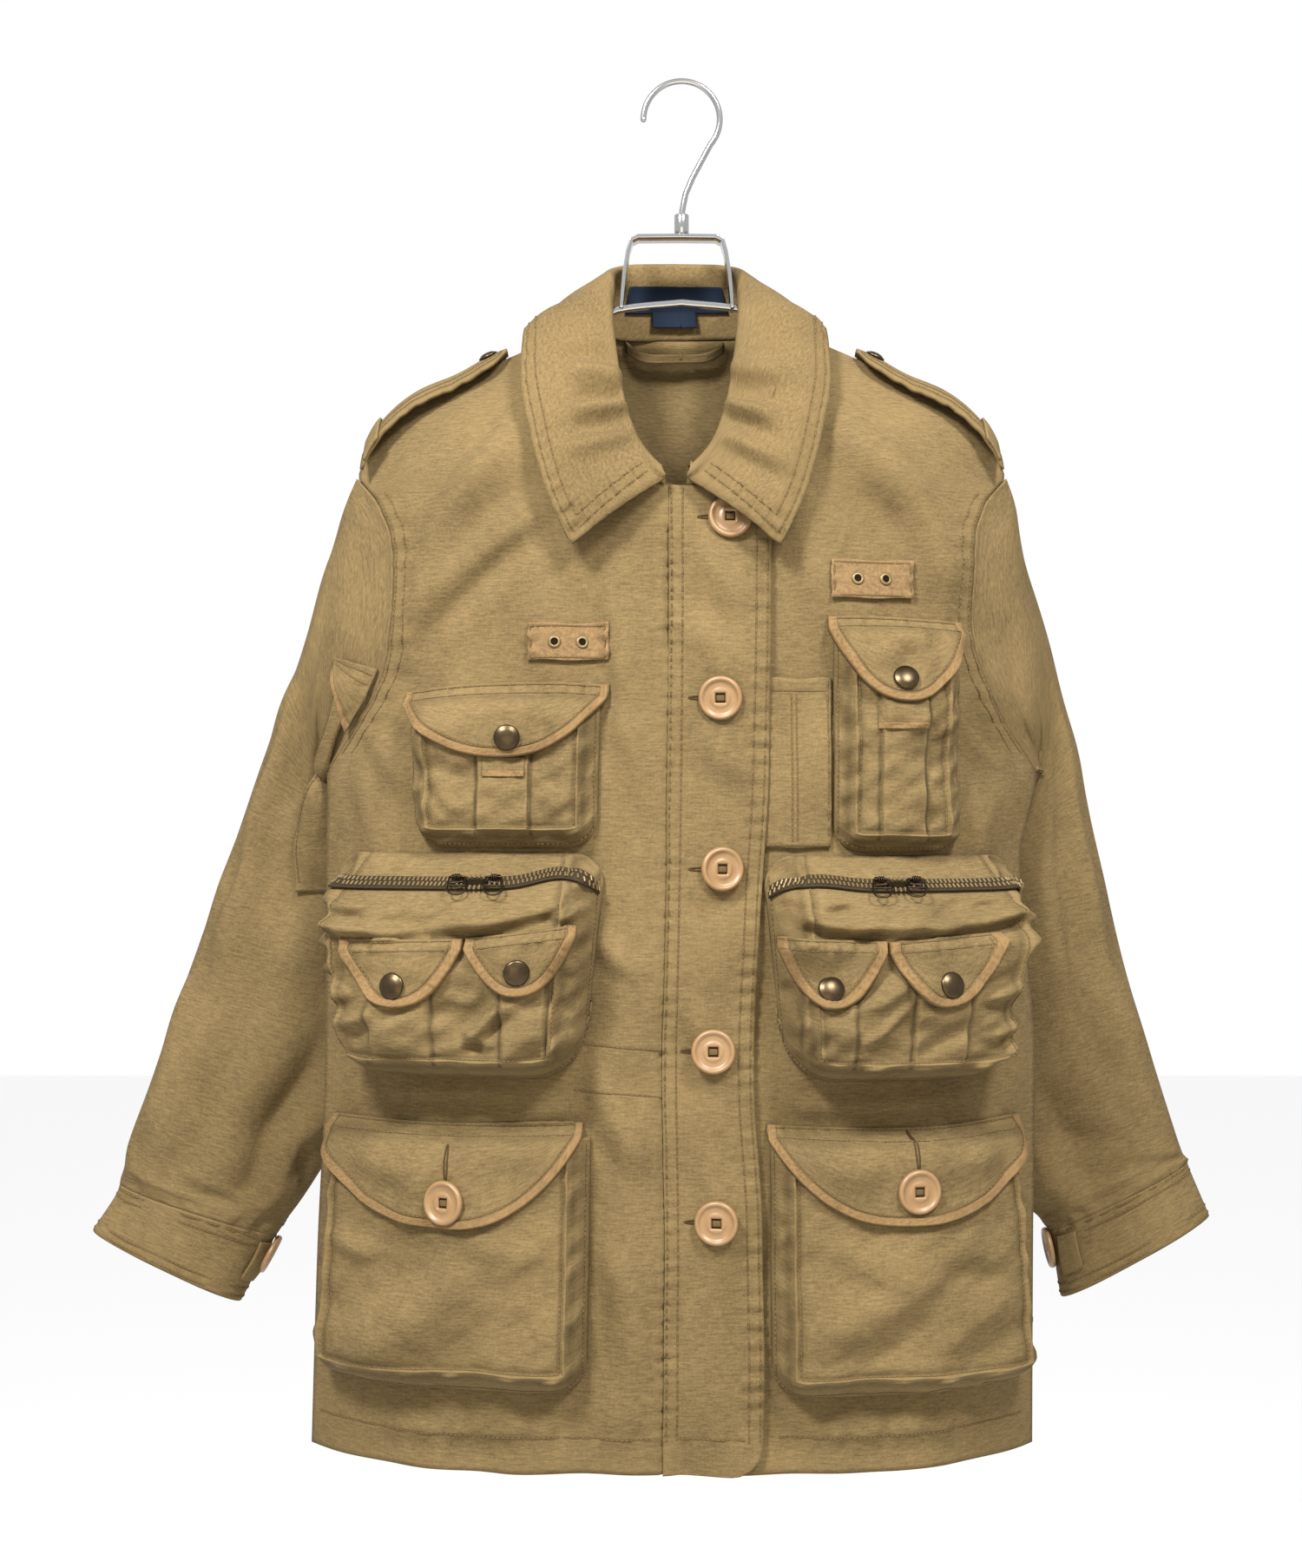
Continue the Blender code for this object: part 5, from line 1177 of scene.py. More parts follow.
@dataclass
class Collar:
    """Collar turned over at its roll line, with the neck label, size tab and hanging loop."""

    body: Body
    # Share of the half length, then x, y and z of the roll line and of the outer edge
    rows: tuple = (
        (0.0, 0.0, 0.04, -0.103, 0.0, 0.064, -0.166), (0.2, 0.026, 0.037, -0.104, 0.035, 0.06, -0.164),
        (0.36, 0.0365, 0.025, -0.108, 0.068, 0.046, -0.157),
        (0.5, 0.0385, 0.006, -0.117, 0.0885, 0.02, -0.149),
        (0.58, 0.0385, -0.006, -0.13, 0.0925, -0.006, -0.1515),
        (0.65, 0.0375, -0.017, -0.15, 0.094, -0.034, -0.18),
        (0.78, 0.031, -0.04, -0.198, 0.087, -0.06, -0.222),
        (0.9, 0.0215, -0.056, -0.2265, 0.0755, -0.071, -0.262),
        (1.0, 0.008, -0.067, -0.245, 0.0615, -0.0745, -0.2905),
    )
    roll: float = 0.004
    belly: float = 0.0045
    seam_lift: float = 0.0008
    back_share: float = 0.45
    stand: float = 0.36
    fall: float = 0.50
    step: float = 0.02
    thick: float = 0.0026
    half_long: float = 0.30
    wide: float = 0.13
    label: tuple[float, float] = (-0.227, 0.223)
    label_rise: tuple[float, float] = (0.36, 0.74)
    size_tab: tuple[float, float] = (-0.10, 0.085)
    size_tab_rise: tuple[float, float] = (0.16, 0.40)
    loop_half: float = 0.0320
    loop_z: float = -0.1560
    loop_sag: float = 0.0060
    loop_wide: float = 0.0060
    loop_thick: float = 0.0020
    loop_clear: float = 0.0085
    # Creases in millimetres along and across the collar: start, end, width, height and bend
    creases: tuple = (
        (-237, 60, -224, 99, 4.5, -1, 0), (-245.5, 56, -234.5, 100, 4.6, 7.4, 0),
        (-255, 70, -239, 110, 5.5, -1, 0), (-226, 56, -211, 102, 5, 6.6, 0), (-267, 62, -253, 114, 6, 5.6, 0),
        (-180, 78, -174, 127, 9, 2.2, 0), (232.5, 60, 229, 98, 5, -1, 0), (243.5, 56, 240, 99, 4.6, 7.2, 0),
        (221.5, 56, 214, 102, 5, 6.4, 0), (256, 70, 250, 109, 6, -0.8, 0), (268, 64, 261, 114, 5.5, 5, 0),
        (180, 78, 174, 127, 9, 2, 0), (-60, 78, -72, 123.5, 12, 1.8, 0), (48, 78, 60, 123.5, 12, 1.8, 0),
    )

    def __post_init__(self) -> None:
        """Draws the smooth lines through the table."""
        self.lines = lines(self.rows)

    def seam(self, u: Array, side: float) -> Array:
        """Neck edge of the panels.

        Args:
            u: share from the middle of the back to the front end.
            side: sign of the side.

        Returns:
            Points of the edge.
        """
        body = self.body
        share = u / self.back_share
        back_x = body.neck_x + side * share * (body.ridge_x(body.back_neck_z) - side * body.neck_x)
        behind = body.back(back_x, body.back_neck_z)
        down = clamped((u - self.back_share) / (1.0 - self.back_share))
        z = between(body.neck_top_z, body.neck_front_z, down)
        x = body.neck_x + side * body.neck_half(z)
        before = body.face(x, z) if side < 0 else body.front(x, z)
        return np.where((share <= 1.0)[..., None], behind, before)

    def roll_line(self, share: Array) -> Array:
        """Points of the roll line."""
        return np.stack([line(share) for line in self.lines[:3]], axis=-1)

    def outer_edge(self, share: Array) -> Array:
        """Points of the outer edge."""
        return np.stack([line(share) for line in self.lines[3:]], axis=-1)

    def point(self, u: Array, v: Array) -> Array:
        """Face of the collar.

        Args:
            u: from the right end (-1) to the left end (1).
            v: from the neck seam (0) to the outer edge (1).

        Returns:
            The points.
        """
        u, v = np.broadcast_arrays(np.asarray(u, float), np.asarray(v, float))
        side = np.where(u < 0.0, -1.0, 1.0)
        reach = np.abs(u)
        seam = np.where((side < 0)[..., None], self.seam(reach, -1.0), self.seam(reach, 1.0))
        seam[..., 0] = side * (seam[..., 0] - self.body.neck_x)
        seam[..., 2] = seam[..., 2] + self.seam_lift
        roll, edge = self.roll_line(reach), self.outer_edge(reach)
        ahead = self.roll_line(reach + self.step) + self.outer_edge(reach + self.step)
        behind = self.roll_line(reach - self.step) + self.outer_edge(reach - self.step)
        leaf = unit(np.cross(ahead - behind, edge - roll))
        up = unit(roll - seam)
        out = unit(leaf - (leaf * up).sum(axis=-1, keepdims=True) * up)
        middle = roll - self.roll * up
        stand = clamped(v / self.stand)[..., None]
        turn = (clamped((v - self.stand) / (self.fall - self.stand)) * math.pi)[..., None]
        fall = clamped((v - self.fall) / (1.0 - self.fall))[..., None]
        standing = between(seam, middle - self.roll * out, stand)
        rolling = middle - self.roll * np.cos(turn) * out + self.roll * np.sin(turn) * up
        falling = between(middle + self.roll * out, edge, fall) + self.belly * np.sin(math.pi * fall) * leaf
        v = v[..., None]
        point = np.where(v <= self.stand, standing, np.where(v < self.fall, rolling, falling))
        point[..., 0] = self.body.neck_x + side * point[..., 0]
        return point

    def relief(self, u: Array, v: Array) -> Array:
        """Creases and puckered edges of the collar.

        Args:
            u: from the right end (-1) to the left end (1).
            v: from the neck seam (0) to the outer edge (1).

        Returns:
            Heights at these places.
        """
        edge = bell(v - 0.942, 0.035) * waves(21, 0.024, u)
        ends = bell(np.abs(u) - 0.975, 0.018) * waves(22, 0.060, v) * smooth((v - 0.5) / 0.05)
        fall = smooth((v - 0.43) / 0.08)
        ridges = creased(self.creases, self.half_long * u, self.wide * v)
        return fall * ridges + 0.0008 * fall * edge + 0.0007 * ends

    def face(self, u: Array, v: Array) -> Array:
        """Face of the collar with its creases."""
        return lifted(self.point, u, v, self.relief(u, v))

    def wear(self, u: Array, v: Array) -> Array:
        """Pale wear along the roll and the outer edges."""
        edge = np.maximum(bell(v - 1.0, 0.05), bell(np.abs(u) - 1.0, 0.02))
        return 0.35 * edge + 0.15 * bell(v - 0.44, 0.04)

    def build(self) -> None:
        """Makes the collar, its stitching, the label, the size tab and the loop."""
        Cloth("collar", lambda u, v: self.face(2.0 * u - 1.0, v), 280, 60, SHADED_COLLAR_CLOTH, thick=self.thick,
              held=Held.FOLDED, rests_on=("front_right", "front_left", "back"),
              wear=lambda u, v: self.wear(2.0 * u - 1.0, v)).build()
        rows = Stitching("stitches_collar")
        for end, edge in ((0.986, 0.967), (0.965, 0.917)):
            u = np.linspace(-end, end, 120)
            rows.row(self.face, np.c_[u, edge + 0.0 * u])
            for side in Side:
                v = np.linspace(0.52, edge, 30)
                rows.row(self.face, np.c_[side.value * end + 0.0 * v, v])
        rows.build()
        self.strip("neck_label", self.label, self.label_rise, 0.0010, True)
        self.strip("size_tab", self.size_tab, self.size_tab_rise, 0.0006, False)
        self.build_loop()

    def strip(self, name: str, limits: tuple, rise: tuple, thick: float, solid: bool) -> None:
        """Makes a bare label on the inside of the stand.

        Args:
            name: name of the piece.
            limits: ends along the collar.
            rise: lower and upper share of the stand.
            thick: thickness of the cloth.
            solid: whether it stands for the solid of this name.
        """
        off = LIE + thick + (0.0 if solid else 0.0004)

        def surface(u: Array, v: Array) -> Array:
            """Label, off the stand; the size tab sways out."""
            sway = 0.0 if solid else 0.003 * (1.0 - v)
            return lifted(self.point, between(*limits, u), self.stand * between(*rise, v), off + sway)

        Cloth(name, surface, 40, 12, LABEL_CLOTH, solid, thick=thick, rests_on=("collar",)).build()

    def build_loop(self) -> None:
        """Makes the hanging loop."""
        body = self.body

        def surface(u: Array, v: Array) -> Array:
            """Loop that sags between its sewn ends.

            Args:
                u: share across.
                v: share up.

            Returns:
                The points.
            """
            x = body.neck_x + self.loop_half * (1.0 - 2.0 * u)
            sag = self.loop_sag * (1.0 - ((x - body.neck_x) / self.loop_half) ** 4)
            z = self.loop_z - sag + self.loop_wide * (v - 0.5)
            far = CLOTH + LIE + self.loop_clear * (sag / self.loop_sag)
            return body.back(x, z, -far - self.loop_thick)

        Cloth("hanging_loop", surface, 40, 5, CANVAS, thick=self.loop_thick, rests_on=("back",),
              flip=-1.0, wear=lambda u, v: 0.5 * np.abs(2.0 * v - 1.0)).build()


# Rings of both sleeves from the armhole down: y of the outer and of the inner edge, half depth
RING_DEPTHS = (
    (0.0, 0.0, 0.034), (0.008, 0.014, 0.034), (0.02, 0.032, 0.035), (0.034, 0.052, 0.036),
    (0.046, 0.066, 0.036), (0.056, 0.074, 0.034), (0.063, 0.074, 0.031), (0.067, 0.07, 0.028),
    (0.068, 0.068, 0.025), (0.068, 0.068, 0.023), (0.068, 0.068, 0.021),
)
# x and z of the outer and of the inner edge of each ring
RIGHT_RINGS = (
    (0.2, -0.243, 0.219, -0.4245), (0.2085, -0.26, 0.2245, -0.426), (0.219, -0.29, 0.225, -0.434),
    (0.2405, -0.3548, 0.216, -0.448), (0.2659, -0.4193, 0.192, -0.472), (0.2902, -0.4858, 0.165, -0.515),
    (0.3153, -0.5529, 0.178, -0.588), (0.3395, -0.6202, 0.215, -0.653), (0.3554, -0.6651, 0.241, -0.695),
    (0.3599, -0.6886, 0.2593, -0.721), (0.3778, -0.7182, 0.2827, -0.764),
)
LEFT_RINGS = (
    (0.2, -0.243, 0.219, -0.4245), (0.207, -0.26, 0.2245, -0.426), (0.213, -0.29, 0.225, -0.434),
    (0.2335, -0.3538, 0.216, -0.448), (0.2522, -0.4193, 0.19, -0.472), (0.2686, -0.4858, 0.156, -0.515),
    (0.2858, -0.5529, 0.156, -0.588), (0.3068, -0.6202, 0.186, -0.653), (0.3215, -0.6651, 0.215, -0.697),
    (0.3254, -0.6746, 0.2366, -0.7182), (0.34, -0.7087, 0.245, -0.7613),
)
# Creases of the sleeves: ring, angle, lean, width, spread and height
COMMON_DRAGS = (
    (3.5, 1.1, 0.35, 0.34, 1.0, 0.0035), (4.6, 0.8, -0.3, 0.32, 0.9, 0.0045),
    (5.6, 1.2, 0.3, 0.32, 1.0, 0.0045), (6.6, 0.8, -0.25, 0.32, 0.9, 0.004),
    (8.2, 1.4, 0.15, 0.34, 1.1, 0.003), (4.9, 4.6, 0.3, 0.34, 1.0, 0.004), (6.1, 4.4, -0.3, 0.34, 1.0, 0.004),
)
RIGHT_DRAGS = (
    (3.0, 1.55, 0.0, 1.2, 0.16, 0.0034), (3.2, 1.15, 0.0, 1.4, 0.2, -0.0022),
    (4.6, 0.75, 0.0, 1.6, 0.15, 0.003), (4.8, 1.05, 0.0, 1.5, 0.12, -0.002),
    (6.2, 0.95, 0.2, 1.6, 0.14, 0.003), (6.5, 1.28, 0.2, 1.5, 0.12, -0.0026),
    (6.6, 1.6, 0.0, 1.5, 0.14, 0.0036), (6.9, 1.92, 0.0, 1.3, 0.12, -0.0028),
    (7.1, 2.25, 0.0, 1.2, 0.15, 0.0034), (7.4, 2.45, 0.8, 0.2, 0.5, -0.0034),
    (5.1, 1.9, 0.6, 0.22, 0.5, -0.0026), (8.3, 1.9, 0.4, 0.14, 0.5, 0.0018),
    (8.6, 1.2, 0.2, 0.1, 0.6, 0.0014), (3.6, 4.4, 0.6, 0.2, 0.8, 0.003), (7.3, 4.6, -0.4, 0.2, 0.8, 0.0028),
    (5.2, 4.9, 0.0, 1.6, 0.2, 0.003), (6.0, 4.3, 0.0, 1.6, 0.2, -0.0025),
)
LEFT_DRAGS = (
    (3.1, 1.6, 0.0, 1.3, 0.18, 0.0032), (3.6, 1.1, 0.0, 1.5, 0.22, -0.0022),
    (4.9, 0.8, 0.0, 1.6, 0.15, 0.0028), (5.6, 1.35, 0.0, 1.6, 0.14, 0.0032),
    (5.9, 1.05, 0.0, 1.5, 0.12, -0.0026), (6.4, 1.7, 0.2, 1.4, 0.13, -0.0028),
    (6.8, 2.0, 0.0, 1.3, 0.14, 0.0034), (6.9, 1.2, -0.5, 0.2, 0.5, 0.0024),
    (7.4, 1.55, -0.6, 0.18, 0.5, -0.0026), (7.8, 1.0, -0.5, 0.16, 0.5, 0.0024),
    (8.3, 1.6, 0.3, 0.13, 0.5, 0.0018), (8.6, 2.1, 0.2, 0.1, 0.6, 0.0014), (3.7, 4.7, -0.5, 0.2, 0.8, 0.003),
    (7.1, 4.3, 0.4, 0.2, 0.8, 0.0028), (5.0, 4.5, 0.0, 1.6, 0.2, 0.003), (6.2, 5.0, 0.0, 1.6, 0.2, -0.0025),
)


@dataclass
class Sleeve:
    """One sleeve with its cuff, cuff keeper and stitching."""

    body: Body
    side: Side
    seam_run: float = 2.5
    roundness: float = 0.85
    cuff_start: float = 9.002
    armhole_gap: float = 0.0007
    button_s: float = 9.32
    common: float = 0.3
    deepened: float = 1.6
    sleeve_end: float = 9.0
    cuff_end: float = 10.0
    cuff_rows: tuple[float, ...] = (9.07, 9.22, 9.82, 9.94)
    seam_rows: tuple[float, float] = (0.0, 0.07)
    # Reach round the cuff, first ring, reach along, lift and bow of the keeper
    keeper: tuple = (0.42, 9.14, 0.56, 0.0018, 0.0020)

    def __post_init__(self) -> None:
        """Draws the smooth lines through the table."""
        rings = RIGHT_RINGS if self.side is Side.RIGHT else LEFT_RINGS
        rows = enumerate(zip(rings, RING_DEPTHS))
        self.lines = lines([(k, *edges, *depths) for k, (edges, depths) in rows])
        own = RIGHT_DRAGS if self.side is Side.RIGHT else LEFT_DRAGS
        self.drags = [(*row, self.common * height) for *row, height in COMMON_DRAGS]
        self.drags += [(*row, self.deepened * height) for *row, height in own]

    def armhole_loop(self, turn: Array) -> Array:
        """Seam round the armhole.

        Args:
            turn: angle round it; the front half comes first.

        Returns:
            Points of the seam.
        """
        body, sign = self.body, self.side.value
        z = between(body.tip_z, body.armpit_z, (1.0 - np.cos(turn)) / 2.0)
        before = body.front(sign * body.armhole_front(z), z)
        behind = body.back(sign * body.armhole_back(z), z)
        loop = np.where((np.sin(turn) >= 0.0)[..., None], before, behind)
        nought = np.zeros_like(turn)
        return loop + self.armhole_gap * np.stack([nought + sign, nought, -np.cos(turn)], axis=-1)

    def oval(self, s: Array, turn: Array) -> Array:
        """Plain oval ring: outer edge at turn 0, front a quarter turn on.

        Args:
            s: ring.
            turn: angle round the ring.

        Returns:
            The points.
        """
        out_x, out_z, in_x, in_z, out_y, in_y, half = (line(s) for line in self.lines)
        outside = np.stack([self.side.value * out_x, out_y, out_z], axis=-1)
        inside = np.stack([self.side.value * in_x, in_y, in_z], axis=-1)
        wide = np.sign(np.cos(turn)) * np.abs(np.cos(turn)) ** self.roundness
        deep = np.sign(np.sin(turn)) * np.abs(np.sin(turn)) ** self.roundness
        point = (outside + inside) / 2.0 + (outside - inside) / 2.0 * wide[..., None]
        point[..., 1] = point[..., 1] - half * deep
        return point

    def point(self, s: Array, turn: Array) -> Array:
        """Outer face of the sleeve and its cuff.

        Args:
            s: ring.
            turn: angle round the ring.

        Returns:
            The points.
        """
        s, turn = np.broadcast_arrays(np.asarray(s, float), np.asarray(turn, float))
        point = self.oval(s, turn)
        near = 1.0 - smooth(s / self.seam_run)
        point = point + near[..., None] * (self.armhole_loop(turn) - self.oval(np.zeros_like(s), turn))
        bulge = 0.0013 * smooth(s) * waves(31 + int(self.side.value), 0.9, s, turn)
        for ring, angle, lean, width, spread, height in self.drags:
            swing = (turn - angle + math.pi) % (2.0 * math.pi) - math.pi
            bulge = bulge + height * bell(s - ring - lean * swing, width) * bell(swing, spread)
        bulge = bulge * smooth(np.abs(np.sin(turn)) / 0.45) * (1.0 - 0.75 * smooth((s - 8.8) / 0.2))
        bulge = bulge + 0.0008 * bell(s - 8.85, 0.22) * waves(33, 0.24, turn)
        middle = (self.oval(s, np.zeros_like(s)) + self.oval(s, np.full_like(s, math.pi))) / 2.0
        return point + bulge[..., None] * unit(point - middle)

    def by_turn(self, turn: Array, s: Array) -> Array:
        """Outer face with the angle first."""
        return self.point(s, turn)

    def build(self) -> None:
        """Makes the sleeve, the cuff, its keeper and the stitching."""
        word, sign = self.side.word, self.side.value
        spans = (("sleeve_", 0.0, self.sleeve_end, 130), ("cuff_", self.cuff_start, self.cuff_end, 20))
        for name, low, high, rows in spans:
            def surface(u: Array, v: Array, low: float = low, high: float = high) -> Array:
                """Tube between two rings."""
                return self.point(between(high, low, v), math.pi + 2.0 * math.pi * u)

            def wear(u: Array, v: Array, cuff: bool = low > 1.0) -> Array:
                """Pale wear at the ends."""
                ends = bell(v, 0.12) + bell(1.0 - v, 0.12)
                return 0.25 * ends if cuff else 0.2 * bell(1.0 - v, 0.012)

            held = ("front_" + word, "back") if low < 1.0 else ("sleeve_" + word,)
            Cloth(name + word, surface, 84, rows, CANVAS, held=Held.HUNG, rests_on=held,
                  around=True, wear=wear, flip=-sign).build()
        stitches = Stitching("stitches_cuff_" + word)
        turn = np.linspace(0.0, 2.0 * math.pi, 120)
        for s in self.cuff_rows:
            stitches.row(self.by_turn, np.c_[turn, s + 0.0 * turn], sign)
        for shift in self.seam_rows:
            s = np.linspace(0.4, 8.9, 160)
            stitches.row(self.by_turn, np.c_[math.pi * 1.06 + shift + 0.0 * s, s], sign)
        stitches.build()
        self.build_keeper()

    def build_keeper(self) -> None:
        """Makes the short belt keeper beside the cuff button."""
        word, sign = self.side.word, self.side.value
        start = math.pi - 0.55 if self.side is Side.RIGHT else math.pi - 0.85
        reach, low, long, lift, bow = self.keeper

        def surface(u: Array, v: Array) -> Array:
            """Keeper that bows off the cuff."""
            off = lift + bow * np.sin(math.pi * clamped(v))
            return lifted(self.by_turn, start + reach * u, low + long * v, off, sign)

        Cloth("cuff_keeper_" + word, surface, 12, 16, CANVAS, False, rests_on=("cuff_" + word,),
              wear=lambda u, v: 0.5 * np.abs(2.0 * u - 1.0), flip=sign).build()


class Pleat(NamedTuple):
    """Box pleat of a pocket."""

    x: float
    half: float
    low: float
    high: float


CHEST_CUT = dict(top_corner=0.0, depth=0.014, form=((0.30, 1.0), (0.72, 1.0), (1.0, 0.55)))
ZIP_CUT = dict(
    corner=0.034, top_corner=0.018, depth=0.040, run=0.020, face_low=0.085, columns=130, rows=110,
    rim_high=0.80, form=((0.34, 1.0), (0.60, 1.0), (0.72, 0.95), (0.80, 0.74), (0.90, 0.36), (1.0, 0.0)),
    crush=2.2, crumple=0.0024, ripple=0.0020)
CARGO_CUT = dict(
    corner=0.020, top_corner=0.0, depth=0.022, run=0.012, face_low=0.080, columns=96, rows=90,
    form=((0.30, 0.97), (0.60, 0.90), (0.85, 0.80), (1.0, 0.5)), crush=2.0, ripple=0.0005)
# Creases of the pockets and flaps in millimetres: start, end, width, height and bend
CREASES = {
    "chest_pocket_right": (
        (-148, -420, -128, -450, 4, 1.6, 2), (-140, -415, -122, -426, 4, 1.2, -1),
        (-80, -452, -62, -430, 4, 1.6, 2), (-84, -432, -66, -415, 4, 1.2, 1),
    ),
    "chest_pocket_left": (
        (103, -395, 112, -402, 3, 1.4, 1), (142, -405, 153, -398, 3, 1.4, 1),
        (142, -430, 152, -420, 4, 1.4, 1),
    ),
    "zip_pocket_right": (
        (-203, -508, -132, -517, 4, 3.4, 6), (-135, -516, -60, -497, 4, 3.4, 5),
        (-200, -500, -165, -503, 4.5, 2, 2), (-90, -503, -55, -492, 4, 2.2, -2),
        (-70, -520, -62, -500, 3.5, 2.4, 2), (-126, -588, -102, -562, 3.2, 2.8, 2),
        (-118, -575, -104, -585, 3, 1.8, 1), (-124, -560, -108, -548, 4, 2, 2),
        (-190, -560, -168, -552, 4, 2.4, 2), (-192, -578, -166, -572, 4, 1.8, -2),
        (-74, -570, -60, -540, 3.5, 2.8, 2), (-70, -590, -58, -572, 3, 2.2, 1),
        (-185, -530, -178, -560, 3.5, 1.8, 1), (-206, -512, -186, -528, 4, 4, 2),
        (-200, -536, -184, -546, 3.5, 3.4, -2), (-75, -512, -52, -500, 3.5, 4, 2),
        (-66, -545, -52, -524, 3.5, 3.6, 2), (-76, -597, -66, -575, 3.5, 3.4, -1),
        (-135, -600, -104, -592, 3.5, 2.6, 2),
    ),
    "zip_pocket_left": (
        (56, -506, 120, -516, 4, 3.4, 5), (112, -516, 190, -503, 4, 3.4, 6), (60, -497, 100, -502, 4.5, 2, 2),
        (150, -503, 190, -496, 4, 2.2, -2), (96, -585, 120, -560, 3.2, 2.8, 2),
        (100, -562, 118, -550, 4, 2, 2), (154, -560, 176, -552, 4, 2.4, 2),
        (156, -582, 176, -572, 3.5, 2.2, 2), (62, -580, 68, -550, 3.5, 2.2, 2),
        (172, -548, 180, -520, 3.5, 2, 1), (50, -512, 66, -528, 4, 4, 2), (54, -545, 70, -556, 3.5, 3.4, -2),
        (176, -515, 197, -504, 3.5, 4, 2), (180, -556, 194, -534, 3.5, 3.6, 2),
        (168, -598, 180, -580, 3.5, 3.4, -1), (98, -600, 124, -592, 3.5, 2.6, 2),
    ),
    "cargo_pocket_right": (
        (-205, -757, -138, -696, 15, -3.4, 4), (-190, -775, -120, -712, 16, 2.6, 6),
        (-195, -700, -172, -712, 7, 2, 2), (-120, -690, -85, -715, 10, 1.8, 3),
        (-100, -760, -70, -715, 12, -1.8, 2),
    ),
    "cargo_pocket_left": (
        (75, -760, 140, -710, 12, 2.4, 5), (140, -770, 185, -735, 10, 2, -3),
        (85, -700, 125, -720, 8, 1.8, 3), (150, -700, 180, -715, 8, 1.6, 2), (70, -780, 120, -772, 7, 1.6, 2),
    ),
    "chest_flap_right": (
        (-120, -395, -105, -383, 6, 1, 2), (-85, -385, -70, -395, 6, 1, 2),
    ),
    "chest_flap_left": (
        (112, -362, 126, -345, 7, 1, 2), (135, -345, 145, -362, 6, 1, 2),
    ),
    "cargo_flap_right": (
        (-185, -650, -150, -662, 8, 1.4, 2), (-110, -650, -85, -640, 8, 1.4, 2),
        (-150, -675, -140, -650, 6, 1, 1),
    ),
    "cargo_flap_left": (
        (75, -650, 110, -660, 8, 1.4, 2), (150, -655, 180, -645, 8, 1.4, 2),
    ),
}


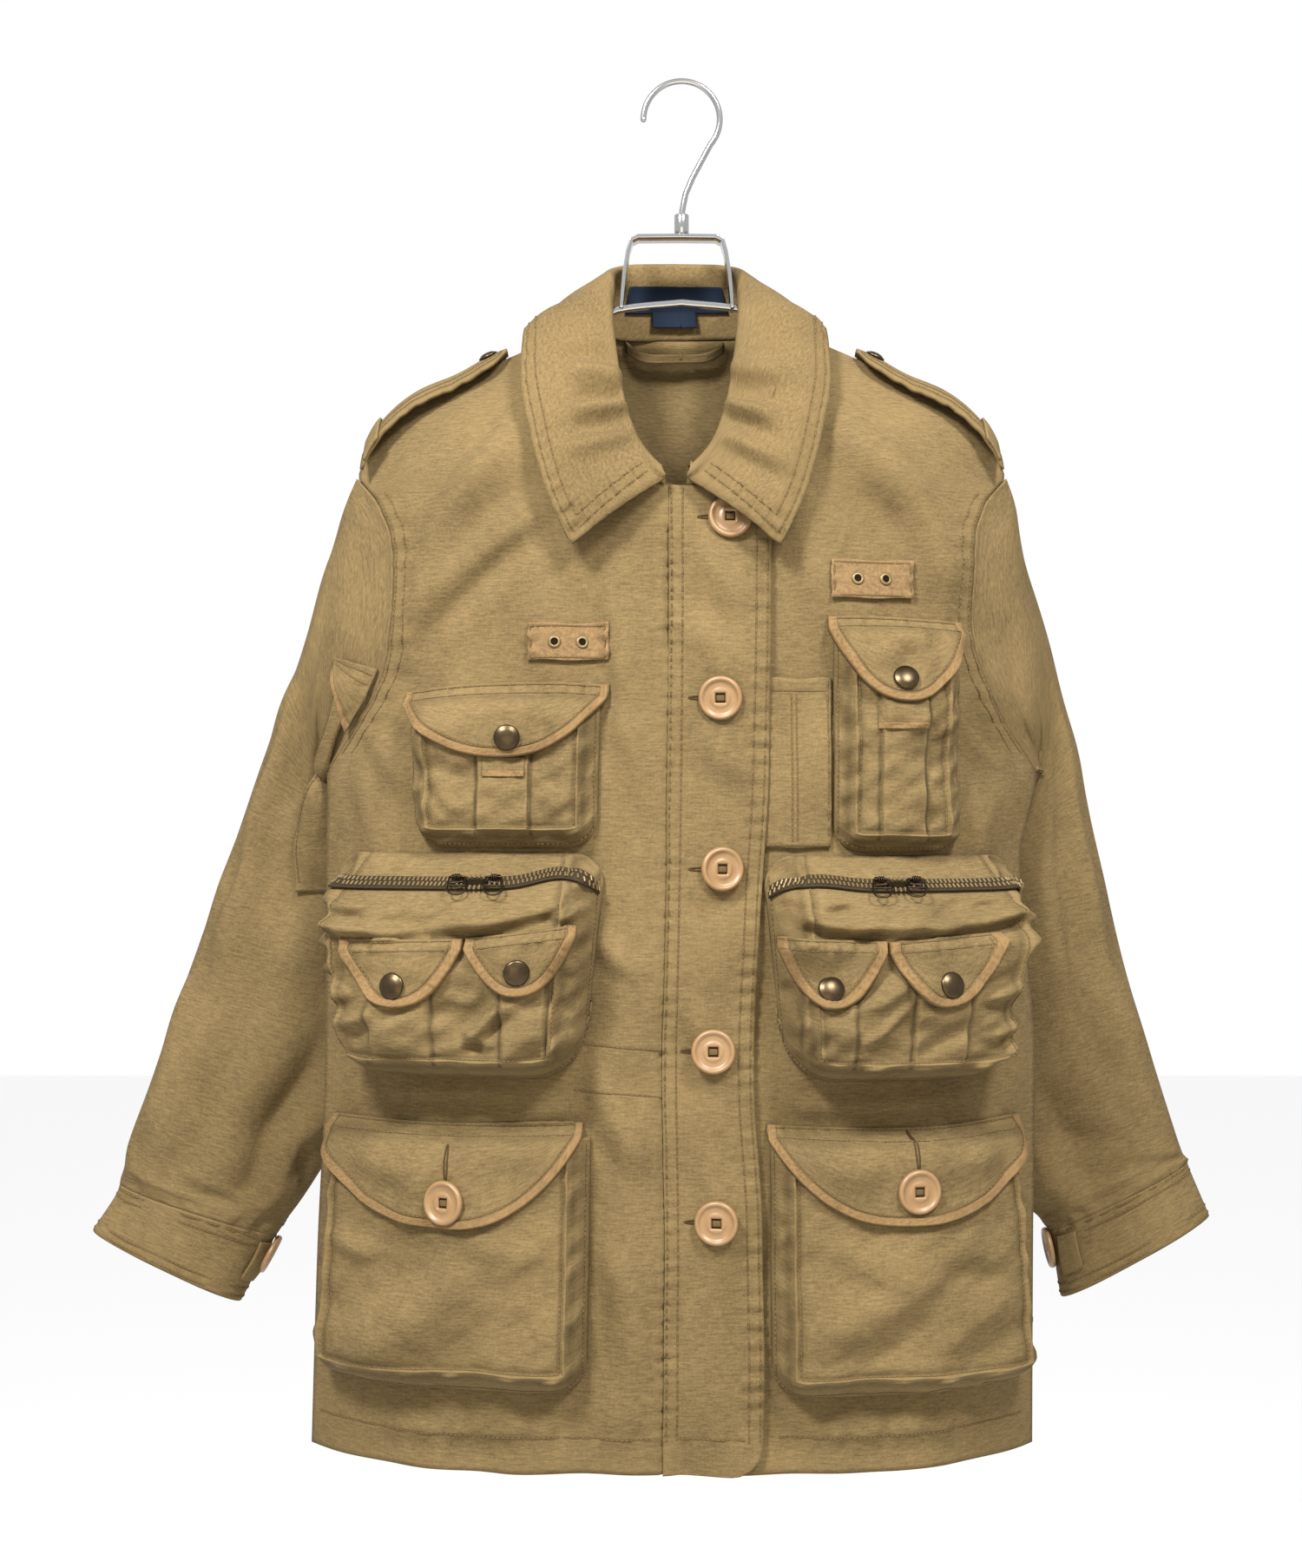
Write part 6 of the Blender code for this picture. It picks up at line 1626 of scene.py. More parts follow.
@dataclass
class Bag:
    """Bellows pocket: a face that stands off the front on gussets, with box pleats and creases."""

    body: Body
    node: str
    left: float
    right: float
    low_left: float
    low_right: float
    top: float
    bottom: float
    corner: float
    top_corner: float
    depth: float
    run: float
    form: tuple
    face_low: float
    pleats: tuple[Pleat, ...] = ()
    columns: int = 100
    rows: int = 90
    pleat_rise: float = 0.0034
    pleat_edge: float = 0.0012
    rim_high: float = 1.0
    tuck: float = 0.0016
    crumple: float = 0.0016
    crush: float = 1.6
    ripple: float = 0.0012

    def __post_init__(self) -> None:
        """Draws the line of its form."""
        low = ((0.0, 0.0), (0.5 * self.face_low, 0.62), (self.face_low, 0.94))
        self.line = Line(low + self.form)
        self.creases = CREASES.get(self.node, ())

    def limits(self, v: Array) -> tuple[Array, Array]:
        """Left and right edges at a share of the way up."""
        return between(self.low_left, self.left, v), between(self.low_right, self.right, v)

    @staticmethod
    def drop(reach: Array, radius: float) -> Array:
        """Drop of a rounded corner at a distance from the side."""
        near = np.clip(radius - reach, 0.0, radius)
        return radius - np.sqrt(radius ** 2 - near ** 2)

    def place(self, u: Array, v: Array) -> tuple[Array, Array]:
        """Place on the panel of a share across and up.

        Args:
            u: share across.
            v: share up.

        Returns:
            x and z.
        """
        left, right = self.limits(v)
        reach = np.minimum(u, 1.0 - u) * (right - left)
        bottom = self.bottom + self.drop(reach, self.corner)
        top = self.top - self.drop(reach, self.top_corner)
        return between(left, right, u), between(bottom, top, v)

    def share(self, x: Array, z: Array) -> tuple[Array, Array]:
        """Share across and up of a place on the panel.

        Args:
            x: places across.
            z: places up.

        Returns:
            Shares across and up.
        """
        v = (z - self.bottom) / (self.top - self.bottom)
        for _ in range(3):
            left, right = self.limits(clamped(v))
            reach = np.clip(np.minimum(x - left, right - x), 0.0, None)
            bottom = self.bottom + self.drop(reach, self.corner)
            v = (z - bottom) / (self.top - self.drop(reach, self.top_corner) - bottom)
        return (x - left) / (right - left), v

    def height(self, x: Array, z: Array) -> Array:
        """Height of the face off the panel; nothing outside the pocket.

        Args:
            x: places across.
            z: places up.

        Returns:
            Heights at these places.
        """
        u, v = self.share(x, z)
        left, right = self.limits(clamped(v))
        reach = np.minimum(u, 1.0 - u) * (right - left)
        side = clamped(reach / self.run) ** 0.72
        height = self.depth * side * self.line(v)
        for pleat in self.pleats:
            inset = pleat.half - np.abs(x - pleat.x)
            fade = smooth((v - pleat.low) / 0.05) * smooth((pleat.high + 0.03 - v) / 0.05)
            height = height + self.pleat_rise * fade * clamped(inset / self.pleat_edge)
        edge = np.minimum(reach - self.run, (v - self.face_low) * (self.top - self.bottom))
        tuck = bell(edge - 0.0010, 0.0010) - 0.5 * bell(edge - 0.0040, 0.0022)
        seam = np.minimum(reach, v * (self.top - self.bottom))
        within = smooth(seam / 0.007) * smooth((self.rim_high + 0.02 - v) / 0.06)
        gusset = smooth(seam / 0.005) * smooth((0.003 - edge) / 0.006)
        ridges = self.crush * smooth(seam / 0.022) * creased(self.creases, x, z)
        height = height + within * (self.tuck * tuck + ridges)
        height = height + within * self.ripple * (waves(41, 0.034, x, z) + 0.55 * waves(42, 0.015, x, z))
        height = height + self.crumple * gusset * waves(43, 0.019, x, z)
        inside = (u >= -1e-9) & (u <= 1.0 + 1e-9) & (v >= -1e-9) & (v <= 1.0 + 1e-9)
        return np.where(inside, np.maximum(height, 0.0), 0.0)

    def surface(self, x: Array, z: Array, off: Array = 0.0) -> Array:
        """Outer face over the front, moved out."""
        return self.body.face(x, z, BASE + self.height(x, z) + off)

    def wear(self, u: Array, v: Array) -> Array:
        """Pale wear along the seam, the face's edges and the pleats, with painted shade in the tuck's trough,
        under the tuck and beside the pleats.

        Args:
            u: share across.
            v: share up.

        Returns:
            Wear at these places; negative values are painted shade.
        """
        left, right = self.limits(v)
        reach = np.minimum(u, 1.0 - u) * (right - left)
        edge = np.minimum(reach - self.run, (v - self.face_low) * (self.top - self.bottom))
        x, _ = self.place(u, v)
        # Pale wear on the tuck's edge; painted shade in its trough and on the gusset under it
        worn = 0.5 * bell(edge - 0.0008, 0.0011) - 0.6 * bell(edge - 0.0038, 0.0012)
        worn = worn - 0.5 * bell(edge + 0.0030, 0.0020)
        for pleat in self.pleats:
            fade = (v > pleat.low) & (v < pleat.high)
            inset = pleat.half - np.abs(x - pleat.x)
            # Pale wear on each pleat's folded edge; painted shade just outside it
            fold = 0.4 * bell(inset - 0.0016, 0.0012) - 0.9 * bell(inset + 0.0006, 0.0010)
            worn = worn + np.where(fade, fold, 0.0)
        return worn

    def shares_across(self) -> Array:
        """Columns of the grid, close at the gussets and the pleats.

        Returns:
            Shares across.
        """
        wide = self.right - self.left
        marks = [(end, 0.003 / wide, 4.0) for end in (0.0, 1.0)]
        marks += [(end, 0.003 / wide, 5.0) for end in (self.run / wide, 1.0 - self.run / wide)]
        for pleat in self.pleats:
            edges = (pleat.x - pleat.half, pleat.x + pleat.half)
            marks += [((edge - self.left) / wide, 0.0022 / wide, 5.0) for edge in edges]
        return gathered(self.columns, marks)

    def shares_up(self) -> Array:
        """Rows of the grid, close at the seam and at the lower edge of the face.

        Returns:
            Shares up.
        """
        tall = self.top - self.bottom
        marks = [(0.0, 0.003 / tall, 4.0), (self.face_low + 0.001 / tall, 0.003 / tall, 5.0)]
        return gathered(self.rows, marks)

    def path(self, inset: float, low: float = 0.0, high: float = 1.0) -> Array:
        """Line inside the sewn edge, down one side, along the bottom and up the other.

        Args:
            inset: distance inside the edge.
            low: share up of the bottom run.
            high: share up where it starts and ends.

        Returns:
            Points in x and z.
        """
        share = inset / (self.right - self.left)
        rise = low + 0.0024 / (self.top - self.bottom)
        v = np.linspace(high, rise, 40)
        u = np.linspace(share, 1.0 - share, 60)
        shares = np.concatenate([np.c_[0.0 * v + share, v], np.c_[u, 0.0 * u + rise],
                                 np.c_[0.0 * v + 1.0 - share, v[::-1]]])
        x, z = self.place(shares[:, 0], shares[:, 1])
        return np.c_[x, z]

    def build(self, rows: Stitching) -> None:
        """Makes the pocket and sews it.

        Args:
            rows: stitching that takes its rows.
        """
        front = "front_right" if self.right < 0.0 else "front_left"
        Cloth(self.node, lambda u, v: self.surface(*self.place(u, v)), self.columns, self.rows, CANVAS,
              rests_on=(front,), wear=self.wear, across=self.shares_across(), upward=self.shares_up()).build()
        rows.row(self.surface, self.path(0.0022, 0.0, 0.97))
        rows.row(self.surface, self.path(self.run + 0.0030, self.face_low, 0.97))


@dataclass
class Grid:
    """Values over x and z on a fine flat grid, read back by bilinear interpolation."""

    values: Array
    x0: float
    z0: float
    step: float

    @classmethod
    def spread(cls, source: Height, box: tuple, step: float, reach: int) -> "Grid":
        """Samples a height, spreads it out and softens it.

        Args:
            source: the height over x and z.
            box: least x, greatest x, least z, greatest z.
            step: distance between samples.
            reach: samples that the height is spread and softened over.

        Returns:
            The softened heights.
        """
        x = np.arange(box[0], box[1] + step, step)
        z = np.arange(box[2], box[3] + step, step)
        values = source(*np.meshgrid(x, z, indexing="ij"))
        soft = values
        for blend in (np.max, np.mean, np.mean):
            for axis in (0, 1):
                soft = blend([np.roll(soft, k, axis) for k in range(-reach, reach + 1)], axis=0)
        return cls(np.maximum(soft, values), box[0], box[2], step)

    def __call__(self, x: Array, z: Array) -> Array:
        """Value at a place.

        Args:
            x: places across.
            z: places up.

        Returns:
            Values at these places.
        """
        a = np.clip((x - self.x0) / self.step, 0.0, self.values.shape[0] - 1.001)
        b = np.clip((z - self.z0) / self.step, 0.0, self.values.shape[1] - 1.001)
        i, j = a.astype(int), b.astype(int)
        a, b = a - i, b - j
        low = self.values[i, j] * (1.0 - a) + self.values[i + 1, j] * a
        return low * (1.0 - b) + (self.values[i, j + 1] * (1.0 - a) + self.values[i + 1, j + 1] * a) * b


@dataclass
class Flap:
    """Pocket flap with a curved lower edge bound in suede tape."""

    bag: Bag
    node: str
    left: float
    right: float
    left_z: float
    right_z: float
    crown: float
    side: float
    belly: float
    power: float = 2.2
    columns: int = 80
    rows: int = 32
    trim: float = 0.0048
    gap: float = 0.0014
    pad: float = 0.010

    def __post_init__(self) -> None:
        """Works out the height that clears the pocket."""
        self.creases = CREASES.get(self.node, ())
        low = min(self.left_z, self.right_z) - self.side - self.belly
        high = max(self.left_z, self.right_z) + abs(self.crown)
        box = (self.left - self.pad, self.right + self.pad, low - self.pad, high + self.pad)
        self.field = Grid.spread(self.bag.height, box, MILLIMETRE, 3)

    def top(self, u: Array) -> Array:
        """Height of the sewn top edge."""
        return between(self.left_z, self.right_z, u) + self.crown * np.sin(math.pi * u)

    def place(self, u: Array, v: Array) -> tuple[Array, Array]:
        """Place on the panel of a share across and up."""
        drop = self.side + self.belly * (1.0 - np.abs(2.0 * u - 1.0) ** self.power)
        return between(self.left, self.right, u), self.top(u) - drop * (1.0 - v)

    def height(self, x: Array, z: Array) -> Array:
        """Height of the flap's under side off the panel.

        Args:
            x: places across.
            z: places up.

        Returns:
            Heights at these places.
        """
        u = clamped((x - self.left) / (self.right - self.left))
        below = self.top(u) - z
        under = self.bag.height(x, z)
        sewn = np.where(under > 0.0, BASE + 0.0012 + under, LIE)
        blend = smooth(below / 0.009)
        free = BASE + self.gap + self.field(x, z)
        soft = 1.6 * creased(self.creases, x, z) + 0.0007 * waves(51, 0.026, x, z)
        pucker = 0.0006 * bell(below - 0.004, 0.004) * waves(52, 0.0075, x)
        return sewn * (1.0 - blend) + (free + soft) * blend + pucker

    def surface(self, x: Array, z: Array) -> Array:
        """Outer face over the front."""
        return self.bag.body.face(x, z, self.height(x, z) + FLAP_CLOTH)

    def outline(self, inset: float, count: int = 130) -> Array:
        """Even points along the sides and the curved edge, moved inwards.

        Args:
            inset: distance inside the edge.
            count: number of points.

        Returns:
            Points in x and z.
        """
        v = np.linspace(0.96, 0.0, 30)
        u = np.linspace(0.0, 1.0, 400)
        shares = np.concatenate([np.c_[0.0 * v, v], np.c_[u, 0.0 * u], np.c_[0.0 * v + 1.0, v[::-1]]])
        x, z = self.place(shares[:, 0], shares[:, 1])
        run = np.r_[0.0, np.cumsum(np.hypot(np.diff(x), np.diff(z)))]
        even = np.linspace(0.0, run[-1], count)
        x, z = np.interp(even, run, x), np.interp(even, run, z)
        way = np.stack([np.gradient(x), np.gradient(z)], axis=-1)
        for _ in range(10):
            way[1:-1] = (way[:-2] + 2.0 * way[1:-1] + way[2:]) / 4.0
        way = unit(way)
        return np.c_[x - inset * way[:, 1], z + inset * way[:, 0]]

    def build_trim(self) -> None:
        """Makes the tape that binds the edge."""
        outer, inner = self.outline(-0.0005), self.outline(self.trim)
        share = np.linspace(0.0, 1.0, len(outer))

        def surface(u: Array, v: Array) -> Array:
            """Tape turned over the edge.

            Args:
                u: share across.
                v: share up.

            Returns:
                The points.
            """
            low = [np.interp(u, share, outer[:, k]) for k in (0, 1)]
            high = [np.interp(u, share, inner[:, k]) for k in (0, 1)]
            across = smooth(v) * 0.35 + 0.65 * v
            x, z = (between(a, b, across) for a, b in zip(low, high))
            lift = -FLAP_CLOTH + (FLAP_CLOTH + 0.0009) * np.sin(clamped(v / 0.24) * math.pi / 2.0)
            lift = lift - 0.0008 * smooth((v - 0.86) / 0.14) + 0.00012 * waves(53, 0.05, u)
            return self.bag.body.face(x, z, self.height(x, z) + FLAP_CLOTH + lift)

        # Tape worn pale near its turned edge and darkened towards its inner edge as painted shade
        Cloth(self.node + "_trim", surface, len(outer) - 1, 9, TRIM, False, thick=TRIM_CLOTH,
              rests_on=(self.node,),
              wear=lambda u, v: 0.3 * bell(v - 0.2, 0.2) - 0.4 * smooth((v - 0.75) / 0.25)).build()

    def build(self, rows: Stitching) -> None:
        """Makes the flap, its tape and its stitching.

        Args:
            rows: stitching that takes its rows.
        """
        def wear(u: Array, v: Array) -> Array:
            """Pale top edge with a painted shadow below it."""
            below = self.top(u) - self.place(u, v)[1]
            return 0.35 * bell(below, 0.0025) - 0.35 * bell(below - 0.0085, 0.002)

        Cloth(self.node, lambda u, v: self.surface(*self.place(u, v)), self.columns, self.rows, CANVAS,
              thick=FLAP_CLOTH, rests_on=(self.bag.node,), wear=wear,
              upward=gathered(self.rows, [(1.0, 0.2, 2.0)])).build()
        self.build_trim()
        rows.row(self.surface, self.outline(self.trim + 0.0010)[4:-4])
        u = np.linspace(0.012, 0.988, 60)
        for drop in (0.0014, 0.0066):
            x, z = self.place(u, np.ones_like(u))
            rows.row(self.surface, np.c_[x, z - drop])


@dataclass
class Button:
    """Large sewn-through button with a raised rim, a dish and a square middle hole."""

    radius: float = 0.0132
    hole: float = 0.0034
    steps: int = 48

    def build(self, node: str, seat: Seat) -> None:
        """Makes a button with the tape through its hole.

        Args:
            node: solid that it stands for.
            seat: where it sits.
        """
        r, h = self.radius, self.hole
        profile = [(h, 0.0), (r - 0.0014, 0.0), (r - 0.0003, 0.0008), (r, 0.0018), (r - 0.0003, 0.0030),
                   (r - 0.0010, 0.0038), (r - 0.0019, 0.0040), (r - 0.0027, 0.0036), (r - 0.0033, 0.0028),
                   (r - 0.0045, 0.0025), (r - 0.0062, 0.0024), (r - 0.0071, 0.0026), (r - 0.0078, 0.0030),
                   (h + 0.0010, 0.0030), (h, 0.0026), (h, 0.0)]
        shape = Workshop.spun(profile, self.steps)
        for vert in shape.verts:
            far = math.hypot(vert.co.x, vert.co.y)
            if far < h + 0.0012:
                turn = max(abs(vert.co.x), abs(vert.co.y)) / far
                vert.co.x, vert.co.y = vert.co.x * 0.86 / turn, vert.co.y * 0.86 / turn
        Workshop.keep(Workshop.set_down(shape, seat), node, HORN, True)
        tape = Workshop.block(1.5 * h, 1.1 * h, 0.0017, 0.0004, 2)
        Workshop.keep(Workshop.set_down(tape, seat), node + "_tape", BUTTON_TAPE)


@dataclass
class Snap:
    """Domed press-snap cap in antique brass."""

    radius: float = 0.0077
    steps: int = 40

    def build(self, node: str, seat: Seat, solid: bool = True) -> None:
        """Makes a snap cap.

        Args:
            node: name of the piece.
            seat: where it sits.
            solid: whether it stands for the solid of this name.
        """
        r = self.radius
        profile = [(0.0, 0.0), (r - 0.0006, 0.0), (r, 0.0005), (r - 0.0001, 0.0012), (r - 0.0009, 0.0018),
                   (r - 0.0017, 0.0020), (0.72 * r, 0.0023), (0.5 * r, 0.0028), (0.25 * r, 0.0031),
                   (0.0, 0.0032)]
        cap = Workshop.set_down(Workshop.spun(profile, self.steps), seat)
        Workshop.keep(cap, node, BRASS, solid)


@dataclass
class ZipFastener:
    """Two-way zip along the roof of a waist pocket: tape, teeth, sliders and wire pull tabs."""

    bag: Bag
    word: str
    sliders: tuple[float, float]
    share: float = 0.855
    rise: tuple[float, float, float] = (0.0, 0.0, 1.0)
    half: float = 0.0034
    margin: float = 0.004
    pitch: float = 0.0024
    tooth: tuple = (0.00125, 0.0034, 0.0013, 0.0003)
    tooth_off: float = 0.00135
    opening_tall: float = 0.0056
    slider: tuple = (0.0074, 0.0082, 0.0016, 0.0005, 2)
    bridge_wire: float = 0.00055
    bridge_rows: tuple = (-0.0012, 0.0, 0.0012)
    eye: float = 0.0030
    parted: float = 0.0019
    tab_wire: float = 0.00065
    tab_top: float = 0.0047
    tab_half: float = 0.0054
    tab_length: float = 0.0160
    tab_nip: float = 0.0008
    tab_bar: float = 0.0078

    def place(self, x: Array) -> Array:
        """Height of the zip, pushed up at one place.

        Args:
            x: places along it.

        Returns:
            z at these places.
        """
        u = (x - self.bag.left) / (self.bag.right - self.bag.left)
        pushed = self.rise[1] * bell(x - self.rise[0], self.rise[2])
        return self.bag.place(u, np.full_like(u, self.share))[1] + pushed

    def roof(self, x: Array, z: Array) -> Array:
        """Face of the tape."""
        return lifted(self.bag.surface, x, z, np.full(np.broadcast(x, z).shape, LIE + 0.0012))

    def seat(self, x: float) -> Seat:
        """Seat of a slider, on the plain form of the pocket.

        Args:
            x: place along the zip.

        Returns:
            The seat, its up pointing down the roof.
        """
        z = float(self.place(np.array([x]))[0])
        base = seat_on(self.bag.surface, x, z, 2.0 * LIE + 0.0016)
        along = np.array([1.0, 0.0, 0.0])
        out = unit(base.out - base.out[0] * along)
        return Seat(base.point, along, np.cross(along, out), out)

    def build(self) -> None:
        """Makes the tape, the teeth, a near-black disc of painted shade in the opening, the sliders and the
        tabs.
        """
        low, high = self.bag.left + self.margin, self.bag.right - self.margin

        def surface(u: Array, v: Array) -> Array:
            """Tape along the zip line."""
            x = between(low, high, u)
            return self.roof(x, self.place(x) + self.half * (2.0 * v - 1.0))

        Cloth("zip_" + self.word, surface, 120, 8, TAPE, thick=0.0010,
              rests_on=(self.bag.node,)).build()
        seats = []
        x = np.linspace(low, high, 500)
        z = self.place(x)
        run = np.r_[0.0, np.cumsum(np.hypot(np.diff(x), np.diff(z)))]
        for shift, offset in ((0.0, self.tooth_off), (0.5, -self.tooth_off)):
            spots = (np.arange(int(run[-1] / self.pitch)) + shift + 0.25) * self.pitch
            at = np.interp(spots, run, x)
            open_by = clamped((at - self.sliders[0]) / (self.sliders[1] - self.sliders[0]))
            apart = math.copysign(self.parted, offset) * np.sin(math.pi * open_by)
            seats += seats_on(self.roof, at, np.interp(spots, run, z) + offset + apart, 0.0, 0.002)
        tooth = Workshop.block(*self.tooth)
        Workshop.keep(Workshop.repeated(tooth, seats), "zip_teeth_" + self.word, ZIP_BRASS)
        middle = sum(self.sliders) / 2.0
        # Near-black disc between the sliders: painted shade inside the open zip
        lens = bmesh.new()
        bmesh.ops.create_circle(lens, cap_ends=True, radius=0.5, segments=32)
        wide = self.sliders[1] - self.sliders[0] - self.margin
        bmesh.ops.scale(lens, vec=(wide, self.opening_tall, 1.0), verts=lens.verts)
        seat = seat_on(self.roof, middle, float(self.place(np.array([middle]))[0]), 0.0003)
        Workshop.keep(Workshop.repeated(lens, [seat]), "zip_opening_" + self.word, SHADE_BLACK)
        for x_at in self.sliders:
            self.build_slider(x_at)

    def build_slider(self, x: float) -> None:
        """Makes a slider and its pull tab.

        Args:
            x: place along the zip.
        """
        number = self.sliders.index(x) + 1
        tail = "%s_%d" % (self.word, number)
        axis = np.array(next(j["pos_m"] for j in frame["joints"] if j["child"] == "pull_" + tail))
        seat = self.seat(x)
        base = axis - self.eye * seat.out
        body = Workshop.block(*self.slider)
        narrow = [v for v in body.verts if v.co.x * (1.0 if number == 1 else -1.0) > 0.0015]
        bmesh.ops.scale(body, vec=(1.0, 0.72, 1.0), verts=narrow)
        turn = np.linspace(0.0, math.pi, 9)
        arch = np.stack([base + 0.0019 * math.cos(a) * seat.up + (0.0012 + 0.0032 * math.sin(a)) * seat.out
                         for a in turn])
        bridge = [Workshop.tube(arch + shift * seat.along, self.bridge_wire) for shift in self.bridge_rows]
        block = Workshop.set_down(body, seat._replace(point=base))
        Workshop.keep(Workshop.joined([block, *bridge]), "zip_slider_" + tail, PULL_BRASS, True)
        bend = self.tab_length - self.tab_half
        angles = np.linspace(0.0, math.pi, 15)
        top, nip = self.tab_top, self.tab_nip
        outline = [(nip - top, 0.0), (0.0, 0.0), (top - nip, 0.0), (top, nip)]
        outline += [(self.tab_half * math.cos(a), bend + self.tab_half * math.sin(a)) for a in angles]
        outline += [(-top, nip)]
        path = np.array([axis + a * seat.along + d * seat.up for a, d in outline])
        wire = Workshop.tube(path, self.tab_wire, closed=True)
        half = top + 0.0003
        bar = np.array([axis + a * seat.along + self.tab_bar * seat.up for a in (-half, half)])
        pieces = [wire, Workshop.tube(bar, self.tab_wire)]
        Workshop.keep(Workshop.joined(pieces), "zip_tab_" + tail, PULL_BRASS, True, "pull_" + tail)


@dataclass
class Pockets:
    """Chest, pen, waist and lower pockets with their flaps and fasteners."""

    body: Body
    pen: tuple[float, float, float, float] = (0.0470, 0.0880, -0.369, -0.470)
    pen_hem: float = 0.0075
    badge_thick: float = 0.0018
    badges: tuple = (
        ("right", -0.0920, -0.0440, -0.3365, -0.3585), ("left", 0.0880, 0.1380, -0.2985, -0.3215),
    )
    tabs: tuple = (("right", -0.1148, -0.0922, -0.4285, -0.4165), ("left", 0.1116, 0.1397, -0.4004, -0.3835))
    # Side, places of the sliders; place, height and width of the stretch that is pushed up
    zips: tuple = (
        ("right", (-0.1260, -0.1067), (-0.072, 0.006, 0.018)),
        ("left", (0.1105, 0.1283), (0.078, 0.003, 0.018)),
    )
    # Pocket, flap, fastener and its place; left and right end, their heights, crown, side, belly and power
    flap_rows: tuple = (
        ("chest_pocket_right", "chest_flap_right", "chest_snap_right", (-0.1012, -0.4056),
         (-0.1652, -0.0443, -0.3765, -0.3730, 0.0030, 0.0085, 0.0365)),
        ("chest_pocket_left", "chest_flap_left", "chest_snap_left", (0.1264, -0.3705),
         (0.0862, 0.1665, -0.3325, -0.3350, 0.0010, 0.0085, 0.0425)),
        ("zip_pocket_right", "small_flap_right_1", "small_snap_right_1", (-0.1495, -0.5500),
         (-0.1770, -0.1195, -0.5245, -0.5225, 0.0, 0.0065, 0.0320)),
        ("zip_pocket_right", "small_flap_right_2", "small_snap_right_2", (-0.0915, -0.5415),
         (-0.1180, -0.0610, -0.5225, -0.5145, 0.0, 0.0065, 0.0300)),
        ("zip_pocket_left", "small_flap_left_1", "small_snap_left_1", (0.0810, -0.5515),
         (0.0545, 0.1095, -0.5215, -0.5245, 0.0, 0.0065, 0.0325)),
        ("zip_pocket_left", "small_flap_left_2", "small_snap_left_2", (0.1385, -0.5505),
         (0.1110, 0.1645, -0.5250, -0.5210, 0.0, 0.0065, 0.0330)),
        ("cargo_pocket_right", "cargo_flap_right", "cargo_button_right", (-0.1324, -0.6772),
         (-0.2110, -0.0590, -0.6325, -0.6310, -0.0010, 0.0090, 0.0505, 2.4)),
        ("cargo_pocket_left", "cargo_flap_left", "cargo_button_left", (0.1310, -0.6707),
         (0.0500, 0.2030, -0.6325, -0.6325, -0.0030, 0.0090, 0.0460, 2.4)),
    )
    eyelets: tuple = ((-0.0760, -0.3478), (-0.0598, -0.3478), (0.1036, -0.3100), (0.1207, -0.3100))
    # Radius and height along the rim of an eyelet
    eyelet_rim: tuple = (
        (0.0021, 0.0002), (0.0021, 0.0010), (0.0026, 0.0013), (0.0033, 0.0011), (0.0039, 0.0004),
        (0.0039, -0.0002),
    )
    # Radius of the near-black disc of painted shade inside each eyelet
    eyelet_hole: float = 0.0023
    # Half width, half height, distance above the button and wire of a buttonhole
    slit: tuple = (0.0008, 0.0105, 0.0230, 0.0005)

    def bags(self) -> dict[str, Bag]:
        """All bellows pockets by node name.

        Returns:
            The pockets.
        """
        body = self.body
        rows = (
            Bag(body, "chest_pocket_right", -0.1605, -0.0486, -0.1600, -0.0490, -0.385, -0.470, corner=0.020,
                run=0.011, face_low=0.105, pleats=(Pleat(-0.1040, 0.0145, 0.08, 1.0),), **CHEST_CUT),
            Bag(body, "chest_pocket_left", 0.0895, 0.1641, 0.0895, 0.1641, -0.341, -0.4725, corner=0.017,
                run=0.010, face_low=0.065, pleats=(Pleat(0.1265, 0.0130, 0.05, 1.0),), columns=90, rows=100,
                **CHEST_CUT),
            Bag(body, "zip_pocket_right", -0.2095, -0.0465, -0.1960, -0.0560, -0.473, -0.606, **ZIP_CUT,
                pleats=(Pleat(-0.1490, 0.0135, 0.07, 0.62), Pleat(-0.0890, 0.0115, 0.07, 0.64))),
            Bag(body, "zip_pocket_left", 0.0480, 0.2000, 0.0570, 0.1900, -0.4745, -0.608, **ZIP_CUT,
                pleats=(Pleat(0.0810, 0.0135, 0.07, 0.62), Pleat(0.1365, 0.0130, 0.07, 0.62))),
            Bag(body, "cargo_pocket_right", -0.2080, -0.0540, -0.2170, -0.0560, -0.640, -0.790, **CARGO_CUT),
            Bag(body, "cargo_pocket_left", 0.0510, 0.2000, 0.0520, 0.2060, -0.642, -0.793, **CARGO_CUT),
        )
        return {row.node: row for row in rows}

    def build_patches(self, rows: Stitching) -> None:
        """Makes the pen pocket, the badge tabs and their eyelets, with a near-black disc of painted shade in
        each eyelet.

        Args:
            rows: stitching that takes their rows.
        """
        body = self.body
        left, right, top, bottom = self.pen
        sheets = [("pen_pocket", left, right, top, bottom, CLOTH, CANVAS)]
        sheets += [("badge_tab_" + word, *size, self.badge_thick, SUEDE) for word, *size in self.badges]
        for name, x0, x1, z1, z0, thick, finish in sheets:
            def surface(u: Array, v: Array, box: tuple = (x0, x1, z1, z0, thick)) -> Array:
                """Sheet with slightly wavy edges.

                Args:
                    u: share across.
                    v: share up.
                    box: ends across, ends up and thickness.

                Returns:
                    The points.
                """
                x = between(box[0], box[1], u) + 0.0002 * waves(61, 0.4, v)
                z = between(box[3], box[2], v) + 0.0002 * waves(62, 0.5, u)
                ripple = 0.00035 * waves(63, 0.010, z) * bell(np.abs(u - 0.5) - 0.5, 0.12)
                return body.face(x, z, LIE + box[4] + ripple)

            def wear(u: Array, v: Array) -> Array:
                """Pale rim."""
                rim = np.minimum(np.minimum(u, 1.0 - u), np.minimum(v, 1.0 - v))
                return 0.25 * bell(rim, 0.03)

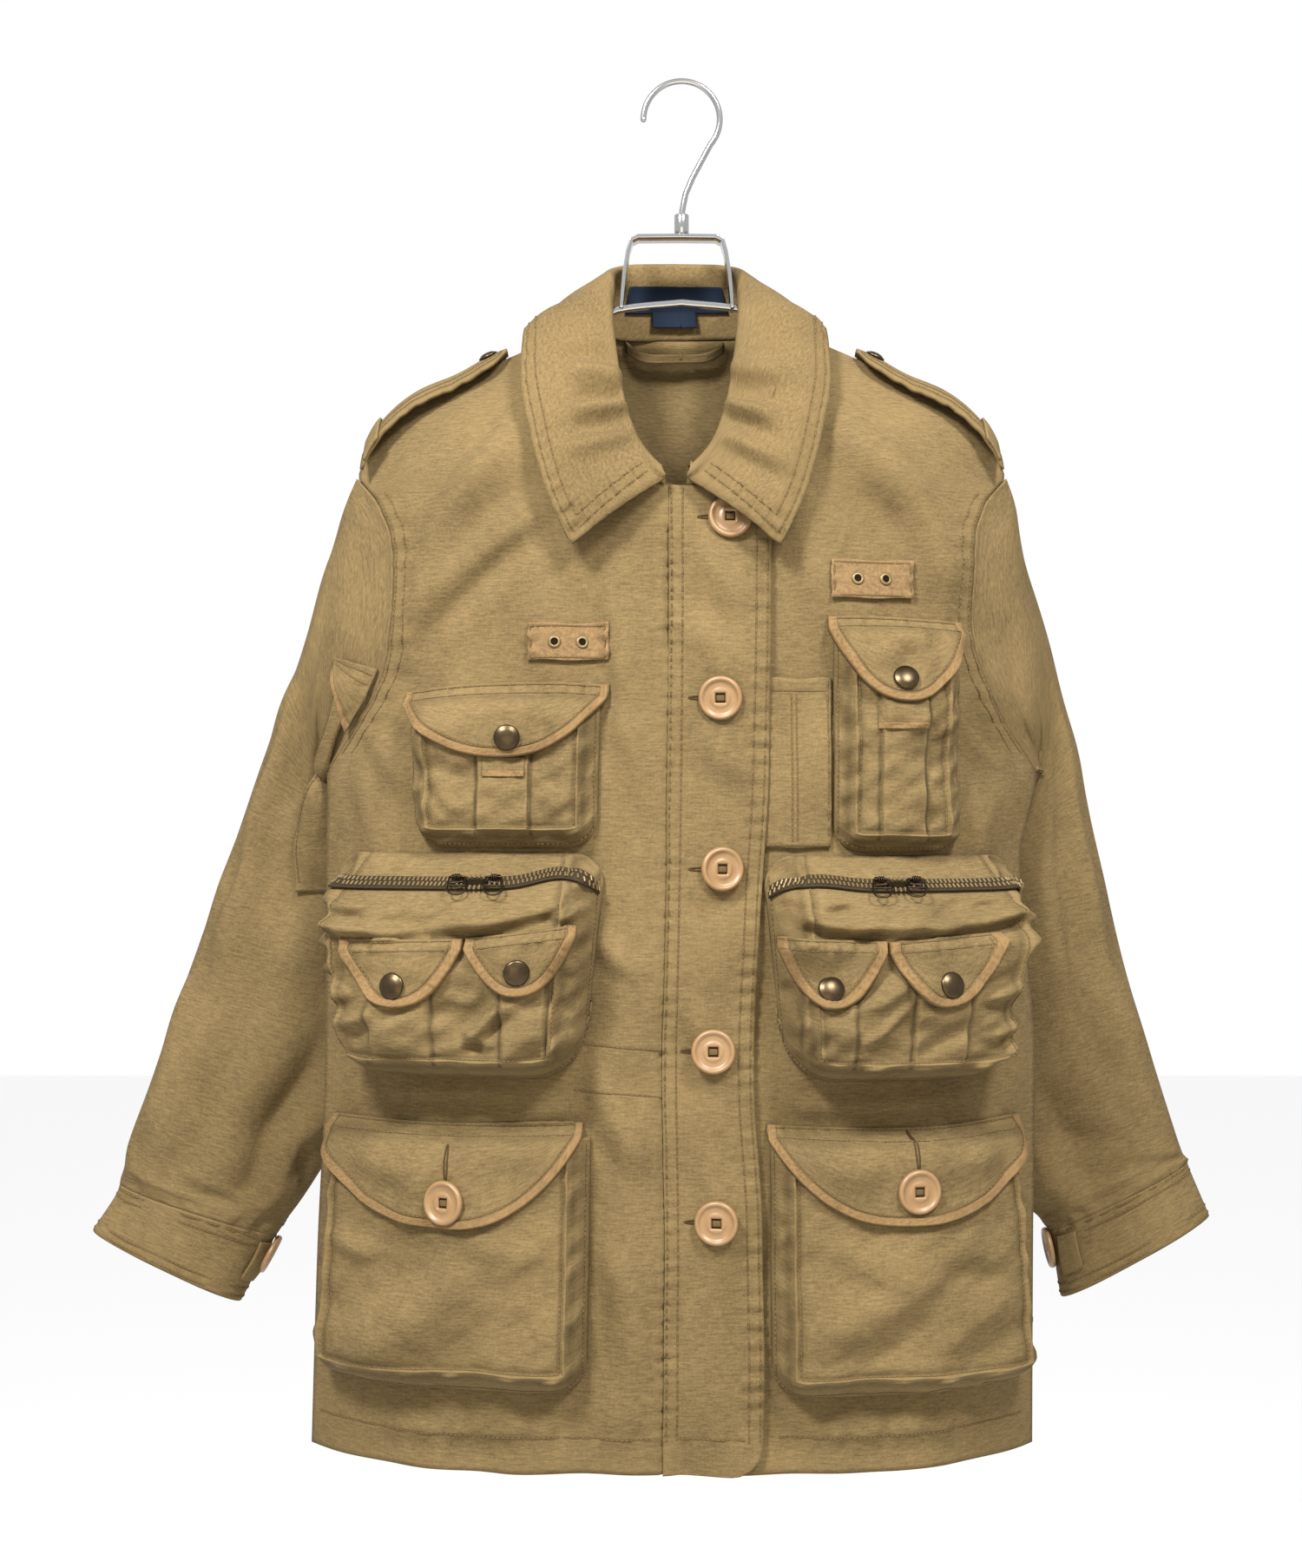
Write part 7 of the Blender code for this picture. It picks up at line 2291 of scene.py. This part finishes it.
            under = "front_right" if x1 < 0.0 else "front_left"
            Cloth(name, surface, 30, 36, finish, thick=thick, rests_on=(under,), wear=wear).build()
            inset = 0.0016
            ring = [(x0 + inset, z1 - inset), (x0 + inset, z0 + inset), (x1 - inset, z0 + inset),
                    (x1 - inset, z1 - inset)]
            face = partial(body.face, off=LIE + thick)
            for start, end in zip(ring, ring[1:]):
                rows.row(face, np.linspace(start, end, 20))
            hem = z1 - (self.pen_hem if finish is CANVAS else inset)
            rows.row(face, np.linspace((x0 + inset, hem), (x1 - inset, hem), 20))
        for x in (left + 0.0175, left + 0.0205):
            rows.row(partial(body.face, off=BASE), np.linspace((x, top - 0.010), (x, bottom + 0.004), 30))
        for k, (x, z) in enumerate(self.eyelets):
            seat = seat_on(partial(body.face, off=LIE + self.badge_thick), x, z)
            rim = Workshop.set_down(Workshop.spun(self.eyelet_rim, 32), seat)
            Workshop.keep(rim, "eyelet_%d" % (k + 1), ZIP_BRASS)
            # Near-black disc in the eyelet: painted shade in its hole
            hole = bmesh.new()
            bmesh.ops.create_circle(hole, cap_ends=True, radius=self.eyelet_hole, segments=24)
            bmesh.ops.translate(hole, vec=(0.0, 0.0, 0.00035), verts=hole.verts)
            Workshop.keep(Workshop.set_down(hole, seat), "eyelet_hole_%d" % (k + 1), SHADE_BLACK)

    def build_tabs(self, bags: dict[str, Bag]) -> None:
        """Makes the snap tabs that show below the chest flaps.

        Args:
            bags: the pockets by node name.
        """
        for word, x0, x1, z0, z1 in self.tabs:
            bag = bags["chest_pocket_" + word]
            layers = (("snap_tab_", z1, CANVAS, 0.0011), ("snap_tab_hem_", z0 + 0.0034, TRIM, 0.0016))
            for name, high, finish, off in layers:
                def surface(u: Array, v: Array, top: float = high, off: float = off) -> Array:
                    """Tab or its hem on the pocket."""
                    x, z = between(x0, x1, u), between(z0, top, v)
                    return bag.surface(x, z, off + 0.0004 * waves(66, 0.010, x, z))

                Cloth(name + word, surface, 16, 8, finish, False, thick=0.0007, rests_on=(bag.node,)).build()

    def build(self) -> None:
        """Makes all pockets."""
        rows = Stitching("stitches_pockets")
        bags = self.bags()
        for bag in bags.values():
            bag.build(rows)
        flap_rows = Stitching("stitches_flaps")
        for bag, node, fastener, (x, z), sizes in self.flap_rows:
            fineness = dict(columns=50, rows=26) if "small" in node else {}
            flap = Flap(bags[bag], node, *sizes, **fineness)
            flap.build(flap_rows)
            seat = seat_on(flap.surface, x, z, 0.0006)
            if "button" in fastener:
                Button().build(fastener, seat)
                half, tall, above, wire = self.slit
                turn = np.linspace(0.0, 2.0 * math.pi, 25)[:-1]
                a, b = x + half * np.cos(turn), z + above + tall * np.sin(turn)
                hole = Workshop.tube(lifted(flap.surface, a, b, HOLE_OFF), wire, closed=True, sides=8)
                Workshop.keep(hole, fastener + "_hole", DARK_THREAD)
            else:
                Snap().build(fastener, seat)
        self.build_patches(rows)
        self.build_tabs(bags)
        for word, sliders, rise in self.zips:
            ZipFastener(bags["zip_pocket_" + word], word, sliders, rise=rise).build()
        rows.build()
        flap_rows.build()


@dataclass
class Shoulders:
    """Shoulder straps with their keepers and snaps."""

    body: Body
    start: float = 0.1080
    end: float = 0.1965
    half_in: float = 0.0170
    half_out: float = 0.0205
    lift: float = 0.0034
    drop: float = 0.0125
    bend: float = 0.0205
    thick: float = 0.0022
    keeper: tuple[float, float] = (0.1860, 0.1945)
    keeper_half: float = 0.0235
    keeper_lift: float = 0.0042
    snap_in: float = 0.011
    snap_y: float = -0.002
    snap_radius: float = 0.0062
    snap_out: tuple[float, float, float] = (0.42, -0.12, 0.90)

    def top(self, x: Array, y: Array) -> Array:
        """Under side of a strap over the ridge."""
        return self.body.ridge_z(x) + self.lift - self.drop * (np.abs(y) / self.bend) ** 1.6

    def build(self, side: Side) -> None:
        """Makes one strap, its keeper and its snap.

        Args:
            side: which shoulder.
        """
        sign, word = side.value, side.word

        def strap(u: Array, v: Array) -> Array:
            """Strap bent over the shoulder.

            Args:
                u: share across.
                v: share up.

            Returns:
                The points.
            """
            x = between(self.start, self.end, u)
            half = between(self.half_in, self.half_out, u)
            end = 1.0 - (1.0 - clamped(u / 0.14)) ** 2
            y = half * np.sqrt(np.clip(end, 0.18, 1.0)) * (1.0 - 2.0 * v)
            edge = 0.0004 * np.abs(2.0 * v - 1.0) ** 4 * waves(71, 0.12, u)
            rise = self.top(x, y) + self.thick + edge + 0.0006 * waves(72, 0.5, u)
            return np.stack([sign * x, y, rise], axis=-1)

        def keeper(u: Array, v: Array) -> Array:
            """Keeper across the strap.

            Args:
                u: share across.
                v: share up.

            Returns:
                The points.
            """
            x = between(*self.keeper, u)
            y = self.keeper_half * (1.0 - 2.0 * v)
            rise = self.top(x, y) + self.keeper_lift + CLOTH + 0.0004 * np.sin(math.pi * u)
            return np.stack([sign * x, y + 0.0 * u, rise], axis=-1)

        def rim(u: Array, v: Array) -> Array:
            """Pale edges."""
            return 0.45 * bell(1.0 - np.abs(2.0 * v - 1.0), 0.14) + 0.2 * bell(u, 0.03)

        Cloth("shoulder_strap_" + word, strap, 60, 28, CANVAS, thick=self.thick,
              rests_on=("front_" + word,), wear=rim, flip=-sign).build()
        Cloth("strap_keeper_" + word, keeper, 12, 40, CANVAS,
              rests_on=("shoulder_strap_" + word,), wear=lambda u, v: 0.45 * np.abs(2.0 * u - 1.0) ** 4,
              flip=-sign).build()
        rows = Stitching("stitches_strap_" + word)
        u = np.linspace(0.03, 0.98, 40)
        for v in (0.10, 0.22, 0.78, 0.90):
            rows.row(strap, np.c_[u, v + 0.0 * u], -sign)
        rows.build()
        x = self.start + self.snap_in
        out = unit(np.array(self.snap_out) * np.array([sign, 1.0, 1.0]))
        along = unit(np.cross(np.array([0.0, 1.0, 0.0]), out))
        height = float(self.top(np.array(x), np.array(self.snap_y))) + self.thick + 0.0003
        point = np.array([sign * x, self.snap_y, height])
        seat = Seat(point, along, np.cross(out, along), out)
        Snap(self.snap_radius).build("strap_snap_" + word, seat, False)


@dataclass
class SleevePocket:
    """Bellows pocket with a short flap on the right sleeve."""

    sleeve: Sleeve
    # Height, near edge and far edge
    spans: tuple = (
        (-0.366, -0.211, -0.1935), (-0.384, -0.214, -0.201), (-0.41, -0.2225, -0.213),
        (-0.43, -0.23, -0.2195), (-0.45, -0.2365, -0.214), (-0.476, -0.244, -0.2085), (-0.5, -0.242, -0.2085),
    )
    form: tuple = (
        (0.0, 0.0), (0.07, 0.55), (0.18, 0.95), (0.4, 1.0), (0.7, 0.75), (0.82, 0.45), (1.0, 0.15),
    )
    depth: float = 0.006
    lie: float = 0.0020
    full: float = 0.026
    run: float = 0.30
    flap: tuple = (-0.2110, -0.3545, -0.3620, 0.0100, 0.0260)
    clear: float = 0.0040
    flap_lift: float = 0.0072
    step: float = 0.001
    box: tuple = (-0.270, -0.170, -0.520, -0.330)

    def __post_init__(self) -> None:
        """Maps the depth of the sleeve's front, drawn on smoothly where the sleeve ends."""
        grid = np.meshgrid(np.linspace(0.3, 7.0, 700), np.linspace(0.2, 3.0, 400), indexing="ij")
        points = self.sleeve.point(*grid).reshape(-1, 3)
        size = [int(round((self.box[k + 1] - self.box[k]) / self.step)) + 1 for k in (0, 2)]
        i, j = (np.round((points[:, k] - self.box[k]) / self.step).astype(int) for k in (0, 2))
        seen = (i >= 0) & (i < size[0]) & (j >= 0) & (j < size[1])
        depth = np.full(size, 1.0)
        np.minimum.at(depth, (i[seen], j[seen]), points[seen, 1])
        known = depth < 1.0
        depth = np.where(known, depth, depth[known].mean())
        for k in range(1210):
            wide = np.pad(depth, 1, mode="edge")
            soft = (wide[2:, 1:-1] + wide[:-2, 1:-1] + wide[1:-1, 2:] + wide[1:-1, :-2]) / 4.0
            depth = np.where(known & (k < 1200), depth, soft)
        self.depth_at = Grid(depth, self.box[0], self.box[2], self.step)

    def over(self, x: Array, z: Array, off: Array) -> Array:
        """Points of the front of the sleeve, moved out."""
        x, z = np.broadcast_arrays(np.asarray(x, float), np.asarray(z, float))
        return self.sleeve.body.panel(self.depth_at, -1.0, x, z, off)

    def build(self) -> None:
        """Makes the pocket, its flap and the tape on the flap."""
        near, far = lines(self.spans)
        low, high = self.spans[-1][0], self.spans[0][0]
        line = Line(self.form)

        def bag(u: Array, v: Array) -> Array:
            """Pocket that stands off the sleeve.

            Args:
                u: share across.
                v: share up.

            Returns:
                The points.
            """
            z = between(low, high, v)
            x = between(near(z), far(z), u)
            rise = np.sin(clamped(np.minimum(u, 1.0 - u) / self.run) * math.pi / 2.0)
            full = clamped((far(z) - near(z)) / self.full)
            return self.over(x, z, self.lie + CLOTH + self.depth * full * rise * line(v))

        left, left_z, right_z, side, belly = self.flap

        def hung(u: Array, down: Array, lift: float = 0.0) -> Array:
            """Points of the flap.

            Args:
                u: share across.
                down: distance below its top.
                lift: distance off it.

            Returns:
                The points.
            """
            z = between(left_z, right_z, u) - down
            x = left - (self.sleeve.body.armhole_front(z) + self.clear + left) * u
            rise = 0.0007 + self.flap_lift * smooth(down / 0.018) * (1.0 - 0.6 * smooth((u - 0.35) / 0.65))
            return self.over(x, z, rise + FLAP_CLOTH + lift)

        def drop(u: Array) -> Array:
            """Length of the flap."""
            return side + belly * np.sin(0.5 * math.pi * clamped(u))

        def flap(u: Array, v: Array) -> Array:
            """Face of the flap."""
            return hung(u, drop(u) * (1.0 - v))

        def edge(u: Array, v: Array) -> Array:
            """Pale rim."""
            rim = np.minimum(np.minimum(u, 1.0 - u) / 0.12, v / 0.05)
            return 0.25 * np.exp(-rim ** 2)

        Cloth("sleeve_pocket", bag, 24, 60, CANVAS, rests_on=("sleeve_right",), wear=edge).build()
        Cloth("sleeve_flap", flap, 24, 24, CANVAS, thick=FLAP_CLOTH, rests_on=("sleeve_pocket",),
              wear=edge).build()
        Cloth("sleeve_flap_trim", lambda u, v: hung(u, drop(u) + 0.0004 - 0.0046 * v, 0.0007), 24, 6, TRIM,
              False, thick=TRIM_CLOTH, rests_on=("sleeve_flap",)).build()
        rows = Stitching("stitches_sleeve_pocket")
        for v in (0.90, 0.74):
            u = np.linspace(0.06, 0.94, 20)
            rows.row(flap, np.c_[u, v + 0.0 * u])
        v = np.linspace(0.05, 0.95, 40)
        for u in (0.08, 0.92):
            rows.row(bag, np.c_[u + 0.0 * v, v])
        rows.build()


@dataclass
class Fastenings:
    """Front buttons, cuff buttons and the buttonholes."""

    body: Body
    places: tuple = (
        (0.0280, -0.2735), (0.0224, -0.3810), (0.0224, -0.4825), (0.0178, -0.5895), (0.0198, -0.6894),
    )
    gap: float = 0.0008
    hole_reach: float = 0.0085
    hole_half: float = 0.0010
    hole_wire: float = 0.00055

    def build(self, sleeves: Sequence[Sleeve]) -> None:
        """Makes the buttons and holes.

        Args:
            sleeves: both sleeves.
        """
        holes: list[Mesh] = []
        face = partial(self.body.front, off=LAP)
        for k, (x, z) in enumerate(self.places):
            Button().build("front_button_%d" % (k + 1), seat_on(face, x, z, self.gap))
            turn = np.linspace(0.0, 2.0 * math.pi, 25)[:-1]
            a = x - self.hole_reach + self.hole_reach * np.cos(turn) * 1.25
            points = face(a, z + self.hole_half * np.sin(turn)) + np.array([0.0, -HOLE_OFF, 0.0])
            holes.append(Workshop.tube(points, self.hole_wire, closed=True, sides=8))
        Workshop.keep(Workshop.joined(holes), "buttonholes", DARK_THREAD)
        for sleeve in sleeves:
            turn, s = np.array([math.pi]), np.array([sleeve.button_s])
            sign = sleeve.side.value
            spot = lifted(sleeve.by_turn, turn, s, self.gap, sign)[0]
            out = unit(spot - sleeve.by_turn(turn, s)[0])
            along = unit(np.cross(np.array([0.0, 1.0, 0.0]), out))
            Button().build("cuff_button_" + sleeve.side.word, Seat(spot, along, np.cross(out, along), out))


@dataclass
class Hanger:
    """Plain polished hanger: hook, ferrule, bent bracket and sloping arm."""

    hook_radius: float = 0.0236
    wire: float = 0.0019
    bracket_x: float = -0.003
    # Half depth and half thickness of the bars
    bracket_bar: tuple[float, float] = (0.0090, 0.0012)
    arm_bar: tuple[float, float] = (0.0040, 0.0018)
    # Radius and height along the ferrule
    ferrule: tuple = (
        (0.0, -0.0936), (0.0040, -0.0936), (0.0045, -0.0930), (0.0045, -0.0812), (0.0041, -0.0806),
        (0.0024, -0.0803), (0.0, -0.0803),
    )
    # Points of each half in x and z
    stem: tuple = (
        (0.0125, -0.047), (0.0066, -0.058), (0.0024, -0.068), (0.0004, -0.078), (0.0, -0.086),
    )
    bracket: tuple = (
        (0.0, -0.094), (0.024, -0.0942), (0.029, -0.0965), (0.0312, -0.104), (0.0335, -0.118),
        (0.0355, -0.1395),
    )
    arm: tuple = (
        (0.0, -0.137), (0.038, -0.141), (0.072, -0.165), (0.11, -0.1835), (0.145, -0.199), (0.16, -0.209),
        (0.169, -0.216),
    )

    def bar(self, path: Array, deep: float, thick: float) -> Mesh:
        """Flat bar with rounded edges along a path in the seam plane.

        Args:
            path: points of the path.
            deep: half depth front to back.
            thick: half thickness.

        Returns:
            The bar's mesh.
        """
        shape = bmesh.new()
        bmesh.ops.create_grid(shape, x_segments=len(path) - 1, y_segments=1, size=0.5)
        shape.verts.ensure_lookup_table()
        for k, vert in enumerate(shape.verts):
            here = path[k % len(path)]
            vert.co = (here[0], math.copysign(deep, vert.co.y), here[2])
        bmesh.ops.recalc_face_normals(shape, faces=shape.faces)
        bmesh.ops.solidify(shape, geom=list(shape.faces), thickness=2.0 * thick)
        bmesh.ops.recalc_face_normals(shape, faces=shape.faces)
        sharp = [e for e in shape.edges if len(e.link_faces) == 2 and e.calc_face_angle() > 1.0]
        bmesh.ops.bevel(shape, geom=sharp, offset=0.45 * thick, segments=3, profile=0.5, affect="EDGES",
                        material=-1)
        return Workshop.mesh_of(shape)

    def build(self) -> None:
        """Makes the hanger as one piece."""
        turn = np.linspace(math.pi, -0.72, 40)
        ring = np.stack([self.hook_radius * np.cos(turn), 0.0 * turn,
                         self.wire - self.hook_radius + self.hook_radius * np.sin(turn)], axis=-1)
        stem = np.array([(x, 0.0, z) for x, z in self.stem])
        parts = [Workshop.tube(np.concatenate([ring, stem]), self.wire, sides=20)]
        parts.append(Workshop.mesh_of(Workshop.spun(self.ferrule, 32)))
        tip = bmesh.new()
        bmesh.ops.create_uvsphere(tip, u_segments=20, v_segments=12, radius=self.wire * 1.02)
        bmesh.ops.translate(tip, vec=tuple(ring[0]), verts=tip.verts)
        parts.append(Workshop.mesh_of(tip))
        half = np.array([(x, 0.0, z) for x, z in self.bracket])
        fine = np.linspace(0.0, len(half) - 1.0, 26)
        half = np.stack([np.interp(fine, np.arange(len(half)), half[:, k]) for k in range(3)], axis=-1)
        path = np.concatenate([half[:0:-1] * np.array([-1.0, 1.0, 1.0]), half])
        parts.append(self.bar(path + np.array([self.bracket_x, 0.0, 0.0]), *self.bracket_bar))
        arm = Line(self.arm)
        x = np.linspace(-self.arm[-1][0], self.arm[-1][0], 61)
        parts.append(self.bar(np.stack([x, 0.0 * x, arm(np.abs(x))], axis=-1), *self.arm_bar))
        Workshop.keep(Workshop.joined(parts), "hanger", STEEL, True)


@dataclass(frozen=True)
class Lamp:
    """Soft square studio lamp."""

    name: str
    place: tuple[float, float, float]
    aim: tuple[float, float, float]
    size: float
    power: float
    colour: Colour = (1.0, 1.0, 1.0)


@dataclass
class Stage:
    """Pale floor, soft studio light and the camera of the photo."""

    floor_z: float = -2.20
    floor_size: float = 14.0
    camera: tuple[float, float, float] = (-0.0189, -1.588, -0.432)
    lens: float = 39.37
    lamps: tuple[Lamp, ...] = (
        Lamp("lamp_left", (-0.80, -1.35, 0.90), (-0.05, 0.0, -0.45), 0.40, 80.0),
        Lamp("lamp_right", (0.70, -1.30, 0.98), (0.05, 0.0, -0.45), 0.40, 62.0),
        Lamp("lamp_low", (0.0, -1.90, -0.80), (0.0, 0.0, -0.50), 1.20, 9.0, (1.0, 0.84, 0.60)),
    )

    def build(self) -> None:
        """Makes the floor, the lamps, the sky and the camera."""
        shape = bmesh.new()
        bmesh.ops.create_grid(shape, x_segments=1, y_segments=1, size=self.floor_size)
        bmesh.ops.translate(shape, vec=(0.0, 0.0, self.floor_z), verts=shape.verts)
        floor = bpy.data.objects.new("floor", Workshop.mesh_of(shape, False))
        graph = Graph("floor_white")
        graph.put(graph.shader, "Base Color", (0.92, 0.92, 0.92, 1.0))
        graph.put(graph.shader, "Roughness", 0.9)
        floor.data.materials.append(graph.material)
        bpy.context.scene.collection.objects.link(floor)
        for lamp in self.lamps:
            light = bpy.data.lights.new(lamp.name, "AREA")
            light.energy = lamp.power
            light.size = lamp.size
            light.color = lamp.colour
            holder = bpy.data.objects.new(lamp.name, light)
            holder.location = lamp.place
            aim = Vector(lamp.aim) - Vector(lamp.place)
            holder.rotation_euler = aim.to_track_quat("-Z", "Y").to_euler()
            bpy.context.scene.collection.objects.link(holder)
        world = bpy.data.worlds.new("studio")
        world.use_nodes = True
        sky = world.node_tree.nodes["Background"]
        sky.inputs["Color"].default_value = (1.0, 1.0, 1.0, 1.0)
        sky.inputs["Strength"].default_value = 1.0
        bpy.context.scene.world = world
        bpy.context.scene.view_settings.view_transform = "Standard"
        eye = bpy.data.cameras.new("camera")
        eye.sensor_fit = "VERTICAL"
        eye.sensor_height = 24.0
        eye.lens = self.lens
        holder = bpy.data.objects.new("camera", eye)
        holder.location = self.camera
        holder.rotation_euler = (math.pi / 2.0, 0.0, 0.0)
        bpy.context.scene.collection.objects.link(holder)
        bpy.context.scene.camera = holder


def main() -> None:
    """Builds the jacket piece by piece and sets the stage."""
    body = Body()
    sleeves = {side: Sleeve(body, side) for side in Side}
    body.build()
    Collar(body).build()
    for sleeve in sleeves.values():
        sleeve.build()
    SleevePocket(sleeves[Side.RIGHT]).build()
    Pockets(body).build()
    for side in Side:
        Shoulders(body).build(side)
    Fastenings(body).build(list(sleeves.values()))
    Hanger().build()
    Stage().build()
    LOG.info("%d pieces", len(Workshop.made))


if __name__ == "__main__":
    main()
